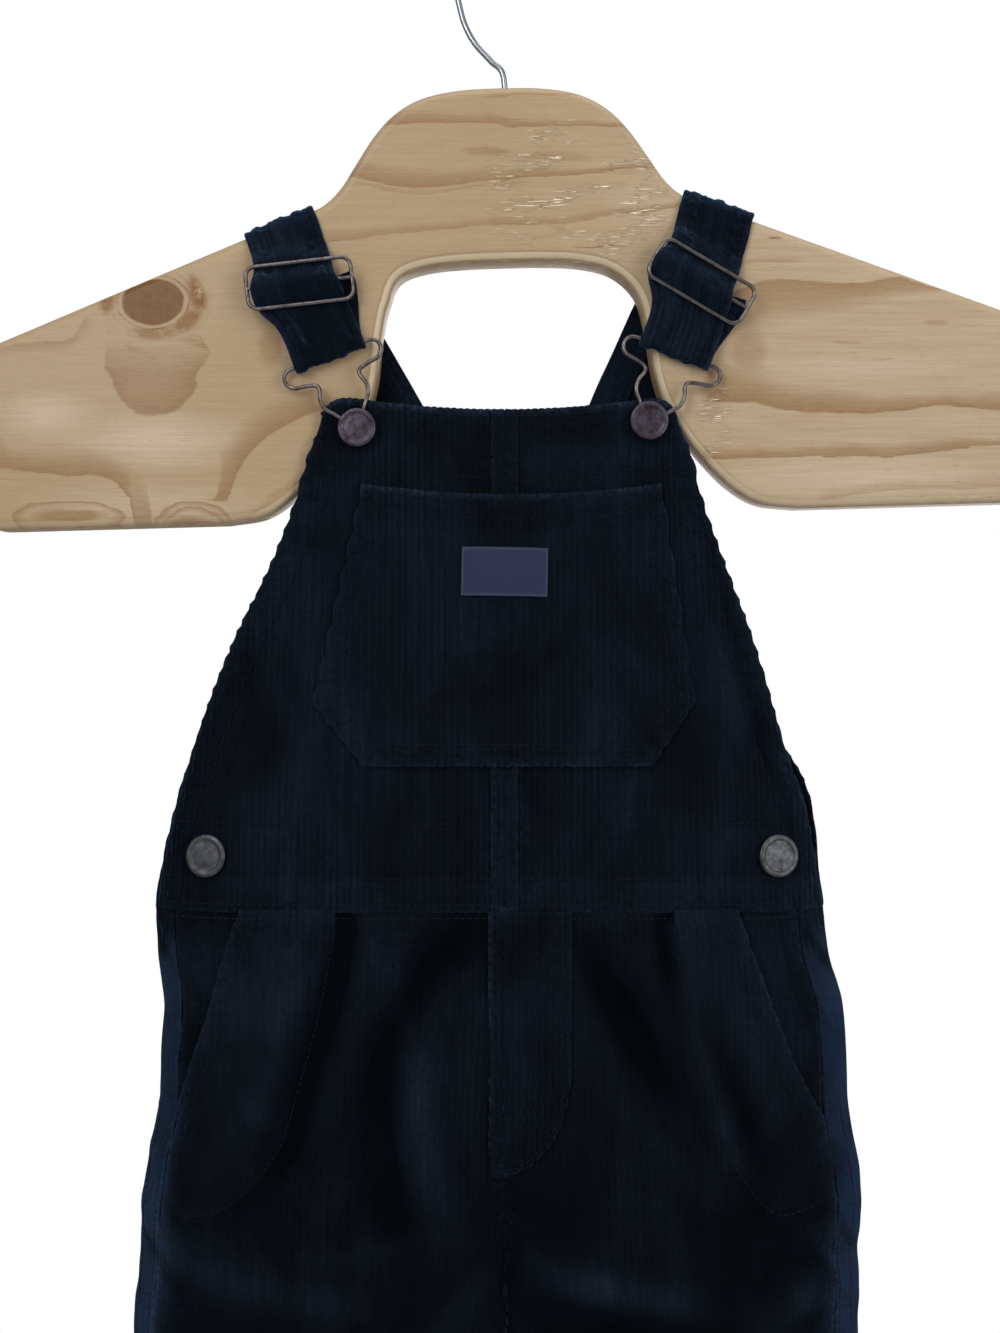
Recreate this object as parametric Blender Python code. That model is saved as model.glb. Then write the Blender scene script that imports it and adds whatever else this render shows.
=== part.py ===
"""Toddler's bib overalls in fine corduroy, hung by their straps on a wide wooden hanger.

Sizes are in millimetres and become metres where a mesh is written. The origin is the point under
the inner top of the hanger's hook, where a rod would carry it. +Z is up, the garment's front faces
-Y, and +X is to the right for someone who looks at the front.
"""

import math
from collections import namedtuple

import bmesh
import bpy
import numpy as np
from mathutils import Matrix, Vector

METRES = 0.001

# Rows and columns of each wall's points, and how finely the curves are followed
BIB_GRID = (15, 10)
BACK_ROWS = 13
PLACKET_GRID = (4, 6)
LEG_ROWS = (14, 8)
LEG_COLUMNS = 15
FACING_GRID = (7, 5)
FLY_GRID = (8, 5)
LABEL_GRID = (2, 6)
POCKET_ROWS = (7, 2)
POCKET_COLUMNS = (0, 0.1, 0.2, 0.31, 0.41, 0.45, 0.49, 0.53, 0.57, 0.68, 0.79, 0.9, 1)
BACK_COLUMNS = (0, 0.08, 0.2, 0.34, 0.5, 0.67, 0.84, 1)
BACK_LEG_WRAP = (1, 0.66, 0.33)
BACK_LEG_COLUMNS = (0, 0.09, 0.19, 0.3, 0.41, 0.51, 0.61, 0.7, 0.78, 0.86, 0.93, 1)
STRAP_COLUMNS = (-1, -0.5, 0, 0.5, 1)
STRAP_TURN = 8
STRAP_ARM_TURNS = (22.5, 45.0, 67.5, 90.0)
STRAP_BACK_ROWS = 16
CURVE_STEPS = 12
FOLD_STEPS = 13
WIRE_SIDES = 8
DRILL_SIDES = 12
BUCKLE_SIDES = 6
BUTTON_SIDES = 18

# Cloth
CLOTH = 1.6
OVERLAY = 1.2
SEAM = 0.3
SNUG = 0.4
TUCK = 0.9
CENTRE = 0.6
BIB_TOP = -194.0
BIB_SAG = 4.7
BIB_SAG_HALF = 62.0
BIB_LEVEL_LEFT = 66.0
BIB_LEVEL_RIGHT = 63.0
BIB_CORNER_RADIUS = 9.7
BIB_CORNER = -203.7
WAIST = -405.7
HEM = -833.0

# Hanger board, a flat arch cut from one sheet of plywood
BOARD_THICK = 18.0
BOARD_EDGE = 4.5
BOARD_CENTRE = (-1.3, -62.0)
BOARD_TILT = math.radians(1.6)
ARM_REACH = 231.0
ARM_BOTTOM = -242.0
ARM_END_RADIUS = 18.0

# Hook, bent from one steel wire
HOOK_WIRE = 2.5
HOOK_RADIUS = 19.5
HOOK_DEPTH_IN_BOARD = 14.0
HOOK_STEM_X = 1.0
HOOK_STEM_CLEAR = 0.3
DRILL_ABOVE = 6.0
HOOK_TIP_ANGLE = -4.0
HOOK_LEAVES_ANGLE = 196.0
HookBend = namedtuple("HookBend", "x z")
HOOK_NECK = (HookBend(-16.4, -32.4), HookBend(-12.0, -40.8), HookBend(-5.2, -48.4), HookBend(0.2, -55.0))

# Straps and their wire fittings
STRAP_WIDTH = 31.6
STRAP_THICK = 1.6
STRAP_OFF_BOARD = 0.4
STRAP_FALL = 5.0
SLIDER_RUN_UP = 11.0
UNDER_RISE = 3.2
UNDER_TURN = (2.0, 11.0)
UNDER_STOP = 1.6
BACK_END_RISE = (3.0, 26.0)
FRONT_STATIONS = 30
UNDER_STATIONS = 8
WIRE_LIFT = 0.15
FITTING_WIRE = 1.7
FITTING_PLAY = 0.25
SLIDER_LENGTH = 45.4
SLIDER_HEIGHT = 19.2
SLIDER_CORNER = 4.0
MIDDLE_BAR_SHARE = 0.92

# Buttons
BUTTON_WIDTH = 16.0
SIDE_BUTTON_WIDTH = 17.6
BUTTON_SHANK = 4.4

# The outline and depth of the front at each height: left and right outline, how far the middle and
# the side edges stand forward, how round the side turns (0 flat, 1 a quarter of an ellipse), and how
# far the bib's free side edges lie inside the outline, where the back piece shows past them.
Front = namedtuple("Front", "z left right middle edge round inset_left inset_right")
BIB_FRONT = (
    Front(-203.7, -75.2, 72.7, -12.6, -11.9, 0.0, 0.0, 0.0),
    Front(-214.2, -80.2, 77.7, -12.7, -11.8, 0.0, 0.0, 0.0),
    Front(-235.2, -86.5, 83.2, -13.0, -11.7, 0.0, 0.0, 0.0),
    Front(-256.2, -94.5, 90.7, -13.5, -11.4, 0.0, 0.0, 0.0),
    Front(-277.2, -104.6, 98.7, -14.2, -9.8, 0.0, 0.0, 0.0),
    Front(-298.2, -114.7, 106.3, -15.0, -7.6, 0.1, 0.0, 0.0),
    Front(-319.2, -123.5, 113.0, -16.0, -5.0, 0.3, 0.0, 0.0),
    Front(-338.0, -130.4, 119.4, -17.0, -2.0, 0.7, 0.0, 0.6),
    Front(-350.0, -134.6, 126.2, -17.6, 0.0, 1.0, 0.4, 3.6),
    Front(-361.2, -138.0, 129.4, -18.0, 0.0, 1.0, 0.6, 4.4),
    Front(-382.2, -143.1, 131.8, -19.0, 0.0, 1.0, 0.7, 2.2),
    Front(-405.7, -146.9, 134.8, -20.0, 0.0, 1.0, 1.0, 1.4),
)

# The back piece above the waist, up to where the straps are sewn on. Its armhole edges spread down
# to the sides.
Back = namedtuple("Back", "z left right middle edge round")
BIB_BACK = (
    Back(-226.0, -54.0, 59.0, 12.0, 11.6, 0.0),
    Back(-248.0, -57.0, 62.0, 12.2, 11.4, 0.0),
    Back(-272.0, -66.0, 71.0, 12.6, 10.6, 0.0),
    Back(-298.0, -83.0, 87.0, 13.0, 8.8, 0.1),
    Back(-320.0, -104.0, 105.0, 13.4, 5.6, 0.4),
    Back(-338.0, -124.0, 118.6, 13.8, 1.8, 0.8),
    Back(-350.0, -134.6, 126.2, 14.0, 0.0, 1.0),
    Back(-361.2, -138.0, 129.4, 14.2, 0.0, 1.0),
    Back(-382.2, -143.1, 131.8, 14.6, 0.0, 1.0),
    Back(-405.7, -146.9, 134.8, 15.0, 0.0, 1.0),
)
PLACKET_TOP = -350.0
PLACKET_WIDTH = 26.0

# Hips and legs: outer edges, the two inseams, the depth of the front and back, and how far from each
# outer edge the side seam lies on the front.
Leg = namedtuple("Leg", "z left right left_in right_in front back left_seam right_seam")
LEGS = (
    Leg(-405.7, -146.9, 134.8, 0.45, 0.75, -20.0, 15.0, 10.0, 13.0),
    Leg(-424.2, -145.9, 136.8, 0.45, 0.75, -21.0, 16.5, 10.0, 13.0),
    Leg(-445.2, -143.4, 141.4, 0.45, 0.75, -22.0, 18.0, 10.0, 13.0),
    Leg(-466.2, -143.2, 143.4, 0.45, 0.75, -22.8, 19.4, 10.0, 13.0),
    Leg(-487.2, -144.6, 144.3, 0.45, 0.75, -23.0, 20.0, 10.0, 13.0),
    Leg(-508.2, -148.0, 147.2, 0.45, 0.75, -22.6, 20.0, 10.0, 13.0),
    Leg(-529.2, -150.6, 149.6, 0.45, 0.75, -22.0, 19.4, 10.0, 13.0),
    Leg(-550.2, -152.0, 148.8, 0.4, 0.8, -21.0, 18.4, 10.0, 13.0),
    Leg(-571.2, -154.0, 149.0, -0.2, 1.4, -20.0, 17.2, 10.0, 13.0),
    Leg(-584.0, -154.2, 148.6, -2.4, 3.6, -19.6, 16.8, 9.6, 12.0),
    Leg(-640.0, -153.0, 148.4, -9.0, 10.0, -18.8, 16.0, 9.0, 10.0),
    Leg(-720.0, -150.0, 147.6, -17.4, 18.0, -17.4, 15.0, 8.0, 8.0),
    Leg(-833.0, -147.0, 146.0, -27.0, 27.0, -16.0, 14.0, 8.0, 8.0),
)
SIDE_REACH = 60.0
INSEAM_REACH = 45.0
RISE_TURN = (-490.0, -567.0)
LEG_TURN = (-540.0, -572.0)
LEG_ROWS_TURN = -606.0
FOLD_MARGIN = 9.0
FOLD_END = 0.08
FOLD_SHAPE = 0.7

# Slanted mouth of each hip pocket, from the waist to the side seam
Mouth = namedtuple("Mouth", "z left right")
POCKET_MOUTH = (
    Mouth(-405.7, -108.6, 97.0),
    Mouth(-417.9, -113.0, 101.0),
    Mouth(-433.4, -117.6, 106.6),
    Mouth(-451.1, -122.6, 113.2),
    Mouth(-466.0, -128.1, 119.0),
    Mouth(-482.6, -134.0, 127.6),
    Mouth(-490.0, -137.0, 132.0),
)
FACING_UNDER = 14.0

# Large folds, each along a bent line from its start past its middle to its end, with its half width
# and its height. A ridge is positive and a trough negative.
Fold = namedtuple("Fold", "x0 z0 x1 z1 x2 z2 half height")
FRONT_FOLDS = (
    Fold(-67.2, -411.0, -77.0, -455.0, -95.0, -502.0, 9.0, -2.6),
    Fold(-13.9, -411.0, -66.0, -458.0, -42.8, -533.0, 10.0, -2.8),
    Fold(-84.0, -430.0, -92.0, -480.0, -118.0, -514.0, 8.0, 1.8),
    Fold(-38.0, -440.0, -44.0, -490.0, -24.0, -530.0, 12.0, 1.8),
    Fold(28.6, -414.0, 52.0, -454.0, 70.0, -484.0, 9.0, -2.4),
    Fold(81.5, -452.0, 98.0, -484.0, 104.0, -512.0, 8.0, -2.2),
    Fold(66.0, -440.0, 86.0, -476.0, 92.0, -520.0, 8.0, 1.6),
    Fold(-8.0, -560.0, -22.0, -576.0, -40.0, -596.0, 6.0, 2.2),
    Fold(13.9, -551.0, 44.0, -563.0, 76.0, -566.0, 7.0, 2.4),
    Fold(16.0, -574.0, 50.0, -582.0, 96.0, -590.0, 9.0, -2.4),
    Fold(103.0, -580.0, 116.0, -563.0, 138.0, -562.0, 7.0, 2.4),
    Fold(-140.0, -546.0, -110.0, -562.0, -60.0, -568.0, 8.0, 1.8),
    Fold(-122.0, -640.0, -80.0, -652.0, -44.0, -640.0, 10.0, -2.2),
    Fold(-60.0, -700.0, -90.0, -716.0, -132.0, -708.0, 9.0, 1.8),
    Fold(40.0, -652.0, 84.0, -640.0, 124.0, -650.0, 10.0, -2.0),
    Fold(124.0, -716.0, 92.0, -726.0, 56.0, -712.0, 9.0, 1.8),
    Fold(-100.0, -770.0, -84.0, -796.0, -88.0, -826.0, 10.0, 1.4),
    Fold(86.0, -766.0, 96.0, -794.0, 92.0, -826.0, 10.0, 1.4),
)
BACK_FOLDS = (
    Fold(-24.0, -560.0, -60.0, -545.0, -110.0, -520.0, 9.0, 2.4),
    Fold(26.0, -560.0, 64.0, -542.0, 112.0, -524.0, 9.0, 2.4),
    Fold(-30.0, -590.0, -70.0, -578.0, -124.0, -566.0, 9.0, -2.2),
    Fold(32.0, -588.0, 74.0, -580.0, 126.0, -562.0, 9.0, -2.2),
    Fold(-70.0, -420.0, -62.0, -460.0, -76.0, -500.0, 10.0, -2.0),
    Fold(72.0, -418.0, 60.0, -464.0, 70.0, -508.0, 10.0, -2.0),
    Fold(-120.0, -668.0, -84.0, -680.0, -44.0, -664.0, 10.0, -2.0),
    Fold(44.0, -670.0, 90.0, -684.0, 122.0, -672.0, 10.0, -2.0),
)

# Patch pocket on the bib, by its edges at each height, and the felled seam that it lies over
PocketRow = namedtuple("PocketRow", "z left right")
BIB_POCKET = (
    PocketRow(-229.6, -58.4, 65.9),
    PocketRow(-320.0, -78.5, 79.4),
    PocketRow(-346.0, -58.4, 61.7),
)
POCKET_SAG = 4.6
LABEL_CORNERS = (-17.2, -275.9, 18.5, -256.2)
LABEL_THICK = 0.6
LABEL_EASE = 3.0
FELL_HALF = 6.1
FELL_THICK = 0.8
FELL_SLOPE = 5.0

# Outer stitched edge of the fly, from the waist round to its point
FLY_LEFT = -6.0
FLY_END = -514.0
FlyEdge = namedtuple("FlyEdge", "x z")
FLY_EDGE = (
    FlyEdge(28.6, -406.2),
    FlyEdge(28.6, -430.0),
    FlyEdge(28.4, -452.0),
    FlyEdge(27.2, -476.0),
    FlyEdge(24.4, -490.0),
    FlyEdge(18.4, -501.5),
    FlyEdge(9.4, -510.6),
    FlyEdge(-1.5, -515.0),
)

# Each strap: where it crosses the arm, its wire buckle's bar, its button, and its end on the back
Strap = namedtuple("Strap", "side across lift bar button back_end slider slider_turn")
STRAPS = (
    Strap("left", -94.3, 0.7, (-72.2, -175.6), (-60.5, -206.2), (-21.7, -246.0), (-84.2, -146.6), 6.5),
    Strap("right", 90.4, 1.6, (71.6, -174.4), (60.5, -203.3), (29.7, -246.0), (82.1, -144.6), -29.0),
)
SIDE_BUTTONS = (("left", -122.6, -383.5), ("right", 113.8, -383.5))

# Half of a wire buckle, across and down from the middle of its bar, and how far down it steps back
# from the bar's level to the button's
BUCKLE_SETS_BACK = (4.0, 16.0)
BuckleBend = namedtuple("BuckleBend", "across down")
BUCKLE = (
    BuckleBend(0.0, 0.0),
    BuckleBend(9.0, 0.0),
    BuckleBend(17.6, 0.0),
    BuckleBend(20.6, 1.6),
    BuckleBend(21.2, 4.8),
    BuckleBend(18.8, 7.8),
    BuckleBend(13.4, 8.9),
    BuckleBend(9.6, 10.2),
    BuckleBend(9.0, 12.6),
    BuckleBend(10.2, 16.4),
    BuckleBend(9.6, 20.6),
    BuckleBend(6.6, 24.4),
    BuckleBend(4.2, 28.0),
    BuckleBend(3.9, 32.0),
    BuckleBend(3.0, 35.2),
    BuckleBend(0.0, 36.6),
)

# Right half of the board's outline in its own frame, from the neck's middle to the arm and back
# along its underside to the middle of the arch
Outline = namedtuple("Outline", "x z")
BOARD_TOP = (
    Outline(0.0, -62.0),
    Outline(14.0, -62.3),
    Outline(27.0, -64.0),
    Outline(37.0, -67.2),
    Outline(46.0, -73.0),
    Outline(54.0, -81.6),
    Outline(62.0, -93.4),
    Outline(68.5, -103.0),
    Outline(76.0, -109.6),
    Outline(86.0, -113.6),
    Outline(140.0, -134.6),
)
BOARD_UNDER = (
    Outline(120.0, -242.0),
    Outline(104.0, -239.6),
    Outline(92.0, -232.4),
    Outline(81.0, -221.0),
    Outline(71.6, -208.6),
    Outline(64.8, -196.0),
    Outline(61.0, -183.0),
    Outline(58.6, -165.4),
    Outline(54.6, -150.2),
    Outline(45.0, -140.6),
    Outline(32.0, -136.6),
    Outline(16.0, -135.3),
    Outline(0.0, -135.1),
)
ARM_SLOPE = math.radians(21.3)
# The arch was sawn off centre: how far its left side lies further in, and the heights between which
ARCH_OFF_CENTRE = 6.0
ARCH_SIDE = ((-236.0, -200.0), (-152.0, -136.0))

Finish = namedtuple("Finish", "colour roughness metallic")
CORDUROY = Finish((0.012, 0.02, 0.04), 0.9, 0.0)
LABEL_CLOTH = Finish((0.05, 0.06, 0.11), 0.8, 0.0)
PINE = Finish((0.72, 0.55, 0.36), 0.35, 0.0)
STEEL = Finish((0.55, 0.57, 0.6), 0.3, 1.0)
AGED_METAL = Finish((0.22, 0.17, 0.15), 0.45, 1.0)


def clear_scene():
    for thing in list(bpy.data.objects):
        bpy.data.objects.remove(thing, do_unlink=True)


def material(name, finish):
    made = bpy.data.materials.new(name)
    made.use_nodes = True
    shader = made.node_tree.nodes["Principled BSDF"]
    shader.inputs["Base Color"].default_value = (*finish.colour, 1.0)
    shader.inputs["Roughness"].default_value = finish.roughness
    shader.inputs["Metallic"].default_value = finish.metallic
    return made


def finished(name, mesh, finish):
    """Puts a mesh made in millimetres into the scene as one named object."""
    mesh.transform(Matrix.Scale(METRES, 4))
    mesh.materials.append(material(name + "_finish", finish))
    mesh.shade_smooth()
    mesh.set_sharp_from_angle(angle=math.radians(40))
    placed = bpy.data.objects.new(name, mesh)
    bpy.context.scene.collection.objects.link(placed)
    return placed


def mesh_of(name, form):
    """The mesh of a bmesh, with its faces turned outwards."""
    bmesh.ops.recalc_face_normals(form, faces=form.faces)
    mesh = bpy.data.meshes.new(name)
    form.to_mesh(mesh)
    form.free()
    return mesh


def step(start, end, value):
    """A smooth rise from 0 at start to 1 at end."""
    t = min(max((value - start) / (end - start), 0.0), 1.0)
    return t * t * (3 - 2 * t)


def row_at(table, z):
    """A table's row at a height, on smooth curves through its rows, which run downwards."""
    rows = np.array(table, float)
    heights = rows[:, 0]
    slopes = np.gradient(rows, heights, axis=0)
    i = int(np.clip(np.searchsorted(-heights, -z) - 1, 0, len(rows) - 2))
    span = heights[i + 1] - heights[i]
    t = (z - heights[i]) / span
    t = min(max(t, 0.0), 1.0)
    start = rows[i] * (2 * t**3 - 3 * t**2 + 1) + slopes[i] * span * (t**3 - 2 * t**2 + t)
    end = rows[i + 1] * (3 * t**2 - 2 * t**3) + slopes[i + 1] * span * (t**3 - t**2)
    return type(table[0])(*(start + end))


def curve_through(points, count, closed=False):
    """Points at even steps of length on a smooth curve through the given ones."""
    given = np.array(points, float)
    whole = np.vstack([given[-1:], given, given[:2]]) if closed else np.vstack(
        [2 * given[:1] - given[1:2], given, 2 * given[-1:] - given[-2:-1]]
    )
    dense = []
    for before, start, end, after in zip(whole, whole[1:], whole[2:], whole[3:]):
        for t in np.arange(CURVE_STEPS) / CURVE_STEPS:
            dense.append(
                0.5
                * (
                    2 * start
                    + (end - before) * t
                    + (2 * before - 5 * start + 4 * end - after) * t**2
                    + (3 * start - before - 3 * end + after) * t**3
                )
            )
    dense.append(given[0] if closed else given[-1])
    dense = np.array(dense)
    run = np.concatenate([[0], np.cumsum(np.linalg.norm(np.diff(dense, axis=0), axis=1))])
    wanted = np.linspace(0, run[-1], count + closed)[:count]
    return np.stack([np.interp(wanted, run, dense[:, k]) for k in range(given.shape[1])], axis=1)


def fold_height(folds, x, z):
    """How far the folds move the cloth out at a place on a panel."""
    moved = 0.0
    for fold in folds:
        nearest, along = 1e9, 0.0
        for t in np.linspace(0, 1, FOLD_STEPS):
            px = (1 - t) ** 2 * fold.x0 + 2 * t * (1 - t) * fold.x1 + t * t * fold.x2
            pz = (1 - t) ** 2 * fold.z0 + 2 * t * (1 - t) * fold.z1 + t * t * fold.z2
            away = math.hypot(x - px, z - pz)
            if away < nearest:
                nearest, along = away, t
        taper = math.sin(math.pi * (FOLD_END + (1 - 2 * FOLD_END) * along)) ** FOLD_SHAPE
        moved += fold.height * taper * math.exp(-((nearest / fold.half) ** 2))
    return moved


def side_fall(distance, reach, roundness):
    """1 at a panel's edge, 0 from reach on: a quarter of an ellipse when round, else a parabola."""
    r = max(0.0, 1 - distance / reach)
    r = min(r, 1.0)
    return roundness * (1 - math.sqrt(1 - r * r)) + (1 - roundness) * r * r


def torso_depth(row, x):
    """Depth of the bib or the back piece, which is level in the middle and falls to its edges."""
    falls = side_fall(x - row.left, SIDE_REACH, row.round)
    falls += side_fall(row.right - x, SIDE_REACH, row.round)
    return row.middle + (row.edge - row.middle) * falls


def leg_edges(side, row):
    return (row.left, row.left_in) if side == "left" else (row.right, row.right_in)


def leg_depth(side, facing, x, z):
    """Depth of a leg panel, which turns back at the side and, below the rise, at the inseam too."""
    row = row_at(LEGS, z)
    outer, inner = leg_edges(side, row)
    turned = step(*LEG_TURN, z)
    outer_fall = side_fall(abs(x - outer), SIDE_REACH, 1.0)
    r = min(max(0.0, 1 - abs(inner - x) / INSEAM_REACH), 1.0)
    inner_fall = turned * (1 - math.sqrt(1 - r * r)) + (1 - turned) * r**3
    full = row.front if facing == "front" else row.back
    share = abs(x - outer) / abs(inner - outer)
    gap = math.copysign(SEAM / 2, full) * min(share, 1.0)
    return full * (1 - outer_fall - step(*RISE_TURN, z) * inner_fall) + gap


def spread(a, turned):
    """Share of a panel's width at a, which is 0 at the side and 1 at the middle or the inseam."""
    return (1 - turned) * (1 - math.cos(math.pi / 2 * a)) + turned * (1 - math.cos(math.pi * a)) / 2


def spread_inverse(share, turned):
    low, high = 0.0, 1.0
    for _ in range(30):
        a = (low + high) / 2
        low, high = (a, high) if spread(a, turned) < share else (low, a)
    return (low + high) / 2


def place(surface, side, facing, a, z, out=0.0):
    """A point of a surface, moved out along its normal, and that normal."""
    here = np.array(surface(a, z))
    da = 0.002 if a < 0.5 else -0.002
    along = (np.array(surface(a + da, z)) - here) / da
    down = np.array(surface(a, z - 0.5)) - np.array(surface(a, z + 0.5))
    normal = np.cross(along, down)
    normal /= np.linalg.norm(normal)
    if (side == "left") == (facing == "front"):
        normal = -normal
    return here + normal * out, normal


def wall(outer, inner):
    """A closed wall between two grids of points of the same shape."""
    form = bmesh.new()
    sheets = [[[form.verts.new(p) for p in row] for row in grid] for grid in (outer, inner)]
    rows, columns = len(outer), len(outer[0])
    for sheet in sheets:
        for i in range(rows - 1):
            for j in range(columns - 1):
                corners = (sheet[i][j], sheet[i][j + 1], sheet[i + 1][j + 1], sheet[i + 1][j])
                form.faces.new(corners)
    rim = [(0, j) for j in range(columns)]
    rim += [(i, columns - 1) for i in range(1, rows)]
    rim += [(rows - 1, j) for j in range(columns - 2, -1, -1)]
    rim += [(i, 0) for i in range(rows - 2, 0, -1)]
    for (i, j), (k, m) in zip(rim, rim[1:] + rim[:1]):
        form.faces.new((sheets[0][i][j], sheets[0][k][m], sheets[1][k][m], sheets[1][i][j]))
    return form


def cloth_wall(name, places, finish, thickness=CLOTH):
    """A wall from a grid of (point, normal), with its outer face on the points."""
    outer = [[p for p, _ in row] for row in places]
    inner = [[p - n * thickness for p, n in row] for row in places]
    return finished(name, mesh_of(name, wall(outer, inner)), finish)


def bib_top(x):
    """Top edge of the bib, which sags a little in the middle and rounds off at the corners."""
    sag = BIB_SAG * max(0.0, 1 - (x / BIB_SAG_HALF) ** 2)
    level_half = BIB_LEVEL_LEFT if x < 0 else BIB_LEVEL_RIGHT
    past = min(max(abs(x) - level_half, 0.0), BIB_CORNER_RADIUS)
    return BIB_TOP - sag - (BIB_CORNER_RADIUS - math.sqrt(BIB_CORNER_RADIUS**2 - past**2))


def bib_place(x, z, out=0.0):
    """The bib's surface at a place, moved out, and the normal there."""
    side = "left" if x < CENTRE else "right"

    def surface(a, height):
        row = row_at(BIB_FRONT, height)
        edge = row.left if side == "left" else row.right
        across = edge + (CENTRE - edge) * spread(a, 0.0)
        return across, torso_depth(row, across), height

    row = row_at(BIB_FRONT, z)
    edge = row.left if side == "left" else row.right
    share = min(max((x - edge) / (CENTRE - edge), 0.0), 1.0)
    return place(surface, side, "front", spread_inverse(share, 0.0), z, out)


def bib_half(side):
    rows, columns = BIB_GRID
    centre = CENTRE + (-SEAM / 2 if side == "left" else SEAM / 2)
    places = []
    for i in range(rows + 1):
        v = i / rows
        row = row_at(BIB_FRONT, BIB_CORNER + (WAIST - BIB_CORNER) * v)
        edge = row.left + row.inset_left if side == "left" else row.right - row.inset_right
        line = []
        for j in range(columns + 1):
            t = j / columns
            x = edge + (centre - edge) * (0.5 * t + 0.5 * spread(t, 0.0))
            z = bib_top(x) * (1 - v) + (WAIST + SEAM / 2) * v
            line.append(bib_place(x, z))
        places.append(line)
    cloth_wall("bib_front_" + side, places, CORDUROY)


def bib_centre_fell():
    """The flat-felled seam down the middle of the bib."""
    rows = BIB_GRID[0]
    places = []
    for i in range(rows + 1):
        v = i / rows
        line = []
        for share in (-1, -0.5, 0, 0.5, 1):
            x = CENTRE + FELL_HALF * share
            z = (bib_top(x) - SEAM) * (1 - v) + (WAIST + SEAM) * v
            line.append(bib_place(x, z, SNUG + FELL_THICK))
        places.append(line)
    cloth_wall("bib_centre_fell", places, CORDUROY, FELL_THICK)


def pocket_lift(x):
    """How far the pocket stands off the bib, which is more over the felled seam."""
    flat = FELL_HALF + 1.5
    return SNUG + (FELL_THICK + SNUG) * (1 - step(flat, flat + FELL_SLOPE, abs(x - CENTRE)))


def pocket_edges(v):
    """Left and right edge of the bib pocket from its top (0) to its bottom (1)."""
    top, corner, bottom = BIB_POCKET
    turn = (corner.z - top.z) / (bottom.z - top.z)
    start, end, t = (top, corner, v / turn) if v <= turn else (corner, bottom, (v - turn) / (1 - turn))
    return start.left + (end.left - start.left) * t, start.right + (end.right - start.right) * t


def bib_pocket():
    top, corner, bottom = BIB_POCKET
    turn = (corner.z - top.z) / (bottom.z - top.z)
    above, below = POCKET_ROWS
    rows = [turn * i / above for i in range(above + 1)]
    rows += [turn + (1 - turn) * i / below for i in range(1, below + 1)]
    places = []
    for v in rows:
        left, right = pocket_edges(v)
        line = []
        for share in POCKET_COLUMNS:
            x = left + (right - left) * share
            sag = POCKET_SAG * (1 - (2 * share - 1) ** 2) * (1 - v)
            z = top.z + (bottom.z - top.z) * v - sag
            line.append(bib_place(x, z, pocket_lift(x) + OVERLAY))
        places.append(line)
    cloth_wall("bib_pocket", places, CORDUROY, OVERLAY)


def bib_label():
    left, bottom, right, top = LABEL_CORNERS
    rows, columns = LABEL_GRID
    places = []
    for i in range(rows + 1):
        line = []
        for j in range(columns + 1):
            x = left + (right - left) * j / columns
            z = top + (bottom - top) * i / rows
            under = pocket_lift(x - math.copysign(LABEL_EASE, x - CENTRE)) + OVERLAY
            line.append(bib_place(x, z, under + SNUG + LABEL_THICK))
        places.append(line)
    cloth_wall("bib_label", places, LABEL_CLOTH, LABEL_THICK)


def back_half(side):
    """Half of the back piece, from the middle of the back to its armhole edge and its side."""
    centre = CENTRE + (-SEAM / 2 if side == "left" else SEAM / 2)

    def surface(a, z):
        row = row_at(BIB_BACK, z)
        edge = row.left if side == "left" else row.right
        across = edge + (centre - edge) * spread(a, 0.0)
        return across, torso_depth(row, across) + SEAM / 2, z

    top, bottom = BIB_BACK[0].z, WAIST + SEAM / 2
    places = []
    for i in range(BACK_ROWS + 1):
        z = top + (bottom - top) * i / BACK_ROWS
        places.append([place(surface, side, "back", a, z) for a in BACK_COLUMNS])
    cloth_wall("back_bib_" + side, places, CORDUROY)


def side_placket(side):
    """The strip of the back that passes under the bib's side and carries the side button."""

    def surface(a, z):
        row = row_at(BIB_FRONT, z)
        edge = row.left if side == "left" else row.right
        across = edge + (CENTRE - edge) * spread(a, 0.0)
        return across, torso_depth(row, across), z

    rows, columns = PLACKET_GRID
    places = []
    for i in range(rows + 1):
        z = PLACKET_TOP + (WAIST + SEAM / 2 - PLACKET_TOP) * i / rows
        row = row_at(BIB_FRONT, z)
        edge = row.left if side == "left" else row.right
        widest = spread_inverse(PLACKET_WIDTH / abs(CENTRE - edge), 0.0)
        line = [
            place(surface, side, "front", widest * j / columns, z, -CLOTH - TUCK)
            for j in range(columns + 1)
        ]
        places.append(line)
    cloth_wall("side_placket_" + side, places, CORDUROY, OVERLAY)


def leg_surface(side, facing):
    def surface(a, z):
        row = row_at(LEGS, z)
        outer, inner = leg_edges(side, row)
        across = outer + (inner - outer) * spread(a, step(*LEG_TURN, z))
        return across, leg_depth(side, facing, across, z), z

    return surface


def leg_place(side, facing, a, z, out=0.0):
    """A place on a leg panel, with its folds."""
    here, normal = place(leg_surface(side, facing), side, facing, a, z)
    folds = FRONT_FOLDS if facing == "front" else BACK_FOLDS
    row = row_at(LEGS, z)
    outer, inner = leg_edges(side, row)
    calm = step(0, FOLD_MARGIN, abs(here[0] - outer)) * step(0, FOLD_MARGIN, abs(here[0] - inner))
    return here + normal * (out + calm * fold_height(folds, here[0], z)), normal


def leg_a(side, x, z):
    """Where x lies on a leg's panel, from 0 at the side to 1 at the middle or the inseam."""
    outer, inner = leg_edges(side, row_at(LEGS, z))
    return spread_inverse((x - outer) / (inner - outer), step(*LEG_TURN, z))


def side_seam(side, z):
    row = row_at(LEGS, z)
    return row.left + row.left_seam if side == "left" else row.right - row.right_seam


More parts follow.
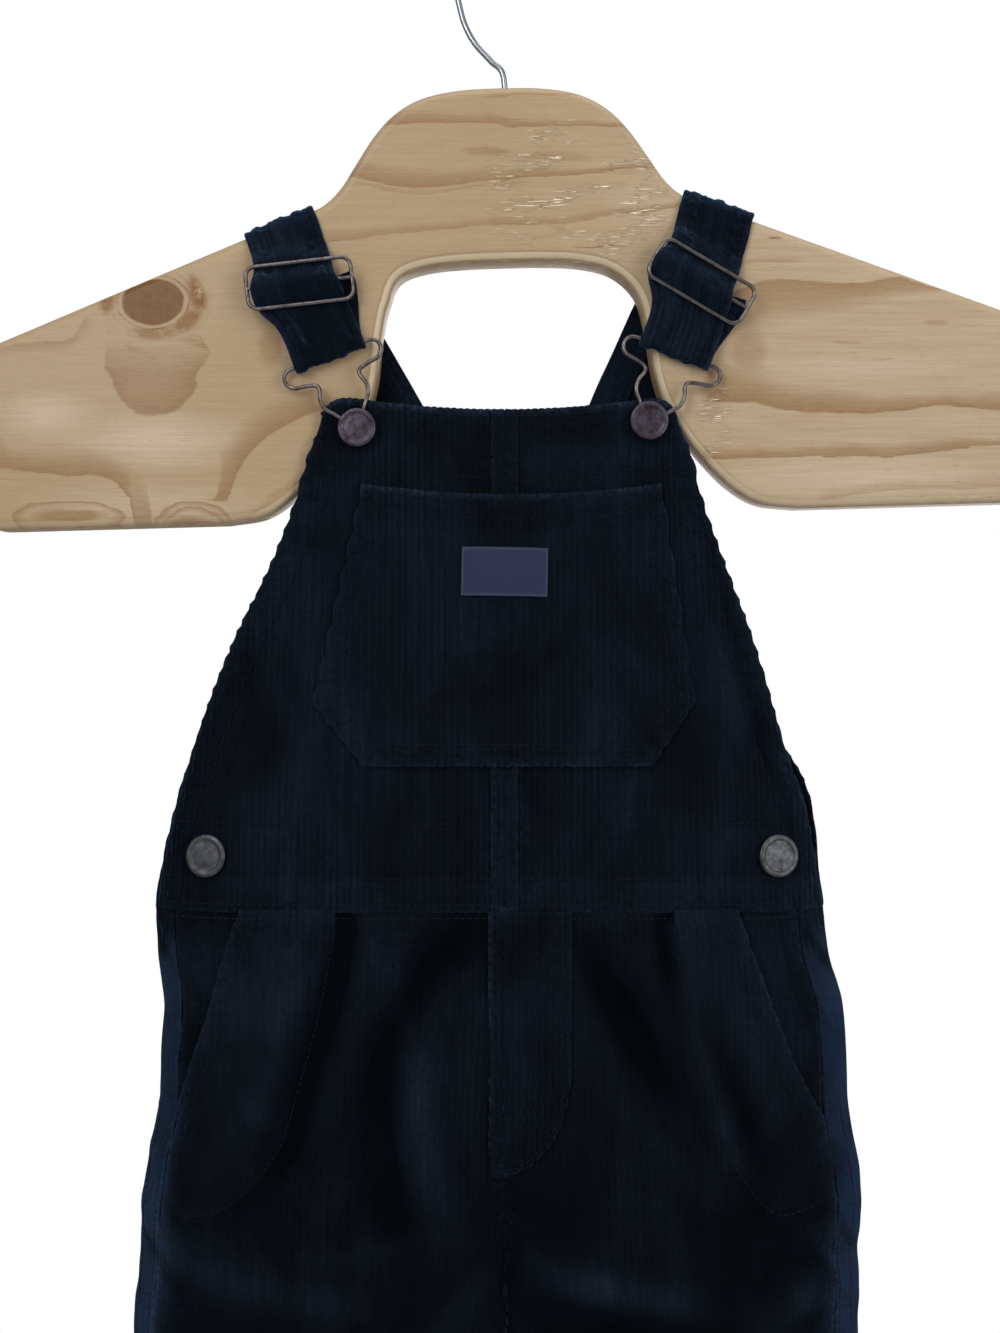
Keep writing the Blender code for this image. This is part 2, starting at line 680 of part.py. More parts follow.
def panel_edge(side, z):
    """Outer edge of a front leg panel: the pocket's mouth, and below it the side seam."""
    seam = side_seam(side, z)
    if z < POCKET_MOUTH[-1].z:
        return seam
    mouth = row_at(POCKET_MOUTH, z)
    return max(mouth.left, seam) if side == "left" else min(mouth.right, seam)


def leg_heights():
    """Heights of the rows of points down a leg, closer together at the hips and the rise."""
    top = WAIST - SEAM / 2
    above, below = LEG_ROWS
    upper = [top + (LEG_ROWS_TURN - top) * i / above for i in range(above)]
    return upper + [LEG_ROWS_TURN + (HEM - LEG_ROWS_TURN) * i / below for i in range(below + 1)]


def front_leg(side):
    places = []
    for z in leg_heights():
        turned = step(*LEG_TURN, z)
        edge = panel_edge(side, z) + (SEAM / 2 if side == "left" else -SEAM / 2)
        inner = leg_edges(side, row_at(LEGS, z))[1]
        line = []
        for j in range(LEG_COLUMNS + 1):
            t = j / LEG_COLUMNS
            share = (1 - turned) * t + turned * math.sin(math.pi / 2 * t)
            a = 1.0 if j == LEG_COLUMNS else leg_a(side, edge + (inner - edge) * share, z)
            line.append(leg_place(side, "front", a, z))
        places.append(line)
    cloth_wall("front_leg_" + side, places, CORDUROY)


def back_leg(side):
    """A back leg, which comes round the side to the seam on the front."""
    places = []
    for z in leg_heights():
        seam = side_seam(side, z) - (SEAM / 2 if side == "left" else -SEAM / 2)
        wrap = leg_a(side, seam, z)
        line = [leg_place(side, "front", wrap * share, z) for share in BACK_LEG_WRAP]
        line += [leg_place(side, "back", a, z) for a in BACK_LEG_COLUMNS]
        places.append(line)
    cloth_wall("back_leg_" + side, places, CORDUROY)


def hip_facing(side):
    """The cloth that shows in the mouth of a hip pocket, joined at the side seam."""
    rows, columns = FACING_GRID
    top, bottom = WAIST - SEAM / 2, POCKET_MOUTH[-1].z + 1.0
    inward = 1 if side == "left" else -1
    places = []
    for i in range(rows + 1):
        z = top + (bottom - top) * i / rows
        start = side_seam(side, z) + inward * SEAM
        end = panel_edge(side, z) + inward * FACING_UNDER
        line = [
            leg_place(side, "front", leg_a(side, start + (end - start) * j / columns, z), z, -CLOTH - TUCK)
            for j in range(columns + 1)
        ]
        places.append(line)
    cloth_wall("hip_facing_" + side, places, CORDUROY, OVERLAY)


def fly():
    """The stitched fly, which lies over the middle seam of the front."""
    rows, columns = FLY_GRID
    right_edge = curve_through([(p.x, p.z) for p in FLY_EDGE], rows + 1)
    places = []
    for i, (edge_x, edge_z) in enumerate(right_edge):
        z_left = FLY_EDGE[0].z + (FLY_END - FLY_EDGE[0].z) * i / rows
        line = []
        for j in range(columns + 1):
            x = FLY_LEFT + (edge_x - FLY_LEFT) * j / columns
            z = z_left + (edge_z - z_left) * j / columns
            side = "left" if x < CENTRE else "right"
            line.append(leg_place(side, "front", leg_a(side, x, z), z, TUCK + OVERLAY))
        places.append(line)
    cloth_wall("fly_flap", places, CORDUROY, OVERLAY)


def board_point(x, z):
    """A point of the board's own frame, in the frame of the whole, with the board's small tilt."""
    cos, sin = math.cos(BOARD_TILT), math.sin(BOARD_TILT)
    down = z - BOARD_CENTRE[1]
    return BOARD_CENTRE[0] + x * cos - down * sin, BOARD_CENTRE[1] + x * sin + down * cos


def fillet(before, corner, after, radius, count):
    """Points of an arc that rounds a corner."""
    corner = np.array(corner, float)
    to_before = np.array(before) - corner
    to_after = np.array(after) - corner
    to_before /= np.linalg.norm(to_before)
    to_after /= np.linalg.norm(to_after)
    half = math.acos(float(to_before @ to_after)) / 2
    middle = (to_before + to_after) / np.linalg.norm(to_before + to_after)
    centre = corner + middle * radius / math.sin(half)
    start = corner + to_before * radius / math.tan(half) - centre
    end = corner + to_after * radius / math.tan(half) - centre
    first, last = math.atan2(start[1], start[0]), math.atan2(end[1], end[0])
    turn = (last - first + math.pi) % (2 * math.pi) - math.pi
    angles = [first + turn * i / (count - 1) for i in range(count)]
    return [tuple(centre + radius * np.array((math.cos(w), math.sin(w)))) for w in angles]


def arm_top(x):
    return BOARD_TOP[-2].z - (x - BOARD_TOP[-2].x) * math.tan(ARM_SLOPE)


def arch_left(x, z):
    """Moves a point of the arch's left side further in, and leaves the arm's outside as it is."""
    (low, low_full), (high_full, high) = ARCH_SIDE
    if x < -BOARD_UNDER[1].x:
        return x
    return x + ARCH_OFF_CENTRE * step(low, low_full, z) * (1 - step(high_full, high, z))


def board_outline():
    """The board's closed outline, clockwise from the middle of the neck."""
    top = [tuple(p) for p in curve_through([(p.x, p.z) for p in BOARD_TOP], 13)]
    under = [tuple(p) for p in curve_through([(p.x, p.z) for p in BOARD_UNDER], 16)]
    high, low = (ARM_REACH, arm_top(ARM_REACH)), (ARM_REACH, ARM_BOTTOM)
    end = fillet(top[-1], high, low, ARM_END_RADIUS, 5) + fillet(high, low, under[0], ARM_END_RADIUS, 5)
    half = top + end + under
    mirrored = [(arch_left(-x, z), z) for x, z in half[-2:0:-1]]
    return [board_point(x, z) for x, z in half + mirrored]


def ring_normals(outline):
    """Unit normals of a clockwise outline, pointing into it."""
    points = np.array(outline)
    tangent = np.roll(points, -1, axis=0) - np.roll(points, 1, axis=0)
    tangent /= np.linalg.norm(tangent, axis=1, keepdims=True)
    return np.stack([tangent[:, 1], -tangent[:, 0]], axis=1)


def hanger_board():
    outline = np.array(board_outline())
    normals = ring_normals(outline)
    half = BOARD_THICK / 2
    form = bmesh.new()
    rings = []
    bends = [math.radians(w) for w in (0, 45, 90)]
    profile = [(BOARD_EDGE * (1 - math.sin(w)), -half + BOARD_EDGE * (1 - math.cos(w))) for w in bends]
    profile += [(inset, -y) for inset, y in reversed(profile)]
    for inset, y in profile:
        moved = outline + normals * inset
        rings.append([form.verts.new((x, y, z)) for x, z in moved])
    for ring, following in zip(rings, rings[1:]):
        for i in range(len(ring)):
            k = (i + 1) % len(ring)
            form.faces.new((ring[i], ring[k], following[k], following[i]))
    caps = [form.faces.new(rings[0]), form.faces.new(rings[-1])]
    bmesh.ops.triangulate(form, faces=caps)
    board = finished("hanger_board", mesh_of("hanger_board", form), PINE)

    drill = bmesh.new()
    top = BOARD_TOP[0].z + DRILL_ABOVE
    deep = HOOK_DEPTH_IN_BOARD + DRILL_ABOVE + HOOK_STEM_CLEAR
    bmesh.ops.create_cone(
        drill,
        cap_ends=True,
        segments=DRILL_SIDES,
        radius1=HOOK_WIRE / 2 + HOOK_STEM_CLEAR,
        radius2=HOOK_WIRE / 2 + HOOK_STEM_CLEAR,
        depth=deep,
        matrix=Matrix.Translation((HOOK_STEM_X, 0, top - deep / 2)),
    )
    cutter = finished("hook_hole_cutter", mesh_of("hook_hole_cutter", drill), STEEL)
    cutter.hide_render = True
    cutter.display_type = "WIRE"
    hole = board.modifiers.new("hook hole", "BOOLEAN")
    hole.object = cutter
    hole.operation = "DIFFERENCE"


def tube(path, radius, sides, closed=False):
    """A round wire along a path, with its ends capped unless it closes on itself."""
    points = [Vector(p) for p in path]
    count = len(points)
    form = bmesh.new()
    normal = None
    rings = []
    for i, point in enumerate(points):
        before = points[i - 1] if i or closed else point
        after = points[(i + 1) % count] if i < count - 1 or closed else point
        tangent = (after - before).normalized()
        if normal is None:
            normal = tangent.cross(Vector((0.1, 1, 0.2))).normalized()
        normal = (normal - tangent * normal.dot(tangent)).normalized()
        across = tangent.cross(normal)
        ring = []
        for k in range(sides):
            w = 2 * math.pi * k / sides
            ring.append(form.verts.new(point + (normal * math.cos(w) + across * math.sin(w)) * radius))
        rings.append(ring)
    pairs = list(zip(rings, rings[1:])) + ([(rings[-1], rings[0])] if closed else [])
    for ring, following in pairs:
        shift = 0
        if following is rings[0]:
            shift = min(range(sides), key=lambda s: (ring[0].co - following[s].co).length)
        for k in range(sides):
            m = (k + 1) % sides
            near, far = following[(k + shift) % sides], following[(m + shift) % sides]
            form.faces.new((ring[k], ring[m], far, near))
    if not closed:
        form.faces.new(rings[0])
        form.faces.new(rings[-1])
    return form


def hanger_hook():
    arc = []
    for i in range(15):
        w = math.radians(HOOK_TIP_ANGLE + (HOOK_LEAVES_ANGLE - HOOK_TIP_ANGLE) * i / 14)
        high = -HOOK_RADIUS + HOOK_WIRE / 2
        arc.append((HOOK_RADIUS * math.cos(w), high + HOOK_RADIUS * math.sin(w)))
    neck = [(bend.x, bend.z) for bend in HOOK_NECK]
    stem = [(HOOK_STEM_X, BOARD_TOP[0].z - HOOK_DEPTH_IN_BOARD)]
    path = [(x, 0.0, z) for x, z in curve_through(arc + neck + stem, 36)]
    finished("hanger_hook", mesh_of("hanger_hook", tube(path, HOOK_WIRE / 2, WIRE_SIDES)), STEEL)


def strap_levels():
    """Distances off the board's face: a strap's back layer, the buckle's bar, its front layer, the
    slider and the layer over the slider's middle bar. The last value is the radius of a turn."""
    back = STRAP_OFF_BOARD + STRAP_THICK / 2
    bar = STRAP_OFF_BOARD + STRAP_THICK + FITTING_PLAY + FITTING_WIRE / 2
    turn = FITTING_WIRE / 2 + FITTING_PLAY + STRAP_THICK / 2
    front = bar + turn
    slider = front + turn
    return back, bar, front, slider, slider + turn, turn


def strap_frame(strap):
    """The arm's crossing, its direction along the arm, the strap's curve to the bar and its axis."""
    across = abs(strap.across)
    side = math.copysign(1, strap.across)
    seat = np.array(board_point(strap.across, arm_top(across) + strap.lift))
    angle = BOARD_TILT - side * ARM_SLOPE
    along = np.array((math.cos(angle), math.sin(angle)))
    up = np.array((-along[1], along[0]))
    bar, button = np.array(strap.bar), np.array(strap.button)
    axis = (button - bar) / np.linalg.norm(button - bar)
    return seat, along, up, bar, axis


def sewn_strap(strap):
    """One strap: sewn to the back, over the arm, through the slider, round the buckle and back up."""
    back, _, front, _, over, turn = strap_levels()
    seat, along, up, bar, axis = strap_frame(strap)
    half = BOARD_THICK / 2
    start = seat - up * STRAP_FALL
    bend = bar - axis * np.linalg.norm(bar - start) * 0.5
    angle = math.radians(strap.slider_turn)
    slider_down = np.array((math.sin(angle), -math.cos(angle)))
    slider = np.array(strap.slider)
    bar_gap = (SLIDER_HEIGHT - FITTING_WIRE) / 2
    length = float(np.linalg.norm(bar - start))

    def front_curve(s):
        """Point and width direction at a share of the way from the bar up to the arm."""
        t = 1 - s
        point = (1 - t) ** 2 * start + 2 * t * (1 - t) * bend + t * t * bar
        slope = 2 * (1 - t) * (bend - start) + 2 * t * (bar - bend)
        slope /= np.linalg.norm(slope)
        return point, np.array((-slope[1], slope[0]))

    def front_level(point):
        down = float((point - slider) @ slider_down)
        if down < -bar_gap:
            return back + (front - back) * step(-bar_gap - SLIDER_RUN_UP, -bar_gap, down)
        lift = 0.5 + 0.5 * math.cos(math.pi * min(max(down, -bar_gap), bar_gap) / bar_gap)
        return front + (over - front) * lift

    def under_level(point):
        down = float((point - slider) @ slider_down)
        return back + UNDER_RISE * (1 - step(*UNDER_TURN, down))

    def back_level(point):
        """The strap lies on the board's back, and lower down on the outside of the back piece."""
        outside = BIB_BACK[0].middle + SEAM / 2 + SNUG + STRAP_THICK / 2
        top = BIB_BACK[0].z
        return half + back + (outside - half - back) * (1 - step(*BACK_END_RISE, point[1] - top))

    grid = []

    def add(point, width, level):
        row = []
        for share in STRAP_COLUMNS:
            flat = point + width * share * STRAP_WIDTH / 2
            y = level(flat) if callable(level) else level
            row.append(Vector((flat[0], y, flat[1])))
        grid.append(row)

    reach = float((bar - slider) @ slider_down) - UNDER_STOP
    for i in range(UNDER_STATIONS):
        point, width = front_curve(reach / length * (1 - i / (UNDER_STATIONS - 1)))
        add(point, width, lambda p: -half - under_level(p))
    point, width = front_curve(0.0)
    for i in range(1, STRAP_TURN):
        w = math.pi * i / STRAP_TURN
        centre = (back + front) / 2
        add(point + axis * turn * math.sin(w), width, -half - centre + turn * math.cos(w))
    for i in range(FRONT_STATIONS + 1):
        point, width = front_curve(i / FRONT_STATIONS)
        add(point, width, lambda p: -half - front_level(p))
    radius = STRAP_FALL + back
    for w in [math.radians(180 - turned) for turned in STRAP_ARM_TURNS]:
        point = seat + up * (-STRAP_FALL + radius * math.sin(w))
        turned = front_curve(1.0)[1] * (1 - math.sin(w)) + along * math.sin(w)
        add(point, turned / np.linalg.norm(turned), -(half - STRAP_FALL) + radius * math.cos(w))
    finish = np.array(strap.back_end)
    run = finish - (seat - up * STRAP_FALL)
    down = run / np.linalg.norm(run)
    back_width = np.array((-down[1], down[0]))
    for w in [math.radians(90 - turned) for turned in (0.0, *STRAP_ARM_TURNS)]:
        point = seat + up * (-STRAP_FALL + radius * math.sin(w))
        turned = back_width * (1 - math.sin(w)) + along * math.sin(w)
        add(point, turned / np.linalg.norm(turned), (half - STRAP_FALL) + radius * math.cos(w))
    first = seat - up * STRAP_FALL
    for i in range(1, STRAP_BACK_ROWS + 1):
        add(first + run * i / STRAP_BACK_ROWS, back_width, back_level)

    places = []
    for i, row in enumerate(grid):
        before, after = grid[max(i - 1, 0)], grid[min(i + 1, len(grid) - 1)]
        line = []
        for j, point in enumerate(row):
            tangent = after[j] - before[j]
            width = row[min(j + 1, len(row) - 1)] - row[max(j - 1, 0)]
            normal = width.cross(tangent).normalized()
            line.append((np.array(point + normal * STRAP_THICK / 2), np.array(normal)))
        places.append(line)
    cloth_wall("strap_" + strap.side, places, CORDUROY, STRAP_THICK)


def wire_slider(strap):
    """The wire slider that sets the strap's length: a rounded frame and its middle bar."""
    level = -BOARD_THICK / 2 - strap_levels()[3]
    half_long = (SLIDER_LENGTH - FITTING_WIRE) / 2
    half_high = (SLIDER_HEIGHT - FITTING_WIRE) / 2
    corners = [(half_long, half_high), (half_long, -half_high), (-half_long, -half_high)]
    corners.append((-half_long, half_high))
    path = []
    for i, corner in enumerate(corners):
        path += fillet(corners[i - 1], corner, corners[(i + 1) % 4], SLIDER_CORNER, 5)
    angle = math.radians(strap.slider_turn)
    turn = Matrix.Translation((strap.slider[0], level, strap.slider[1])) @ Matrix.Rotation(-angle, 4, "Y")
    ring = tube([turn @ Vector((x, 0, z)) for x, z in path], FITTING_WIRE / 2, WIRE_SIDES, closed=True)
    frame = finished("slider_" + strap.side, mesh_of("slider_" + strap.side, ring), AGED_METAL)
    ends = [turn @ Vector((x, 0, 0)) for x in (-half_long, half_long)]
    name = "slider_bar_" + strap.side
    rod = tube(ends, FITTING_WIRE * MIDDLE_BAR_SHARE / 2, WIRE_SIDES)
    bar = finished(name, mesh_of(name, rod), AGED_METAL)
    bar.hide_render = True
    bar.display_type = "WIRE"
    joined = frame.modifiers.new("middle bar", "BOOLEAN")
    joined.object = bar
    joined.operation = "UNION"


def wire_buckle(strap):
    """The bent wire buckle, from its bar in the strap's end to the slot round the button."""
    bar_level = strap_levels()[1]
    bar, button = np.array(strap.bar), np.array(strap.button)
    axis = (button - bar) / np.linalg.norm(button - bar)
    across = np.array((-axis[1], axis[0]))
    half = [(bend.across, bend.down) for bend in BUCKLE]
    whole = half + [(-u, v) for u, v in half[-2:0:-1]]
    seat = bib_place(*strap.button)[0]
    slot_y = seat[1] - SNUG - FITTING_WIRE / 2 - WIRE_LIFT
    bar_y = -BOARD_THICK / 2 - bar_level
    path = []
    for u, v in curve_through(whole, 60, closed=True):
        x, z = bar + across * u + axis * v
        path.append((x, bar_y + (slot_y - bar_y) * step(*BUCKLE_SETS_BACK, v), z))
    mesh = mesh_of("buckle_" + strap.side, tube(path, FITTING_WIRE / 2, BUCKLE_SIDES, closed=True))
    finished("buckle_" + strap.side, mesh, AGED_METAL)


def turned_button(name, x, z, width, profile):
    """A button turned from a profile of (share of the radius, height) and seated on the bib."""
    seat, normal = bib_place(x, z)
    form = bmesh.new()
    lowest = form.verts.new((0, 0, profile[0][1]))
    highest = form.verts.new((0, 0, profile[-1][1]))
    rings = []
    for share, height in profile[1:-1]:
        radius = share * width / 2
        angles = [2 * math.pi * k / BUTTON_SIDES for k in range(BUTTON_SIDES)]
        rings.append([form.verts.new((radius * math.cos(w), radius * math.sin(w), height)) for w in angles])
    for ring, following in zip(rings, rings[1:]):
        for k in range(BUTTON_SIDES):
            m = (k + 1) % BUTTON_SIDES
            form.faces.new((ring[k], ring[m], following[m], following[k]))
    for k in range(BUTTON_SIDES):
        m = (k + 1) % BUTTON_SIDES
        form.faces.new((lowest, rings[0][m], rings[0][k]))
        form.faces.new((highest, rings[-1][k], rings[-1][m]))
    facing = Vector(normal).to_track_quat("Z", "Y").to_matrix().to_4x4()
    bmesh.ops.transform(form, matrix=Matrix.Translation(seat) @ facing, verts=form.verts)
    finished(name, mesh_of(name, form), AGED_METAL)


def buttons():
    shank = BUTTON_SHANK / BUTTON_WIDTH
    head = SNUG + FITTING_WIRE + 3 * WIRE_LIFT
    profile = [(0, SNUG), (shank, SNUG), (shank, head), (0.9, head), (1, head + 0.7), (0.95, head + 1.5)]
    profile += [(0.78, head + 1.6), (0.66, head + 1.2), (0.35, head + 1.4), (0, head + 1.6)]
    for strap in STRAPS:
        turned_button("bib_button_" + strap.side, *strap.button, BUTTON_WIDTH, profile)
    flat = [(0, SNUG), (0.86, SNUG), (1, 1.1), (0.95, 2.0), (0.8, 2.2), (0.68, 1.8), (0.35, 2.0), (0, 2.2)]
    for side, x, z in SIDE_BUTTONS:
        turned_button("side_button_" + side, x, z, SIDE_BUTTON_WIDTH, flat)


def main():
    clear_scene()
    hanger_board()
    hanger_hook()
    for side in ("left", "right"):
        bib_half(side)
        back_half(side)
        side_placket(side)
        front_leg(side)
        back_leg(side)
        hip_facing(side)
    bib_centre_fell()
    bib_pocket()
    bib_label()
    fly()
    for strap in STRAPS:
        sewn_strap(strap)
        wire_slider(strap)
        wire_buckle(strap)
    buttons()


main()
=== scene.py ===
"""Toddler's bib overalls in navy corduroy on a wooden hanger: the dressed model, its stage and camera.

Sizes in the tables are in millimetres, in the frame of the packed model: the origin is under the
hanger's hook, +Z is up and the garment's front faces -Y.
"""

import math
from collections import namedtuple

import bmesh
import bpy
import numpy as np
from bpy.props import FloatProperty, FloatVectorProperty
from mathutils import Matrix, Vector


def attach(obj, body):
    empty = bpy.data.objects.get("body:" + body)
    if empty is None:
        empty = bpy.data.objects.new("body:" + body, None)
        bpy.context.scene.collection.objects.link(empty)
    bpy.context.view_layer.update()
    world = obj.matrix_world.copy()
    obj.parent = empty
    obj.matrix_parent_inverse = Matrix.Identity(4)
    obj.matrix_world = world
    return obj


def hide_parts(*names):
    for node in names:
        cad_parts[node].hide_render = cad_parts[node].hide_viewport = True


bl_info = {
    "name": "Bib Overalls on a Hanger",
    "version": (1, 0, 0),
    "blender": (4, 5, 0),
    "location": "3D View > Sidebar > Overalls",
    "description": "Builds corduroy bib overalls, their fittings, the wooden hanger and a plain stage",
    "category": "Object",
}

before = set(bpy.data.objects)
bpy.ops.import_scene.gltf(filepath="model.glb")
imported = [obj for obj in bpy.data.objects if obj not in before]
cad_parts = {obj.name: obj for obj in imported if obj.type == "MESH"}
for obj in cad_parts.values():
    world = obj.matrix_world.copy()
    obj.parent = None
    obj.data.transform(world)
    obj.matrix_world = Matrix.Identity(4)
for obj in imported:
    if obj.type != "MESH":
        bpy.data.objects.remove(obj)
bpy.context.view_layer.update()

METRES = 0.001
# Columns of points across a panel, before its wales are laid in
DENSE = 150

# Cloth, as the solids have it: the thickness of a panel and of cloth sewn on top, the gaps between two
# panels, under what lies on the cloth and under what laps over it, and where the middle seam runs
CLOTH = 1.6
OVERLAY = 1.2
SEAM = 0.3
SNUG = 0.4
TUCK = 0.9
CENTRE = 0.6
# The bib's top edge, level at the sides and sagging in the middle, and the corners that round it off
BIB_TOP = -194.0
BIB_SAG = 4.7
BIB_SAG_HALF = 62.0
BIB_LEVEL_LEFT = 66.0
BIB_LEVEL_RIGHT = 63.0
BIB_CORNER_RADIUS = 9.7
BIB_CORNER = -203.7
# Heights of the waist seam and of the legs' lower edge
WAIST = -405.7
HEM = -833.0
# Seams and hems: the bib's side hems and top facing, its tuck and band, and the legs' hems
SIDE_HEM = 12.9
TOP_FACING = 27.8
TUCK_SEAM = -370.0
BAND_SEAM = -391.4
LEG_HEM = 16.4
# How far in from the side and from the inseam a panel rounds off
SIDE_REACH = 60.0
INSEAM_REACH = 45.0
# Heights between which a leg's inner side turns back, and its columns turn from the rise to the inseam
RISE_TURN = (-490.0, -567.0)
LEG_TURN = (-540.0, -572.0)
# Below this height the rows of a leg's grid stand further apart
LEG_MIDDLE = -600.0
# Folds fade out this near to a leg's edges, and are this many times as deep as the solids have them
FOLD_MARGIN = 9.0
FOLD_DEPTH = 1.5
# The two legs lean to each other at the crotch: how far, how near the inseam and between which heights
CROTCH_CLOSES = 1.3
CROTCH_REACH = 3.0
CROTCH_TURN = (-616.0, -588.0)
# How far a hip pocket's facing runs in under the mouth, the underlap at a side opening, and the sag of
# the bib pocket's top
FACING_UNDER = 14.0
PLACKET_TOP = -350.0
PLACKET_WIDTH = 26.0
POCKET_SAG = 4.6
# The label: left, bottom, right and top, its thickness and how it eases over the felled seam
LABEL_CORNERS = (-17.2, -275.9, 18.5, -256.2)
LABEL_THICK = 0.6
LABEL_EASE = 3.0
# The felled seam down the bib: half its width, its thickness and the run in which the pocket falls off it
FELL_HALF = 6.1
FELL_THICK = 0.8
FELL_SLOPE = 5.0
FLY_LEFT = -6.0
FLY_END = -514.0

# The board, with its tilt about its centre and the slope of its arms
BOARD_THICK = 18.0
BOARD_EDGE = 4.5
BOARD_CENTRE = (-1.3, -62.0)
BOARD_TILT = math.radians(1.6)
ARM_REACH = 231.0
ARM_BOTTOM = -242.0
ARM_END_RADIUS = 18.0
ARM_SLOPE = math.radians(21.3)
# The arch was sawn off centre: how far in its left side is moved, and where that starts and ends
ARCH_OFF_CENTRE = 6.0
ARCH_SIDE = ((-236.0, -200.0), (-152.0, -136.0))
# The hook: its wire, the radius and the two ends of its turn in degrees, and its neck down to the board
HOOK_WIRE = 2.5
HOOK_RADIUS = 19.5
HOOK_DEPTH_IN_BOARD = 14.0
HOOK_STEM_X = 1.0
HOOK_TURN = (-4.0, 196.0)
HOOK_NECK = ((-16.4, -32.4), (-12.0, -40.8), (-5.2, -48.4), (0.2, -55.0))
# A strap: its width, its thickness and its gap to the board's faces
STRAP_WIDTH = 31.6
STRAP_THICK = 1.6
STRAP_OFF_BOARD = 0.4
# How far under the arm's top a strap leaves its faces, which sets the radius over the arm
STRAP_FALL = 5.0
# The row of a strap's grid that lies over the arm
STRAP_CROWN = 70
# Within this run above the slider a strap's front layer comes forward
SLIDER_RUN_UP = 11.0
# The layer under the slider: how far it lies forward, where it falls back, where it stops short of the
# slider's bar, and how far it shows beside the layer over it
UNDER_RISE = 3.2
UNDER_TURN = (2.0, 11.0)
UNDER_STOP = 1.6
UNDER_BESIDE = 5.6
# The layer over the bar lies to the other side and is wider, within this reach of the slider
OVER_BESIDE = -3.6
OVER_WIDER = 2.2
SLIDER_REACH = 10.0
# Heights over the back's top between which a strap's end comes out to lie on the back
BACK_END_RISE = (3.0, 26.0)
# Fittings: the gap from the bib to a wire over it, the wire's thickness and its play in the strap, the
# slider's size, and how far down a buckle sets back from the strap to the bib
WIRE_LIFT = 0.15
FITTING_WIRE = 1.7
FITTING_PLAY = 0.25
SLIDER_LENGTH = 45.4
SLIDER_HEIGHT = 19.2
SLIDER_CORNER = 4.0
BUCKLE_SETS_BACK = (4.0, 16.0)
BUTTON_WIDTH = 16.0
SIDE_BUTTON_WIDTH = 17.6

# Rows down the bib and the back: both edges across, the depth in the middle and at the edges, how round
# the side is, and how far the sides of the bib lie within that outline
Front = namedtuple("Front", "z left right middle edge round inset_left inset_right")
BIB_FRONT = tuple(Front(*row) for row in (
    (-203.7, -75.2, 72.7, -12.6, -11.9, 0, 0, 0), (-214.2, -80.2, 77.7, -12.7, -11.8, 0, 0, 0),
    (-235.2, -86.5, 83.2, -13, -11.7, 0, 0, 0), (-256.2, -94.5, 90.7, -13.5, -11.4, 0, 0, 0),
    (-277.2, -104.6, 98.7, -14.2, -9.8, 0, 0, 0), (-298.2, -114.7, 106.3, -15, -7.6, 0.1, 0, 0),
    (-319.2, -123.5, 113, -16, -5, 0.3, 0, 0), (-338, -130.4, 119.4, -17, -2, 0.7, 0, 0.6),
    (-350, -134.6, 126.2, -17.6, 0, 1, 0.4, 3.6), (-361.2, -138, 130.4, -18, 0, 1, 0.6, 4.4),
    (-382.2, -143.3, 133.2, -19, 0, 1, 0.7, 2.2), (-405.7, -147.1, 135.6, -20, 0, 1, 1, 1.4),
))
Back = namedtuple("Back", "z left right middle edge round")
BIB_BACK = tuple(Back(*row) for row in (
    (-226, -54, 59, 12, 11.6, 0), (-248, -57, 62, 12.2, 11.4, 0), (-272, -66, 71, 12.6, 10.6, 0),
    (-298, -83, 87, 13, 8.8, 0.1), (-320, -104, 105, 13.4, 5.6, 0.4),
    (-338, -124, 118.6, 13.8, 1.8, 0.8), (-350, -134.6, 126.2, 14, 0, 1),
    (-361.2, -138, 130.4, 14.2, 0, 1), (-382.2, -143.3, 133.2, 14.6, 0, 1),
    (-405.7, -147.1, 135.6, 15, 0, 1),
))
# Rows down the legs: outer and inner edges, the depth in front and behind, and how far in from the outer
# edge the side seams run
Leg = namedtuple("Leg", "z left right left_in right_in front back left_seam right_seam")
LEGS = tuple(Leg(*row) for row in (
    (-405.7, -147.1, 135.6, 0.45, 0.75, -20, 15, 10, 13),
    (-424.2, -146.3, 137.6, 0.45, 0.75, -21, 16.5, 10, 13),
    (-445.2, -143.6, 143.4, 0.45, 0.75, -22, 18, 10, 13),
    (-466.2, -144.8, 145.4, 0.45, 0.75, -22.8, 19.4, 10, 13),
    (-487.2, -145.4, 146, 0.45, 0.75, -23, 20, 10, 13),
    (-508.2, -149.6, 149.3, 0.45, 0.75, -22.6, 20, 10, 13),
    (-529.2, -152.7, 152.1, 0.45, 0.75, -22, 19.4, 10, 13),
    (-550.2, -153.4, 150.2, 0.4, 0.8, -21, 18.4, 10, 13),
    (-571.2, -155.6, 151, 0.4, 0.8, -20, 17.2, 10, 13),
    (-584, -156.2, 150.4, 0.2, 1, -19.6, 16.8, 9.6, 12), (-640, -155, 150.2, -6, 7, -18.8, 16, 9, 10),
    (-720, -151.6, 149.2, -17.4, 18, -17.4, 15, 8, 8), (-833, -148, 147, -27, 27, -16, 14, 8, 8),
))
Mouth = namedtuple("Mouth", "z left right")
POCKET_MOUTH = tuple(Mouth(*row) for row in (
    (-405.7, -108.6, 97), (-417.9, -113, 101), (-433.4, -117.6, 106.6), (-451.1, -122.6, 113.2),
    (-466, -128.1, 119), (-482.6, -134, 127.6), (-490, -137, 132),
))
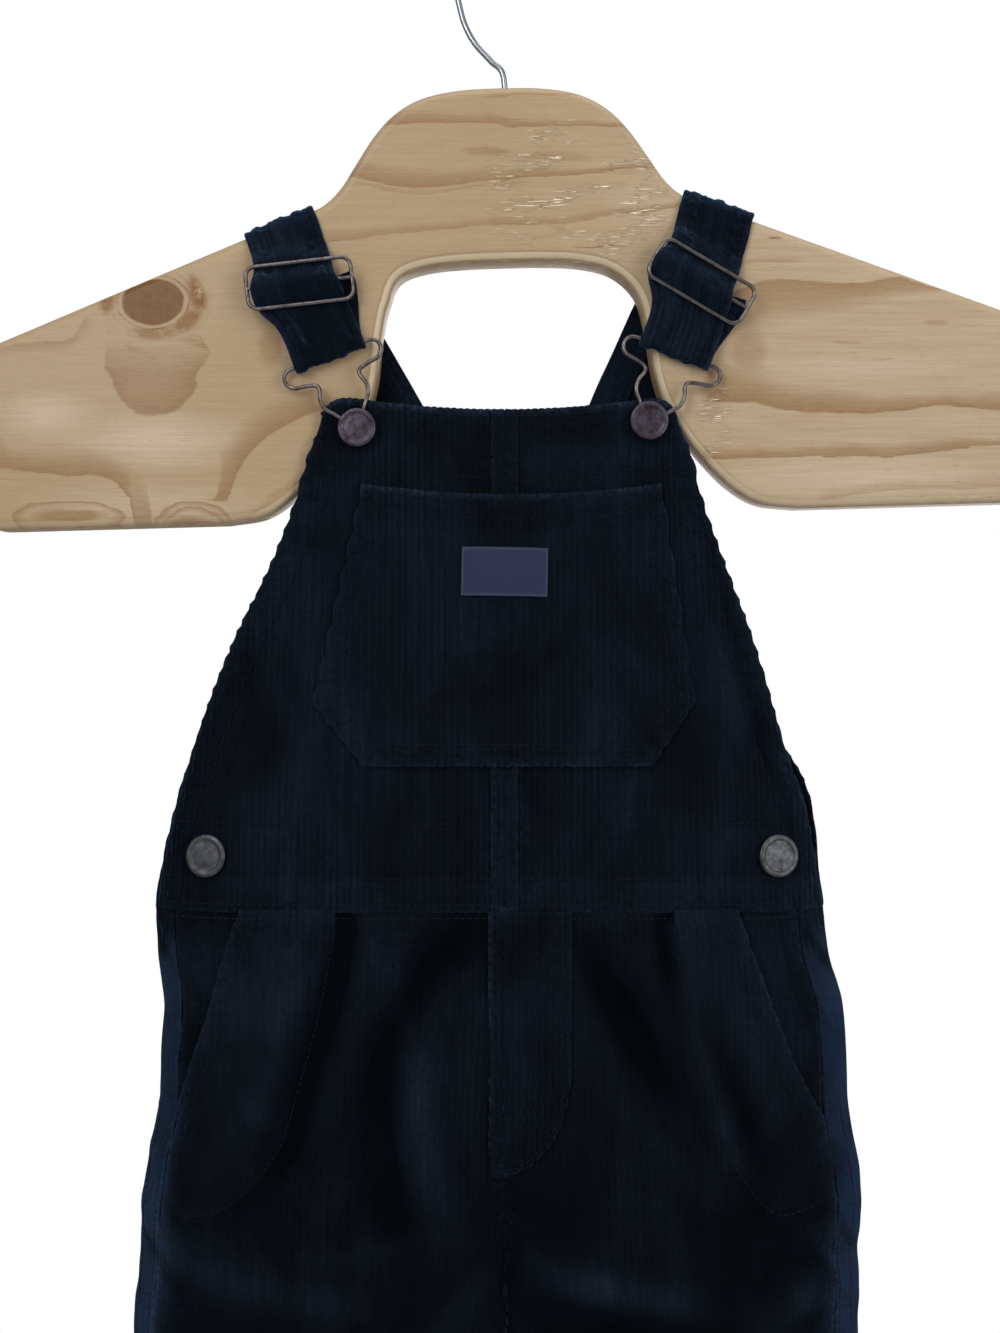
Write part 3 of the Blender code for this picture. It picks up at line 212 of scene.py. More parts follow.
# Folds along curves of three points, each with half a width and a height, which is negative in a valley
Fold = namedtuple("Fold", "x0 z0 x1 z1 x2 z2 half height")
FRONT_FOLDS = tuple(Fold(*row) for row in (
    (-67.2, -411, -77, -455, -95, -502, 9, -2.6), (-13.9, -411, -66, -458, -42.8, -533, 10, -2.8),
    (-84, -430, -92, -480, -118, -514, 8, 1.8), (-38, -440, -44, -490, -24, -530, 12, 1.8),
    (28.6, -414, 52, -454, 70, -484, 9, -2.4), (81.5, -452, 98, -484, 104, -512, 8, -2.2),
    (66, -440, 86, -476, 92, -520, 8, 1.6), (-8, -560, -22, -576, -40, -596, 6, 2.2),
    (13.9, -551, 44, -563, 76, -566, 7, 2.4), (16, -574, 50, -582, 96, -590, 9, -2.4),
    (103, -580, 116, -563, 138, -562, 7, 2.4), (-140, -546, -110, -562, -60, -568, 8, 1.8),
    (-122, -640, -80, -652, -44, -640, 10, -2.2), (-60, -700, -90, -716, -132, -708, 9, 1.8),
    (40, -652, 84, -640, 124, -650, 10, -2), (124, -716, 92, -726, 56, -712, 9, 1.8),
    (-100, -770, -84, -796, -88, -826, 10, 1.4), (86, -766, 96, -794, 92, -826, 10, 1.4),
))
BACK_FOLDS = tuple(Fold(*row) for row in (
    (-24, -560, -60, -545, -110, -520, 9, 2.4), (26, -560, 64, -542, 112, -524, 9, 2.4),
    (-30, -590, -70, -578, -124, -566, 9, -2.2), (32, -588, 74, -580, 126, -562, 9, -2.2),
    (-70, -420, -62, -460, -76, -500, 10, -2), (72, -418, 60, -464, 70, -508, 10, -2),
    (-120, -668, -84, -680, -44, -664, 10, -2), (44, -670, 90, -684, 122, -672, 10, -2),
))
# Smaller creases that only the dressed cloth has
FRONT_CREASES = tuple(Fold(*row) for row in (
    (-141, -470, -132, -500, -138, -534, 4, -0.9), (-118, -500, -128, -524, -120, -560, 5, 0.8),
    (-60, -520, -72, -548, -58, -590, 6, -0.8), (-30, -536, -60, -552, -92, -548, 5, 0.9),
    (44, -500, 58, -530, 52, -556, 6, 0.8), (112, -528, 126, -540, 142, -536, 4, 0.9),
    (108, -546, 124, -552, 144, -548, 3.5, -0.8), (-150, -590, -128, -600, -100, -596, 5, -0.9),
    (-36, -606, -66, -622, -98, -618, 6, 0.9), (34, -612, 70, -622, 110, -614, 6, 0.9),
    (-140, -680, -112, -690, -90, -684, 5, 0.8), (60, -684, 92, -676, 130, -690, 5, -0.8),
    (-40, -742, -72, -756, -110, -748, 7, 0.8), (52, -752, 88, -762, 126, -748, 7, 0.8),
    (-120, -790, -118, -806, -122, -828, 6, -0.7), (50, -786, 54, -806, 50, -828, 6, -0.7),
))
BIB_CREASES = tuple(Fold(*row) for row in (
    (79, -226, 98, -296, 112, -356, 3.2, -1.1), (72, -232, 90, -300, 103, -352, 4, 0.5),
    (-70, -300, -92, -352, -84, -400, 8, 0.7), (-40, -352, -50, -376, -44, -402, 6, -0.6),
    (40, -352, 34, -376, 44, -402, 7, -0.6), (-30, -206, -36, -214, -30, -224, 8, -0.5),
    (40, -204, 44, -214, 38, -226, 8, 0.4), (-110, -340, -104, -368, -112, -398, 5, 0.6),
    (92, -352, 84, -376, 92, -400, 6, 0.5),
))
BACK_CREASES = tuple(Fold(*row) for row in (
    (-40, -250, -30, -300, -46, -352, 8, 0.8), (38, -252, 48, -300, 34, -356, 8, -0.7),
    (-84, -330, -70, -366, -84, -400, 7, -0.7), (84, -332, 92, -366, 80, -400, 7, 0.7),
    (-40, -610, -80, -624, -118, -612, 7, 0.9), (46, -612, 88, -626, 122, -610, 7, 0.9),
    (-50, -720, -88, -734, -124, -722, 8, 0.9), (52, -724, 90, -734, 126, -720, 8, 0.9),
    (-110, -440, -100, -470, -112, -500, 7, 0.8), (108, -446, 100, -470, 112, -502, 7, 0.8),
))
PocketRow = namedtuple("PocketRow", "z left right")
BIB_POCKET = tuple(PocketRow(*row) for row in (
    (-229.6, -58.4, 65.9), (-320, -78.5, 79.4), (-346, -58.4, 61.7),
))
FLY_EDGE = (
    (28.6, -406.2), (28.6, -430), (28.4, -452), (27.2, -476), (24.4, -490), (18.4, -501.5),
    (9.4, -510.6), (-1.5, -515),
)
Strap = namedtuple("Strap", "side across lift bar button back_end slider slider_turn")
STRAPS = (
    Strap("left", -94.3, 0.7, (-72.2, -175.6), (-60.5, -206.2), (-21.7, -246.0), (-84.2, -146.6), 6.5),
    Strap("right", 90.4, 1.6, (71.6, -174.4), (60.5, -203.3), (29.7, -246.0), (82.1, -146.0), -30.5),
)
SIDE_BUTTONS = (("left", -122.6, -383.5), ("right", 113.8, -383.5))
# Half of a wire buckle, across and down from the middle of its bar
BUCKLE = (
    (0, 0), (9, 0), (17.6, 0), (20.6, 1.6), (21.2, 4.8), (18.8, 7.8), (13.4, 8.9), (9.6, 10.2),
    (9, 12.6), (10.2, 16.4), (9.6, 20.6), (6.6, 24.4), (4.2, 28), (3.9, 32), (3, 35.2), (0, 36.6),
)
BOARD_TOP = (
    (0, -62), (14, -62.3), (27, -64), (37, -67.2), (46, -73), (54, -81.6), (62, -93.4), (68.5, -103),
    (76, -109.6), (86, -113.6), (140, -134.6),
)
BOARD_UNDER = (
    (120, -242), (104, -239.6), (92, -232.4), (81, -221), (71.6, -208.6), (64.8, -196), (61, -183),
    (58.6, -165.4), (54.6, -150.2), (45, -140.6), (32, -136.6), (16, -135.3), (0, -135.1),
)

# Lines of the hip pockets' bags, which press through the front
BAG_LINES = {
    "left": (
        (-69, -412), (-75.6, -447), (-84.4, -480), (-93.2, -505), (-113.8, -527), (-132.8, -532),
    ),
    "right": (
        (70, -412), (76, -450), (84, -482), (94, -508), (110.5, -528.6), (128.5, -527),
    ),
}
# The figure of the board's face. Bands of late wood: strength, then rows of a place across, the band's
# sharp edge and its soft one. Patches, rings, pale zones, the tongue and the knot: a middle, half a width
# and height, and for some a strength.
PINE_BANDS = (
    (0.6, (
     (-211.3, -171.5, -176.2), (-202.4, -169.5, -175.5), (-184.7, -169.1, -174.1),
     (-179.4, -166.7, -172.2), (-175.9, -159.8, -168.7))),
    (0.85, (
     (-211.3, -222.1, -205.8), (-206, -223, -213), (-193.6, -224.8, -214.7), (-182.1, -225.7, -214.3),
     (-173.3, -225, -213.3), (-166.2, -226.1, -215.7), (-161.8, -228.1, -217.8),
     (-157.3, -231.4, -219.9), (-155, -235.4, -220.8), (-154.2, -252.6, -221.1),
     (-150.3, -252.6, -222.6), (-148.1, -252.6, -227), (-147.2, -252.6, -252.4))),
    (0.85, (
     (-120.2, -235.8, -235), (-118.6, -235.8, -218.2), (-116.2, -235.8, -210.6),
     (-114.5, -235.8, -208.5), (-113.1, -229.6, -206.8), (-110.5, -222.4, -203.6),
     (-107, -218.2, -200.9), (-102.5, -212, -197.4), (-95.5, -206.7, -193.7), (-87.5, -202.2, -191),
     (-75.1, -197.8, -188.5))),
    (0.4, (
     (-107, -244.7, -241.1), (-94.6, -234.9, -230.5), (-85.7, -227.9, -223.5), (-78.7, -223.5, -219))),
    (0.8, (
     (-48.6, -77.9, -70.4), (-18.7, -78.4, -73.3), (-5.2, -77.3, -72.3), (2.6, -79.6, -74.7),
     (12.2, -80, -76.2), (52.7, -78.8, -76.7))),
    (0.85, (
     (-64.9, -99.8, -92.5), (-53.4, -102.7, -94.7), (-43.7, -104.1, -95.9), (-29.3, -104.3, -96.9),
     (-14.8, -103.2, -96.9), (-0.3, -101.2, -96.9), (33.4, -99.1, -96.4), (64.3, -96.4, -94.5))),
    (0.45, (
     (-59.2, -104.1, -102.7), (-43.7, -107, -104.9), (-29.3, -107, -105.1), (-12.9, -105.6, -103.5),
     (4.5, -102.7, -101.2))),
    (0.65, (
     (-72.7, -127.5, -122.4), (-43.7, -123.6, -119.5), (-10, -120.7, -117), (23.8, -119.4, -115.9),
     (43.1, -116.9, -113.8), (72, -114, -110.9))),
    (0.6, (
     (-5.2, -68, -65.7), (4.5, -67.1, -65.2), (14.1, -66.5, -64.8), (29.6, -65.9, -64.6))),
    (0.8, (
     (93.5, -150.4, -168.6), (103.5, -145.6, -165.3), (114.2, -143.3, -162.8), (136.7, -143.9, -159.2),
     (153.3, -144.1, -154.9), (166.6, -142.1, -151.8), (180.7, -146.4, -148.7))),
    (0.9, (
     (86.8, -193.7, -175.3), (105.9, -194.8, -181.1), (115.9, -197.7, -184.4), (128.4, -198.8, -186.9),
     (153.3, -198.8, -190.7), (174, -197.7, -191.1), (186.5, -196.5, -190.6), (208.7, -197.3, -189.2))),
    (0.85, (
     (83.5, -217.8, -212.7), (111.8, -218.6, -213.2), (132.5, -216.9, -212), (146.6, -216.5, -211.1),
     (163.2, -217.6, -211.7), (186.5, -214, -209.2), (208.7, -212.3, -208.7))),
    (0.35, (
     (136.7, -235.1, -230.5), (161.6, -231.8, -227.2), (208.7, -229.4, -224.7))),
    (0.45, (
     (98.5, -137.3, -133.4), (107.6, -136.7, -133.4), (121.7, -137.3, -134.2))),
)
# The third and fourth patches, beside the straps, are painted shade of the straps on the board
PINE_PATCHES = (
    (-181.2, -242, 17.2, 3.2, 0.75), (-131.3, -245.9, 12.4, 4.2, 0.9), (-97.2, -171.3, 6.2, 9.7, 0.55),
    (102.6, -173.6, 9.1, 11.2, 0.4), (-7.1, -89.2, 11.6, 2.4, 0.5), (23.8, -91.6, 16, 3, 0.35),
    (180.7, -161.6, 5.8, 1.3, 0.4), (144.1, -169.5, 9.1, 0.9, 0.35), (159.5, -176.9, 6.2, 0.9, 0.3),
    (113.8, -126.5, 3.7, 0.6, 0.95), (41.1, -129.7, 14, 0.5, 0.9), (0, -76.2, 10, 0.5, 0.8),
)
PINE_RINGS = ((-129.5, -246.6, 18.1, 10.8), (-129.5, -246.6, 14.6, 8.2), (-181.2, -243.0, 24.0, 8.4))
# The pale zones are partly paler wood and partly a painted sheen of the varnish and painted light on the
# right arm
PINE_PALE = (
    (-142, -211, 46, 15, 0.8), (-150, -237, 60, 12, 0.5), (-190, -200, 24, 12, 0.6),
    (150, -226, 66, 12, 0.7), (150, -180, 50, 7, 0.6), (60, -112, 20, 12, 0.3),
)
PINE_TONGUE = (-145.4, -175.7, 21.2, 24.3)
PINE_KNOT = (-146.3, -152.3, 13.7, 10.2)
# Where bark clings round the knot: a middle, half a width and height, and how thick
KNOT_BARK = (
    (-125, -148, 9, 12, 1), (-131, -161, 10, 7, 0.8), (-146, -165.5, 12, 4, 0.6),
    (-167, -153, 6, 6, 0.8),
)
# The box that the figure is placed in: its left edge and width, its bottom and height
FIGURE_LEFT, FIGURE_WIDE = -240.0, 480.0
FIGURE_LOW, FIGURE_HIGH = -260.0, 200.0
# Heights between which the tongue under the knot comes in, and places across where the rim's painted
# highlight and shade line do
TONGUE_FADES = (-168.0, -182.0)
RIM_FADES = (112.0, 76.0)
# Zones of raised grain where the varnish gets painted glints, each with a painted shade beside it: a middle,
# half a width and height
ROUGH_ZONES = ((36.0, -103.0, 46.0, 38.0), (-10.0, -88.0, 13.0, 3.0), (88.5, -202.7, 9.0, 20.0))
# Wale places within one wale, from groove to groove
WALE_STEPS = (0.0, 0.13, 0.3, 0.5, 0.7, 0.87)
# Angles at which an edge is rolled over, how far it is turned in, and how far from it the rub reaches
ROLL = (45, 90, 135, 180)
TURN_IN = 11.0
RUB_REACH = 1.1
# A stitch covers this share of its place along the seam
STITCH_SHARE = 0.8
# Sides of a wire's ring of points
FITTING_SIDES = 14
HOOK_SIDES = 24
# The point, in metres, that the lamps are turned to
AIM = (-0.001, 0.0, -0.33)
# Rows of points down each panel
BIB_ROWS = 92
POCKET_ROWS = 52
BACK_ROWS = 76
LEG_ROWS_ABOVE = 84
LEG_ROWS_BELOW = 72

SIDES = ("left", "right")
# Seams on the bib pocket: the pencil slot and the curved tack at its top
PENCIL_SLOT = ((-23.0, -250.0), (-23.1, -292.4), (-23.4, -318.0), (-24.0, -342.0))
POCKET_TACK_CURVE = ((54.6, -231.5), (53.0, -238.0), (47.0, -242.0), (40.7, -244.4))


def step(start, end, value):
    """A smooth rise from 0 at start to 1 at end."""
    t = np.clip((np.asarray(value, float) - start) / (end - start), 0.0, 1.0)
    return t * t * (3 - 2 * t)


def bell(value, middle, width):
    """1 at the middle, falling off to both sides."""
    return np.exp(-(((value - middle) / width) ** 2))


def run_along(points):
    """Length along a line of points, up to each of them."""
    return np.concatenate([[0], np.cumsum(np.linalg.norm(np.diff(points, axis=0), axis=-1))])


def rows_at(table, z):
    """A table's columns at the given heights, on smooth curves through its rows, which run downwards."""
    rows = np.array(table, float)
    heights = rows[:, 0]
    slopes = np.gradient(rows, heights, axis=0)
    z = np.asarray(z, float)
    i = np.clip(np.searchsorted(-heights, -z) - 1, 0, len(rows) - 2)
    span = (heights[i + 1] - heights[i])[..., None]
    t = np.clip((z - heights[i])[..., None] / span, 0.0, 1.0)
    start = rows[i] * (2 * t**3 - 3 * t**2 + 1) + slopes[i] * span * (t**3 - 2 * t**2 + t)
    end = rows[i + 1] * (3 * t**2 - 2 * t**3) + slopes[i + 1] * span * (t**3 - t**2)
    return type(table[0])(*np.moveaxis(start + end, -1, 0))


def curve_through(points, count, closed=False):
    """Points at even steps of length on a smooth curve through the given ones."""
    given = np.array(points, float)
    if closed:
        whole = np.vstack([given[-1:], given, given[:2]])
    else:
        whole = np.vstack([2 * given[:1] - given[1:2], given, 2 * given[-1:] - given[-2:-1]])
    dense = []
    for before, start, end, after in zip(whole, whole[1:], whole[2:], whole[3:]):
        t = (np.arange(24) / 24)[:, None]
        bend = 2 * start + (end - before) * t + (2 * before - 5 * start + 4 * end - after) * t**2
        dense.append(0.5 * (bend + (3 * start - before - 3 * end + after) * t**3))
    dense = np.vstack(dense + [given[:1] if closed else given[-1:]])
    run = run_along(dense)
    wanted = np.linspace(0, run[-1], count + closed)[:count]
    return np.stack([np.interp(wanted, run, dense[:, k]) for k in range(given.shape[1])], axis=1)


def line_distance(points, x, z):
    """Distance from places to a broken line, and how far along it the nearest point is, from 0 to 1."""
    nearest = np.full(np.shape(x), 1e9)
    along = np.zeros(np.shape(x))
    count = len(points) - 1
    for i in range(count):
        ax, az = points[i]
        dx, dz = points[i + 1][0] - ax, points[i + 1][1] - az
        t = np.clip(((x - ax) * dx + (z - az) * dz) / (dx * dx + dz * dz), 0, 1)
        away = np.hypot(x - ax - t * dx, z - az - t * dz)
        along = np.where(away < nearest, (i + t) / count, along)
        nearest = np.minimum(nearest, away)
    return nearest, along


def folded(folds, x, z):
    """How far the folds move the cloth out at each place."""
    lift = np.zeros(np.shape(x))
    for fold in folds:
        line = []
        for t in np.linspace(0, 1, 13):
            px = (1 - t) ** 2 * fold.x0 + 2 * t * (1 - t) * fold.x1 + t * t * fold.x2
            pz = (1 - t) ** 2 * fold.z0 + 2 * t * (1 - t) * fold.z1 + t * t * fold.z2
            line.append((px, pz))
        away, along = line_distance(line, x, z)
        taper = np.sin(np.pi * (0.08 + 0.84 * along)) ** 0.7
        lift += fold.height * taper * bell(away, 0, fold.half)
    return lift


def side_fall(distance, reach, roundness):
    """1 at a panel's edge, 0 from reach on: a quarter of an ellipse when round, else a parabola."""
    r = np.clip(1 - distance / reach, 0, 1)
    return roundness * (1 - np.sqrt(1 - r * r)) + (1 - roundness) * r * r


def torso_depth(row, x):
    """Depth of the bib or the back piece, which is level in the middle and falls to its edges."""
    falls = side_fall(x - row.left, SIDE_REACH, row.round)
    falls = falls + side_fall(row.right - x, SIDE_REACH, row.round)
    return row.middle + (row.edge - row.middle) * falls


def leg_edges(side, row):
    return (row.left, row.left_in) if side == "left" else (row.right, row.right_in)


def leg_depth(side, facing, x, z):
    """Depth of a leg panel, which turns back at the side and, below the rise, at the inseam too."""
    row = rows_at(LEGS, z)
    outer, inner = leg_edges(side, row)
    turned = step(*LEG_TURN, z)
    outer_fall = side_fall(abs(x - outer), SIDE_REACH, 1.0)
    r = np.clip(1 - abs(inner - x) / INSEAM_REACH, 0, 1)
    inner_fall = turned * (1 - np.sqrt(1 - r * r)) + (1 - turned) * r**3
    full = row.front if facing == "front" else row.back
    share = np.minimum(abs(x - outer) / abs(inner - outer), 1.0)
    return full * (1 - outer_fall - step(*RISE_TURN, z) * inner_fall) + np.copysign(SEAM / 2, full) * share


def spread(a, turned):
    """Share of a panel's width at a, which is 0 at the side and 1 at the middle or the inseam."""
    return (1 - turned) * (1 - np.cos(np.pi / 2 * a)) + turned * (1 - np.cos(np.pi * a)) / 2


def spread_inverse(share, turned):
    share = np.clip(np.asarray(share, float), 0.0, 1.0)
    low = np.zeros(np.shape(share))
    high = np.ones(np.shape(share))
    for _ in range(30):
        a = (low + high) / 2
        below = spread(a, turned) < share
        low = np.where(below, a, low)
        high = np.where(below, high, a)
    return (low + high) / 2


def place(surface, outward, a, z):
    """Points of a surface and the normals there; outward is 1 or -1 and turns the normals outwards."""
    here = surface(a, z)
    da = np.where(a < 0.5, 0.002, -0.002)
    along = (surface(a + da, z) - here) / da[..., None]
    down = surface(a, z - 0.5) - surface(a, z + 0.5)
    normal = np.cross(along, down)
    normal /= np.linalg.norm(normal, axis=-1, keepdims=True)
    return here, normal * outward


def outwards(side, facing):
    return -1.0 if (side == "left") == (facing == "front") else 1.0


def bib_top(x):
    """Top edge of the bib, which sags a little in the middle and rounds off at the corners."""
    sag = BIB_SAG * np.clip(1 - (x / BIB_SAG_HALF) ** 2, 0, None)
    level_half = np.where(x < 0, BIB_LEVEL_LEFT, BIB_LEVEL_RIGHT)
    past = np.clip(abs(x) - level_half, 0.0, BIB_CORNER_RADIUS)
    return BIB_TOP - sag - (BIB_CORNER_RADIUS - np.sqrt(BIB_CORNER_RADIUS**2 - past**2))


def torso_surface(table, left, gap=0.0):
    """Points of the bib's or the back piece's surface by share across and height, for places left or
    right of the middle."""

    def surface(a, z):
        row = rows_at(table, z)
        edge = np.where(left, row.left, row.right)
        across = edge + (CENTRE - edge) * spread(a, 0.0)
        return np.stack([across, torso_depth(row, across) + gap, z + 0 * across], axis=-1)

    return surface


def torso_at(table, facing, x, z, gap=0.0):
    """Points and normals of the bib or the back piece at places across and up."""
    x, z = np.broadcast_arrays(np.asarray(x, float), np.asarray(z, float))
    left = x < CENTRE
    row = rows_at(table, z)
    edge = np.where(left, row.left, row.right)
    share = (x - edge) / (CENTRE - edge)
    a = spread_inverse(share, 0.0)
    points, normals = place(torso_surface(table, left, gap), 1.0, a, z)
    facing_sign = -1.0 if facing == "front" else 1.0
    flip = np.sign(normals[..., 1] * facing_sign)
    return points, normals * np.where(flip == 0, 1, flip)[..., None]


def bib_at(x, z, out=0.0):
    """The bib's surface with its creases, moved out."""
    points, normals = torso_at(BIB_FRONT, "front", x, z)
    lift = folded(BIB_CREASES, points[..., 0], points[..., 2]) + out
    return moved(points, normals, lift), normals


def leg_surface(side, facing):
    def surface(a, z):
        row = rows_at(LEGS, z)
        outer, inner = leg_edges(side, row)
        across = outer + (inner - outer) * spread(a, step(*LEG_TURN, z))
        return np.stack([across, leg_depth(side, facing, across, z), z + 0 * across], axis=-1)

    return surface


def leg_by_share(side, facing, a, z, out=0.0):
    """A leg's panel at shares across it, with its folds and creases."""
    a, z = np.broadcast_arrays(np.asarray(a, float), np.asarray(z, float))
    points, normals = place(leg_surface(side, facing), outwards(side, facing), a, z)
    large = FRONT_FOLDS if facing == "front" else BACK_FOLDS
    small = FRONT_CREASES if facing == "front" else BACK_CREASES
    outer, inner = leg_edges(side, rows_at(LEGS, z))
    x = points[..., 0]
    calm = step(0, FOLD_MARGIN, abs(x - outer)) * step(0, FOLD_MARGIN, abs(x - inner))
    lift = calm * (FOLD_DEPTH * folded(large, x, z) + folded(small, x, z)) + out
    closing = CROTCH_CLOSES * np.exp(-abs(x - inner) / CROTCH_REACH) * step(*CROTCH_TURN, z)
    closing = closing if side == "left" else -closing
    points = moved(points, normals, lift)
    return points + closing[..., None] * np.array((1.0, 0.0, 0.0)), normals


def leg_share(side, x, z):
    """Where x lies on a leg's panel, from 0 at the side to 1 at the middle or the inseam."""
    outer, inner = leg_edges(side, rows_at(LEGS, z))
    return spread_inverse((x - outer) / (inner - outer), step(*LEG_TURN, z))


def leg_at(side, facing, x, z, out=0.0):
    return leg_by_share(side, facing, leg_share(side, x, z), z, out)


def side_seam(side, z):
    row = rows_at(LEGS, z)
    return row.left + row.left_seam if side == "left" else row.right - row.right_seam


def panel_edge(side, z):
    """Outer edge of a front leg panel: the pocket's mouth, and below it the side seam."""
    seam = side_seam(side, z)
    mouth = rows_at(POCKET_MOUTH, np.maximum(z, POCKET_MOUTH[-1].z))
    edge = np.maximum(mouth.left, seam) if side == "left" else np.minimum(mouth.right, seam)
    return np.where(z < POCKET_MOUTH[-1].z, seam, edge)


def pocket_lift(x):
    """How far the pocket stands off the bib, which is more over the felled seam."""
    flat = FELL_HALF + 1.5
    return SNUG + (FELL_THICK + SNUG) * (1 - step(flat, flat + FELL_SLOPE, abs(x - CENTRE)))


def pocket_edges(v):
    """Left and right edge of the bib pocket from its top (0) to its bottom (1)."""
    top, corner, bottom = BIB_POCKET
    turn = (corner.z - top.z) / (bottom.z - top.z)
    t = np.clip(v / turn, 0, 1)
    s = np.clip((v - turn) / (1 - turn), 0, 1)
    left = top.left + (corner.left - top.left) * t + (bottom.left - corner.left) * s
    right = top.right + (corner.right - top.right) * t + (bottom.right - corner.right) * s
    return left, right


def pocket_at(share, v, out=0.0):
    """The bib pocket's outer face by share across and share down."""
    left, right = pocket_edges(v)
    x = left + (right - left) * share
    sag = POCKET_SAG * (1 - (2 * share - 1) ** 2) * (1 - v)
    z = BIB_POCKET[0].z + (BIB_POCKET[-1].z - BIB_POCKET[0].z) * v - sag
    return bib_at(x, z, pocket_lift(x) + OVERLAY + out)


def unit(vectors):
    return vectors / np.maximum(np.linalg.norm(vectors, axis=-1, keepdims=True), 1e-12)


Wales = namedtuple("Wales", "pitch depth")


def wale_relief(grain, run, wales):
    """How far the pile stands at a place: 0 on a wale's crest and less in the groove, and uneven
    along each wale as washed cloth is."""
    number = np.floor(grain / wales.pitch)
    along = abs((grain / wales.pitch) % 1.0 - 0.5) * 2
    uneven = sum(np.sin(run / size + number * turn) for size, turn in ((3.1, 2.4), (7.3, 4.1), (19.0, 0.9)))
    pressed = np.sin(run / 31.0 + grain / 23.0) + 0.4 * np.sin(run / 13.0 - grain / 9.0)
    crushed = 1 - 0.35 * np.clip(pressed, 0, 1)
    return -wales.depth * (crushed * along**2.4 + 0.09 * (uneven + 1) * (1 - along**2))


def wale_sway(grain, run):
    """How far the wales wander sideways from the straight grain."""
    return 0.28 * np.sin(run / 17.0 + 1.3 * np.sin(grain / 31.0)) + 0.12 * np.sin(run / 5.7 + grain / 11.0)


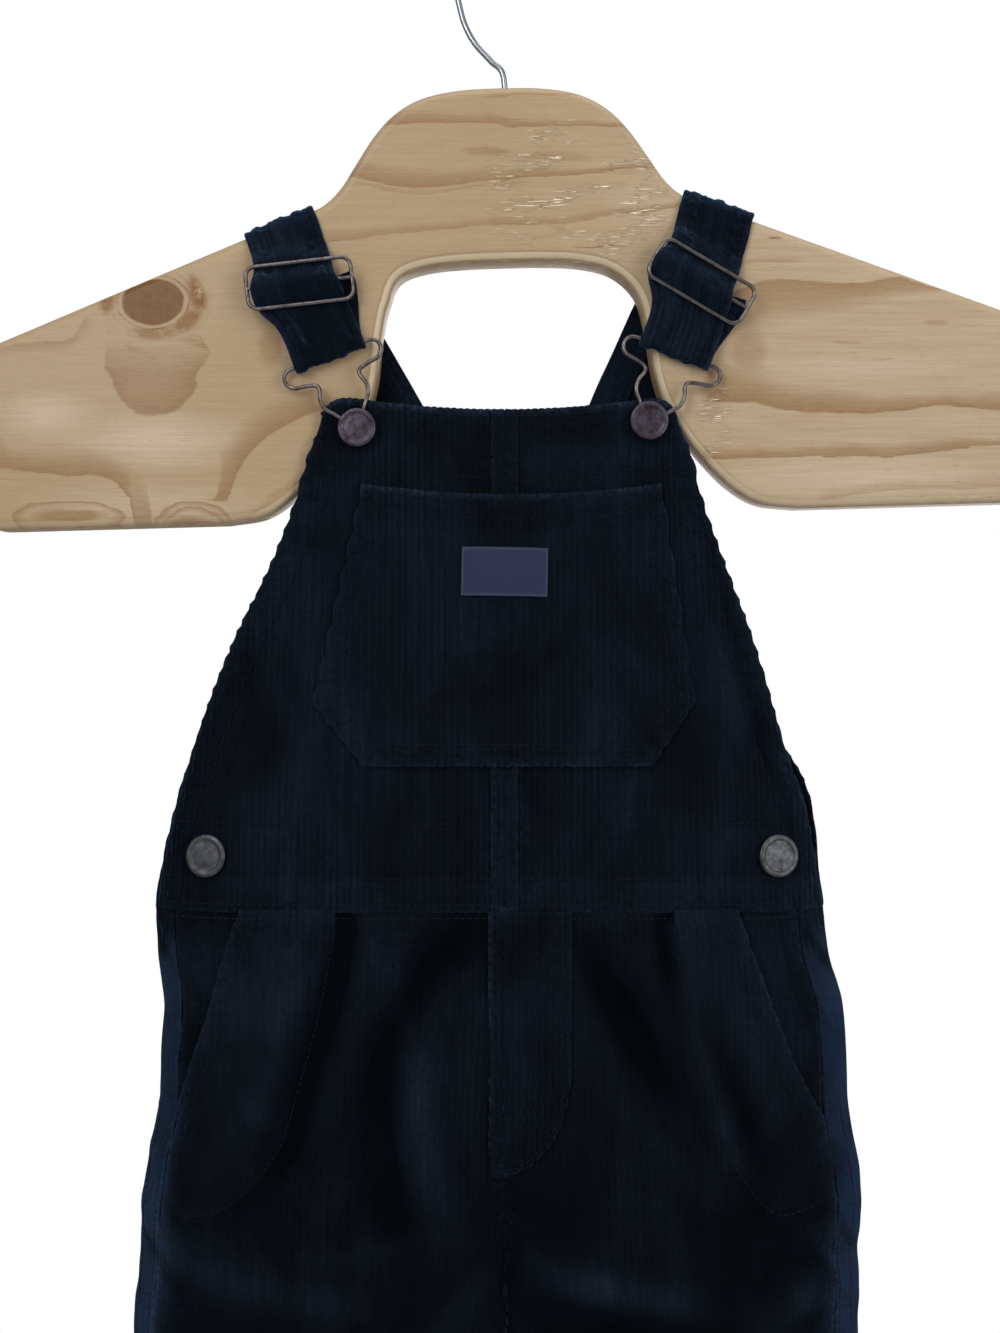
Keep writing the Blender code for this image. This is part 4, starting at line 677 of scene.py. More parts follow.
class ClothSheet:
    """A piece of cloth as a grid whose columns follow the wales and whose rows follow the cut. Its
    edges are rolled, and their hems are turned in."""

    def __init__(self, points, normals, across, datum, wales, thickness=CLOTH, turn_in=TURN_IN, lift=None,
                 rubbed=(1.0, 1.0, 1.0, 1.0)):
        """across is where each point lies from side to side, datum is, for each row, where the line
        lies that the wales run along, lift is the painted light and shade at each point, lighter where
        the folds stand out and darker in their valleys, and rubbed is how pale its edges are: the top,
        the bottom, the first side and the last."""
        self.rubbed = rubbed
        self.lift = np.zeros(across.shape) if lift is None else lift
        self.points, self.normals = points, unit(normals)
        self.wales, self.thick, self.turn_in = wales, thickness, turn_in
        self.fuzz = min(wales.depth / 0.4, 1.0)
        steps = np.linalg.norm(np.diff(points, axis=1), axis=-1)
        run = np.concatenate([np.zeros((len(points), 1)), np.cumsum(steps, axis=1)], axis=1)
        at_datum = [np.interp(datum[i], across[i], run[i]) for i in range(len(points))]
        self.grain = run - np.array(at_datum)[:, None]
        self.run = run_along(points[:, points.shape[1] // 2])

    def cut(self):
        """The piece laid flat: its width and length in metres, and its area in square metres."""
        widths = self.grain[:, -1] - self.grain[:, 0]
        area = float(np.sum((widths[1:] + widths[:-1]) / 2 * np.diff(self.run)))
        width, length = float(widths.max()), float(self.run[-1])
        return width * METRES, length * METRES, area * METRES**2

    def at(self, grain, values):
        """Values of the dense grid at places across the grain, row by row."""
        found = np.empty(grain.shape + (3,))
        for i in range(len(grain)):
            for axis in range(3):
                found[i, :, axis] = np.interp(grain[i], self.grain[i], values[i, :, axis])
        return found

    def side_roll(self, centres, normals, heights, grain, sign):
        """Columns that roll one side's edge over and turn it in, from the outer face to the hem."""
        j = 0 if sign < 0 else -1
        radius = self.thick / 2
        toward = np.gradient(self.points, axis=1)[:, j] * sign
        normal = normals[:, j]
        toward = unit(toward - normal * np.sum(toward * normal, axis=-1, keepdims=True))
        columns = []
        for angle in ROLL:
            w = math.radians(angle)
            bent = normal * math.cos(w) + toward * math.sin(w)
            bead = 0.45 * math.sin(w) * np.cos(2 * np.pi * (grain[:, j] / self.wales.pitch - 0.5)) * self.fuzz
            columns.append((centres[:, j], bent, heights[:, j] + bead, grain[:, j] + sign * radius * w))
        inset = grain[:, j : j + 1 if j == 0 else None] - sign * self.turn_in
        under = self.at(inset, self.points)[:, 0] - self.at(inset, self.normals)[:, 0] * (2 * radius + 0.05)
        columns.append((under, -normal, 0 * heights[:, j], grain[:, j] + sign * (radius * 3 + self.turn_in)))
        if sign < 0:
            columns.reverse()
        return [np.stack(part, axis=1) for part in zip(*columns)]

    def end_roll(self, centres, directions, normals, heights, grain, sign):
        """Rows that roll the top (-1) or the bottom (1) over and turn it in."""
        i, k = (0, 1) if sign < 0 else (-1, -2)
        radius = self.thick / 2
        run = self.run[i]
        toward = centres[i] - centres[k]
        toward = unit(toward - normals[i] * np.sum(toward * normals[i], axis=-1, keepdims=True))
        rows = []
        for angle in ROLL:
            w = math.radians(angle)
            main = directions[i] if angle < 90 else normals[i]
            bent = unit(main * math.cos(w) + toward * math.sin(w))
            row = centres[i] + bent * heights[i][:, None]
            rows.append((row, grain[i], np.full(len(row), run + sign * radius * w)))
        inner = int(np.argmin(abs(self.run - (run - sign * self.turn_in))))
        row = centres[inner] - normals[inner] * (radius + 0.05)
        rows.append((row, grain[i], np.full(len(row), run + sign * (radius * 3 + self.turn_in))))
        if sign < 0:
            rows.reverse()
        return [np.stack(part) for part in zip(*rows)]

    def mesh(self, name):
        radius = self.thick / 2
        pitch = self.wales.pitch
        first = math.floor(self.grain[:, 0].min() / pitch)
        last = math.ceil(self.grain[:, -1].max() / pitch)
        wanted = np.array([(k + part) * pitch for k in range(first, last + 1) for part in WALE_STEPS])
        low, high = self.grain[:, :1] + radius, self.grain[:, -1:] - radius
        down = self.run[:, None]
        swayed = wanted[None, :] + wale_sway(wanted[None, :], down) * (self.wales.depth > 0)
        grain = np.clip(swayed, low, high)
        before = np.clip((swayed <= low).sum(axis=1) - 1, 0, None)
        beyond = np.clip((swayed < high).sum(axis=1), None, len(wanted) - 1)
        normals = unit(self.at(grain, self.normals))
        centres = self.at(grain, self.points) - normals * radius
        straight = np.broadcast_to(wanted[None, :], grain.shape) + (grain - swayed)
        heights = radius + wale_relief(straight, down, self.wales)
        blocks = [
            self.side_roll(centres, normals, heights, grain, -1),
            [centres, normals, heights, grain],
            self.side_roll(centres, normals, heights, grain, 1),
        ]
        lead = blocks[0][0].shape[1]
        rolled = [lead] * lead + list(range(len(wanted))) + [0] * lead
        joined = [np.concatenate([block[k] for block in blocks], axis=1) for k in range(4)]
        centres, directions, heights, grain = joined
        inner = np.clip(np.arange(centres.shape[1]) - lead, 0, len(wanted) - 1)
        normals = normals[:, inner]
        index = np.arange(len(rolled))[None, :].repeat(len(grain), axis=0)
        for i in range(len(grain)):
            index[i, lead : lead + before[i]] = lead + before[i]
            index[i, lead + beyond[i] : lead + len(wanted)] = lead + beyond[i]
        places = centres + directions * heights[..., None]
        run = np.broadcast_to(self.run[:, None], grain.shape)
        top = self.end_roll(centres, directions, normals, heights, grain, -1)
        bottom = self.end_roll(centres, directions, normals, heights, grain, 1)
        places, grain, run = (np.concatenate([top[k], (places, grain, run)[k], bottom[k]]) for k in range(3))
        above, below = (index[:1].repeat(len(top[0]), axis=0), index[-1:].repeat(len(bottom[0]), axis=0))
        index = np.concatenate([above, index, below])
        return self.woven(name, places, grain, run, index, len(top[0]) + len(self.points) // 2)

    def woven(self, name, places, grain, run, index, probe_row):
        """The mesh of the grid, with the maps that its material reads."""
        rows, columns = grain.shape
        index = index + np.arange(rows)[:, None] * columns
        around = (index[:-1, :-1], index[:-1, 1:], index[1:, 1:], index[1:, :-1])
        quads = np.stack(around, axis=-1).reshape(-1, 4)
        i, j = probe_row, columns // 2
        facing = np.cross(places[i, j + 1] - places[i, j], places[i + 1, j] - places[i, j])
        outward = self.normals[len(self.points) // 2, self.points.shape[1] // 2]
        if np.dot(facing, outward) < 0:
            quads = quads[:, ::-1]
        whole = quads[:, 0] != quads[:, 1]
        for a, b in ((1, 2), (2, 3), (3, 0)):
            whole &= quads[:, a] != quads[:, b]
        faces = quads[whole].tolist()
        for quad in quads[~whole].tolist():
            corners = list(dict.fromkeys(quad))
            if len(corners) == 3:
                faces.append(corners)
        used = np.unique([corner for face in faces for corner in face])
        renumber = np.full(rows * columns, -1)
        renumber[used] = np.arange(len(used))
        renumber = renumber.tolist()
        faces = [[renumber[corner] for corner in face] for face in faces]
        mesh = mesh_of_parts(name, places.reshape(-1, 3)[used], faces)
        corners = np.empty(len(mesh.loops), np.int32)
        mesh.loops.foreach_get("vertex_index", corners)
        left = np.interp(run, self.run, self.grain[:, 0])
        right = np.interp(run, self.run, self.grain[:, -1])
        sides = np.minimum(grain - left, right - grain)
        ends = np.minimum(run, self.run[-1] - run)
        inside = np.maximum(np.minimum(sides, ends), 0)
        along = np.where(sides < ends, run, grain)
        wale_map = np.stack([grain / self.wales.pitch, run / self.wales.pitch], axis=-1).reshape(-1, 2)[used]
        seam_map = np.stack([along, inside], axis=-1).reshape(-1, 2)[used] * 0.01
        for title, values in (("wales", wale_map), ("seams", seam_map)):
            layer = mesh.uv_layers.new(name=title)
            layer.uv.foreach_set("vector", values[corners].astype(np.float32).ravel())
        edges = (run, self.run[-1] - run, grain - left, right - grain)
        rubs = [share * np.exp(-abs(away) / RUB_REACH) for share, away in zip(self.rubbed, edges)]
        rub = np.max(rubs, axis=0)
        level = np.clip(np.searchsorted(self.run, run[:, 0]), 0, len(self.run) - 1)
        lift = np.stack([np.interp(grain[n], self.grain[m], self.lift[m]) for n, m in enumerate(level)])
        # lift carries the painted light and shade of the folds into the material; worn is the rub along the
        # edges
        for title, values in (("lift", lift), ("worn", rub)):
            layer = mesh.attributes.new(title, "FLOAT", "POINT")
            layer.data.foreach_set("value", values.ravel()[used].astype(np.float32))
        return mesh


def mesh_of_parts(name, points, faces):
    mesh = bpy.data.meshes.new(name)
    mesh.from_pydata((np.asarray(points) * METRES).tolist(), [], faces)
    mesh.shade_smooth()
    return mesh


def add_piece(name, mesh, material, slot, *nodes):
    """Puts a mesh in the scene as a piece that stands for CAD nodes."""
    mesh.materials.append(material)
    piece = bpy.data.objects.new(name, mesh)
    bpy.context.scene.collection.objects.link(piece)
    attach(piece, "root")
    if nodes:
        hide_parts(*nodes)
    return piece


def add_cloth(name, sheet, material, *nodes, rests_on=(), slot="corduroy", layers=1):
    """Adds a piece of cloth; its layers argument is not used."""
    piece = add_piece(name, sheet.mesh(name), material, slot, *nodes)
    width, length, area = sheet.cut()
    return piece


def stitch_mesh(name, runs, cloth):
    """Sewn thread as small raised lengths along runs of (points, normals)."""
    radius = cloth.thread_width / METRES / 2
    pitch = cloth.stitch_length / METRES
    sides = 4
    template = []
    for t, thick, lift in ((0.0, 0.3, -0.6), (0.25, 1.0, 0.25), (0.75, 1.0, 0.25), (1.0, 0.3, -0.6)):
        for k in range(sides):
            w = 2 * math.pi * (k + 0.5) / sides
            template.append((t, thick * math.cos(w), thick * math.sin(w) + lift))
    template = np.array(template)
    cells = []
    for row in range(3):
        for k in range(sides):
            m = (k + 1) % sides
            cells.append((row * sides + k, row * sides + m, (row + 1) * sides + m, (row + 1) * sides + k))
    points, faces = [], []
    for line, normals in runs:
        length = run_along(line)
        count = max(1, int(length[-1] / pitch))
        starts = (np.arange(count) + 0.5 * (length[-1] / pitch - count)) * pitch
        head, tail, out = (
            np.stack([np.interp(where, length, grid[:, k]) for k in range(3)], axis=1)
            for where, grid in ((starts, line), (starts + pitch * STITCH_SHARE, line), (starts, normals))
        )
        out = unit(out)
        side = unit(np.cross(out, tail - head))
        for i in range(count):
            base = len(points) * len(template)
            along = head[i] + (tail[i] - head[i]) * template[:, :1]
            points.append(along + (side[i] * template[:, 1:2] + out[i] * template[:, 2:3]) * radius)
            faces += [[base + corner for corner in cell] for cell in cells]
    return mesh_of_parts(name, np.vstack(points), faces)


def wire_mesh(name, path, radius, sides, closed=False):
    """A round wire along a path; an open one has rounded ends."""
    path = np.asarray(path, float)
    radii = np.full(len(path), float(radius))
    if not closed:
        lead, trail = unit(path[0] - path[1]), unit(path[-1] - path[-2])
        turns = [math.radians(w) for w in (25, 50, 70, 85)]
        head = [path[0] + lead * radius * math.sin(w) for w in turns[::-1]]
        tail = [path[-1] + trail * radius * math.sin(w) for w in turns]
        caps = [radius * math.cos(w) for w in turns]
        path = np.vstack([head, path, tail])
        radii = np.concatenate([caps[::-1], radii, caps])
    if closed:
        tangents = unit(np.roll(path, -1, axis=0) - np.roll(path, 1, axis=0))
    else:
        tangents = unit(np.gradient(path, axis=0))
    normal = unit(np.cross(tangents[0], (0.1, 1, 0.2)))
    angles = 2 * np.pi * np.arange(sides) / sides
    rings = []
    for i, point in enumerate(path):
        normal = unit(normal - tangents[i] * normal.dot(tangents[i]))
        across = np.cross(tangents[i], normal)
        ring = np.outer(np.cos(angles), normal) + np.outer(np.sin(angles), across)
        rings.append(point + ring * radii[i])
    faces = []
    last = len(rings) - 1
    pairs = [(i, i + 1) for i in range(last)] + ([(last, 0)] if closed else [])
    for a, b in pairs:
        shift = int(np.argmin(np.linalg.norm(rings[0] - rings[-1][0], axis=1))) if b == 0 else 0
        for k in range(sides):
            m = (k + 1) % sides
            far, near = b * sides + (m + shift) % sides, b * sides + (k + shift) % sides
            faces.append([a * sides + k, a * sides + m, far, near])
    if not closed:
        faces.append(list(range(sides))[::-1])
        faces.append([last * sides + k for k in range(sides)])
    return mesh_of_parts(name, np.vstack(rings), faces)


class Finish:
    """A node-based material, with short ways to add its nodes."""

    def __init__(self, name):
        self.material = bpy.data.materials.new(name)
        self.material.use_nodes = True
        self.tree = self.material.node_tree
        self.shader = self.tree.nodes["Principled BSDF"]

    def node(self, kind, inputs=(), **settings):
        made = self.tree.nodes.new("ShaderNode" + kind)
        for key, value in settings.items():
            setattr(made, key, value)
        for key, value in dict(inputs).items():
            self.put(value, made.inputs[key])
        return made

    def put(self, value, socket):
        if isinstance(value, bpy.types.NodeSocket):
            self.tree.links.new(value, socket)
        else:
            socket.default_value = value

    def sum(self, operation, *values, clamp=False):
        inputs = dict(enumerate(values))
        return self.node("Math", inputs, operation=operation, use_clamp=clamp).outputs[0]

    def times(self, *values, clamp=False):
        return self.sum("MULTIPLY", *values, clamp=clamp)

    def most(self, *values):
        return self.sum("MAXIMUM", *values)

    def between(self, value, start, end, low=0.0, high=1.0):
        """Runs from low to high while the value runs from start to end."""
        ends = {"Value": value, "From Min": start, "From Max": end, "To Min": low, "To Max": high}
        return self.node("MapRange", ends).outputs[0]

    def vectors(self, operation, first, second):
        return self.node("VectorMath", {0: first, 1: second}, operation=operation).outputs[0]

    def scaled(self, vector, factor):
        return self.node("VectorMath", {0: vector, "Scale": factor}, operation="SCALE").outputs[0]

    def axes(self, vector):
        return self.node("SeparateXYZ", {"Vector": vector}).outputs

    def read(self, name):
        """A mesh attribute's number."""
        return self.node("Attribute", attribute_name=name).outputs["Fac"]

    def map(self, name):
        """Two numbers of a UV map."""
        first, second, _ = self.axes(self.node("UVMap", uv_map=name).outputs[0])
        return first, second

    def place(self):
        """The place on the piece, in millimetres."""
        return self.stretched(self.node("TexCoord").outputs["Object"], *[1 / METRES] * 3)

    def joined(self, x, y, z=0.0):
        return self.node("CombineXYZ", {"X": x, "Y": y, "Z": z}).outputs[0]

    def stretched(self, vector, x, y, z):
        return self.vectors("MULTIPLY", vector, (x, y, z))

    def noise(self, vector, scale, detail=2.0, rough=0.5, distortion=0.0):
        inputs = {"Vector": vector, "Scale": scale, "Detail": detail, "Roughness": rough}
        return self.node("TexNoise", {**inputs, "Distortion": distortion}).outputs["Fac"]

    def ramp(self, value, *stops):
        """Numbers or colours along a value, from pairs of place and colour."""
        made = self.node("ValToRGB", {"Fac": value})
        band = made.color_ramp
        while len(band.elements) < len(stops):
            band.elements.new(0.5)
        for element, (place_at, colour) in zip(band.elements, stops):
            element.position = place_at
            grey = isinstance(colour, (int, float))
            element.color = (colour, colour, colour, 1) if grey else (*tuple(colour)[:3], 1)
        return made.outputs["Color"]

    def fade(self, value, start, end, low=0.0, high=1.0):
        """A grey that is low up to start and high from end on."""
        return self.ramp(value, (start, low), (end, high))

    def mix(self, share, first, second):
        made = self.node("Mix", data_type="RGBA")
        for socket, value in ((made.inputs[0], share), (made.inputs[6], first), (made.inputs[7], second)):
            if not isinstance(value, (bpy.types.NodeSocket, int, float)):
                value = (*tuple(value)[:3], 1)
            self.put(value, socket)
        return made.outputs[2]

    def bump(self, height, distance, strength=1.0, under=None):
        inputs = {"Height": height, "Distance": distance * METRES, "Strength": strength}
        if under is not None:
            inputs["Normal"] = under
        return self.node("Bump", inputs).outputs[0]

    def set(self, **values):
        for key, value in values.items():
            name = key.replace("_", " ").title().replace("Specular Level", "Specular IOR Level")
            if isinstance(value, (tuple, list)) and len(value) == 3:
                value = (*value, 1)
            self.put(value, self.shader.inputs[name])


def corduroy(look, ribbed=1.0, bloom=1.0):
    """Cut pile in rounded wales: streaked where it lies over, with painted shade between the wales, paler at
    worn edges, and painted light and shade that follow the folds.
    ribbed is how plainly the grooves show and bloom how strongly the pile shines edge on."""
    made = Finish("navy_corduroy")
    across, along = made.map("wales")
    spot = made.place()
    fibres = made.noise(made.joined(made.times(across, 7.0), made.times(along, 3.0)), 1.0, 3.0)
    tufts = made.noise(made.joined(across, made.times(along, 0.9)), 1.3)
    streaks = made.noise(made.joined(across, made.times(along, 0.07)), 1.05, 2.0, 0.6)
    patches = made.noise(made.stretched(spot, 1.0, 1.0, 0.6), 0.02, 3.0, 0.6, 0.8)
    blurred = made.noise(made.stretched(spot, 1.0, 1.0, 0.5), 0.035)
    wales_run = made.fade(streaks, 0.3, 0.7, 0.8 - 0.7 * ribbed, 1.0)
    lying = made.times(made.fade(patches, 0.34, 0.66, 0.05, 1.0), wales_run)
    lying = made.times(lying, made.fade(tufts, 0.25, 0.75, 0.5, 1.0))
    crest = made.mix(lying, look.pile, look.pile_stroked)
    # Painted shade in the grooves between the wales: the groove colour is mixed in there
    from_crest = made.sum("ABSOLUTE", made.sum("SUBTRACT", made.sum("FRACT", across), 0.5))
    groove = made.ramp(made.times(from_crest, 2.0), (0.35, 0.0), (0.95, 0.75 * ribbed))
    groove = made.times(groove, made.fade(blurred, 0.38, 0.6, 0.3, 1.0))
    body = made.mix(groove, crest, look.groove)
    body = made.mix(made.fade(fibres, 0.3, 0.62, 0.5, 0.0), body, look.groove)
    rub = made.times(made.read("worn"), made.fade(tufts, 0.35, 0.65, 0.05, 0.7))
    rub = made.times(rub, made.fade(blurred, 0.36, 0.6, 0.35, 1.0))
    body = made.mix(rub, body, look.worn)
    # The lift attribute scales the colour: painted shade in the folds' valleys and lower down, painted light
    # on their ridges
    lift = made.read("lift")
    body = made.scaled(body, made.between(lift, -3.0, 12.0, 0.25, 4.75))
    # Where the lift is highest the colour turns to the glint: a painted blue highlight
    raised = made.between(lift, 3.0, 15.0, 0.0, 0.8)
    body = made.mix(made.times(raised, made.fade(tufts, 0.3, 0.7, 0.5, 1.0)), body, look.glint)
    gather = made.noise(made.stretched(spot, 0.21, 0.3, 0.21), 1.0, 1.0)
    near_seam = made.ramp(made.map("seams")[1], (0.0, 0.5), (0.06, 1.0), (0.15, 0.0))
    pressed = made.bump(made.times(gather, near_seam), 3.2, 0.9)
    nap = made.bump(made.sum("ADD", made.times(fibres, 0.5), tufts), 0.5, 0.9, pressed)
    made.set(base_color=body, roughness=0.9, specular_level=0.03, normal=nap)
    made.set(sheen_weight=0.36 * bloom, sheen_roughness=0.42, sheen_tint=tuple(look.sheen))
    return made.material


def thread_finish(look):
    """Twisted sewing thread, a little glossier than the pile."""
    made = Finish("navy_thread")
    ply = made.noise(made.place(), 2.6)
    colour_of_ply = made.mix(made.fade(ply, 0.3, 0.7), look.thread, look.thread_light)
    made.set(base_color=colour_of_ply, roughness=0.75, specular_level=0.12, normal=made.bump(ply, 0.12, 0.8))
    return made.material


def label_cloth(look):
    """A tightly woven ribbon with a pale border and nothing written on it."""
    made = Finish("woven_label")
    across, along = made.map("wales")
    weft = made.node("TexWave", {"Vector": made.joined(across, along), "Scale": 5.2, "Distortion": 0.4})
    weft.bands_direction = "Y"
    fleck = made.noise(made.joined(made.times(across, 3.0), made.times(along, 12.0)), 1.6)
    field = made.mix(made.fade(fleck, 0.3, 0.7), look.label, look.label_fleck)
    border = made.ramp(made.map("seams")[1], (0.0, 0.4), (0.004, 1.0), (0.009, 0.0))
    body = made.mix(made.times(border, 0.5), field, look.label_edge)
    weave = made.bump(weft.outputs["Fac"], 0.12, 0.7)
    made.set(base_color=body, roughness=0.72, specular_level=0.3, normal=weave)
    return made.material


class Pine(Finish):
    """Varnished pine ply: figure and a knot on the face, layers on the rounded edge."""

    def __init__(self, look):
        super().__init__("varnished_pine")
        self.look = look
        self.spot = self.place()
        wander = self.node("TexNoise", {"Vector": self.grain(0.5, 0.0, 1.5), "Scale": 0.07, "Detail": 4.0})
        wander = self.vectors("SUBTRACT", wander.outputs["Color"], (0.5, 0.5, 0.5))
        self.wander = self.stretched(wander, 7.0, 0.0, 5.0)
        feather = self.noise(self.grain(0.1, 0.0, 1.0), 0.9, 3.0, 0.6)
        feather = self.joined(0.0, 0.0, self.times(self.sum("SUBTRACT", feather, 0.5), 2.4))
        bent = self.vectors("ADD", self.spot, self.wander)
        self.loose = self.vectors("ADD", bent, self.stretched(self.wander, 0.9, 0.0, 0.9))
        self.bent = self.vectors("ADD", bent, feather)
        self.side, _, self.height = self.axes(self.bent)
        self.across = self.sum("DIVIDE", self.sum("ADD", self.side, -FIGURE_LEFT), FIGURE_WIDE)
        wavy = self.vectors("ADD", self.spot, self.stretched(self.wander, 0.45, 0, 0.45))
        self.knot = self.away_from(PINE_KNOT, wavy)
        self.round_knot = self.times(self.knot, 0.4)
        self.parted = self.noise(self.grain(0.05, 0.2, 0.16), 1.0, 3.0, 0.6)
        self.fleck = self.noise(self.grain(0.16, 0.6, 1.4), 1.3)
        self.streak = self.noise(self.grain(0.03, 0.6, 0.6), 0.8, 3.0, 0.55)

    def grain(self, x, y, z):
        """The place, squeezed along the grain."""
        return self.stretched(self.spot, x, y, z)

    def away_from(self, place, vector):
        """1 on the rim of an ellipse on the board's face, less within it and more beyond."""
        x, z, wide, high = place[:4]
        flat = self.stretched(self.vectors("ADD", vector, (-x, 0, -z)), 1 / wide, 0.0, 1 / high)
        return self.node("VectorMath", {0: flat}, operation="LENGTH").outputs["Value"]

    def spots(self, places, size, start, end, vector):
        """The strongest of soft spots; each is given with its strength."""
        strongest = 0.0
        for place in places:
            away = self.times(self.away_from(place, vector), size)
            strength = place[4] if len(place) > 4 else 1.0
            strongest = self.most(strongest, self.fade(away, start, end, strength, 0.0))
        return strongest

    def level(self, rows, column):
        places = [(row[0] - FIGURE_LEFT) / FIGURE_WIDE for row in rows]
        stops = [(x, (row[column] - FIGURE_LOW) / FIGURE_HIGH) for x, row in zip(places, rows)]
        return self.sum("MULTIPLY_ADD", self.ramp(self.across, *stops), FIGURE_HIGH, FIGURE_LOW)

    def band(self, rows):
        """Late wood: it deepens towards a sharp edge."""
        ends = {"From Min": self.level(rows, 2), "From Max": self.level(rows, 1), "To Max": 0.8}
        share = self.node("MapRange", {"Value": self.height, **ends}, clamp=False).outputs[0]
        first, last = ((rows[n][0] - FIGURE_LEFT) / FIGURE_WIDE for n in (0, -1))
        reach = self.ramp(self.across, (first - 0.012, 0.0), (first, 1.0), (last, 1.0), (last + 0.012, 0.0))
        return self.times(self.ramp(share, (0.0, 0.0), (0.35, 0.6), (0.78, 1.0), (0.84, 0.0)), reach)

    def late_wood_and_strap_shade(self):
        """How brown each place is, with the painted shade beside the straps."""
        brown = 0.0
        for strength, rows in PINE_BANDS:
            brown = self.most(brown, self.times(self.band(rows), strength))
        # Patches of brown; those beside the straps are painted shade
        for patch in PINE_PATCHES:
            away = self.away_from(patch, self.bent)
            brown = self.most(brown, self.fade(away, 0.55, 1.0, patch[4], 0.0))
        for ring in PINE_RINGS:
            away = self.away_from(ring, self.loose)
            brown = self.most(brown, self.ramp(away, (0.72, 0.0), (0.93, 0.75), (0.98, 0.0)))
        tongue = self.times(self.away_from(PINE_TONGUE, self.loose), 0.8)
        tongue = self.ramp(tongue, (0.2, 0.6), (0.6, 0.75), (0.77, 0.95), (0.81, 0.0))
        shown = self.between(self.axes(self.loose)[2], *TONGUE_FADES)
        shown = self.most(shown, self.fade(self.parted, 0.46, 0.56, 0.0, 0.85))
        clear = self.fade(self.round_knot, 0.66, 0.8)
        brown = self.most(brown, self.times(self.times(tongue, shown), clear))
        return self.times(brown, self.fade(self.fleck, 0.3, 0.7, 0.85, 1.2), clamp=True)

    def early_wood_and_sheen(self):
        look = self.look
        early = self.mix(self.fade(self.streak, 0.35, 0.68), look.pale, look.straw)
        warm = self.ramp(self.across, (0.12, 0.95), (0.34, 0.75), (0.5, 0.85), (0.62, 0.4), (0.75, 0.0))
        early = self.mix(warm, early, look.warm)
        # The pale zones lighten the face: partly paler wood, partly a painted sheen
        for zone in PINE_PALE:
            bright = self.ramp(self.times(self.away_from(zone, self.bent), 0.6), (0.1, zone[4]), (0.6, 0.0))
            early = self.mix(bright, early, look.pale_wood_and_sheen)
        return self.mix(self.fade(self.fleck, 0.62, 0.76, 0.0, 0.55), early, look.late)

    def knotted(self, face):
        """The face with the knot's rings, its heart and the bark round it."""
        look, parted, near = self.look, self.parted, self.round_knot
        rings = self.sum("FRACT", self.times(self.knot, 4.3))
        rings = self.ramp(rings, (0.0, 0.0), (0.6, 0.5), (0.88, 1.0), (1.0, 0.1))
        rings = self.times(rings, self.fade(near, 0.38, 0.82, 0.9, 0.0))
        rings = self.times(rings, self.fade(parted, 0.38, 0.6, 0.1, 0.9))
        face = self.mix(rings, face, look.late)
        mottled = self.ramp(self.noise(self.spot, 0.5, 4.0, 0.6), (0.4, 0.0), (0.7, 0.25))
        heart = self.mix(mottled, look.knot, look.late)
        face = self.mix(self.fade(self.knot, 0.92, 1.0, 1.0, 0.0), face, heart)
        bark = self.ramp(near, (0.42, 0.0), (0.47, 1.0), (0.6, 1.0), (0.7, 0.0))
        patchy = self.ramp(self.noise(self.spot, 0.2, 5.0, 0.7), (0.34, 0.0), (0.46, 1.0))
        crust = self.spots(KNOT_BARK, 0.6, 0.3, 0.6, self.spot)
        crust = self.times(self.times(bark, patchy), crust)
        flaky = self.mix(self.fade(self.fleck, 0.5, 0.7, 0.0, 0.8), look.bark, look.knot)
        face = self.mix(crust, face, flaky)
        line = self.ramp(near, (0.43, 0.0), (0.455, 0.7), (0.47, 0.0))
        return self.mix(self.times(line, self.fade(parted, 0.38, 0.62, 0.1, 1.0)), face, look.knot)

    def edged(self, face):
        """The face, and the plies and glue lines on the rounded edge, with a painted highlight along its
        varnished rim and a painted shade line where the rim meets the face.
        """
        look, deep = self.look, self.axes(self.spot)[1]
        depth = self.sum("ABSOLUTE", deep)
        glue = self.between(self.sum("PINGPONG", self.sum("ADD", deep, 1.5), 1.5), 0.5, 0.1)
        ends = self.noise(self.grain(0.3, 1.2, 0.3), 0.6, 3.0)
        core = self.mix(self.fade(ends, 0.35, 0.65), look.straw, look.late)
        edge = self.mix(self.times(glue, 0.55), core, look.knot)
        body = self.mix(self.times(self.between(depth, 7.4, 6.2), 0.75), face, edge)
        # The rim's painted highlight and painted shade line show only where it faces down near the arch
        faced = self.axes(self.node("NewGeometry").outputs["Normal"])[2]
        by_arch = self.between(self.sum("ABSOLUTE", self.side), *RIM_FADES, 0.25)
        below = self.times(self.between(faced, 0.25, -0.1), by_arch)
        tenth = self.times(depth, 0.1)
        rim_highlight = self.ramp(tenth, (0.7, 0.0), (0.76, 0.4), (0.86, 0.4), (0.89, 0.0))
        body = self.mix(self.times(rim_highlight, below), body, look.painted_gloss)
        seam = self.ramp(tenth, (0.872, 0.0), (0.886, 0.35), (0.897, 0.0))
        return self.mix(self.times(seam, below), body, look.knot)

    def finished(self):
        look = self.look
        face = self.knotted(self.mix(self.late_wood_and_strap_shade(), self.early_wood_and_sheen(), look.late))
        fine = self.noise(self.grain(0.045, 0.5, 2.2), 1.0, 4.0, 0.65)
        body = self.edged(self.scaled(face, self.between(fine, 0.3, 0.7, 0.9, 1.08)))
        raised = self.noise(self.grain(0.1, 0.5, 1.5), 1.25, 3.0, 0.55)
        clusters = self.ramp(self.noise(self.grain(0.5, 0.5, 1.4), 0.1), (0.46, 0.0), (0.58, 1.0))
        here = self.times(clusters, self.spots(ROUGH_ZONES, 0.7, 0.35, 0.75, self.bent))
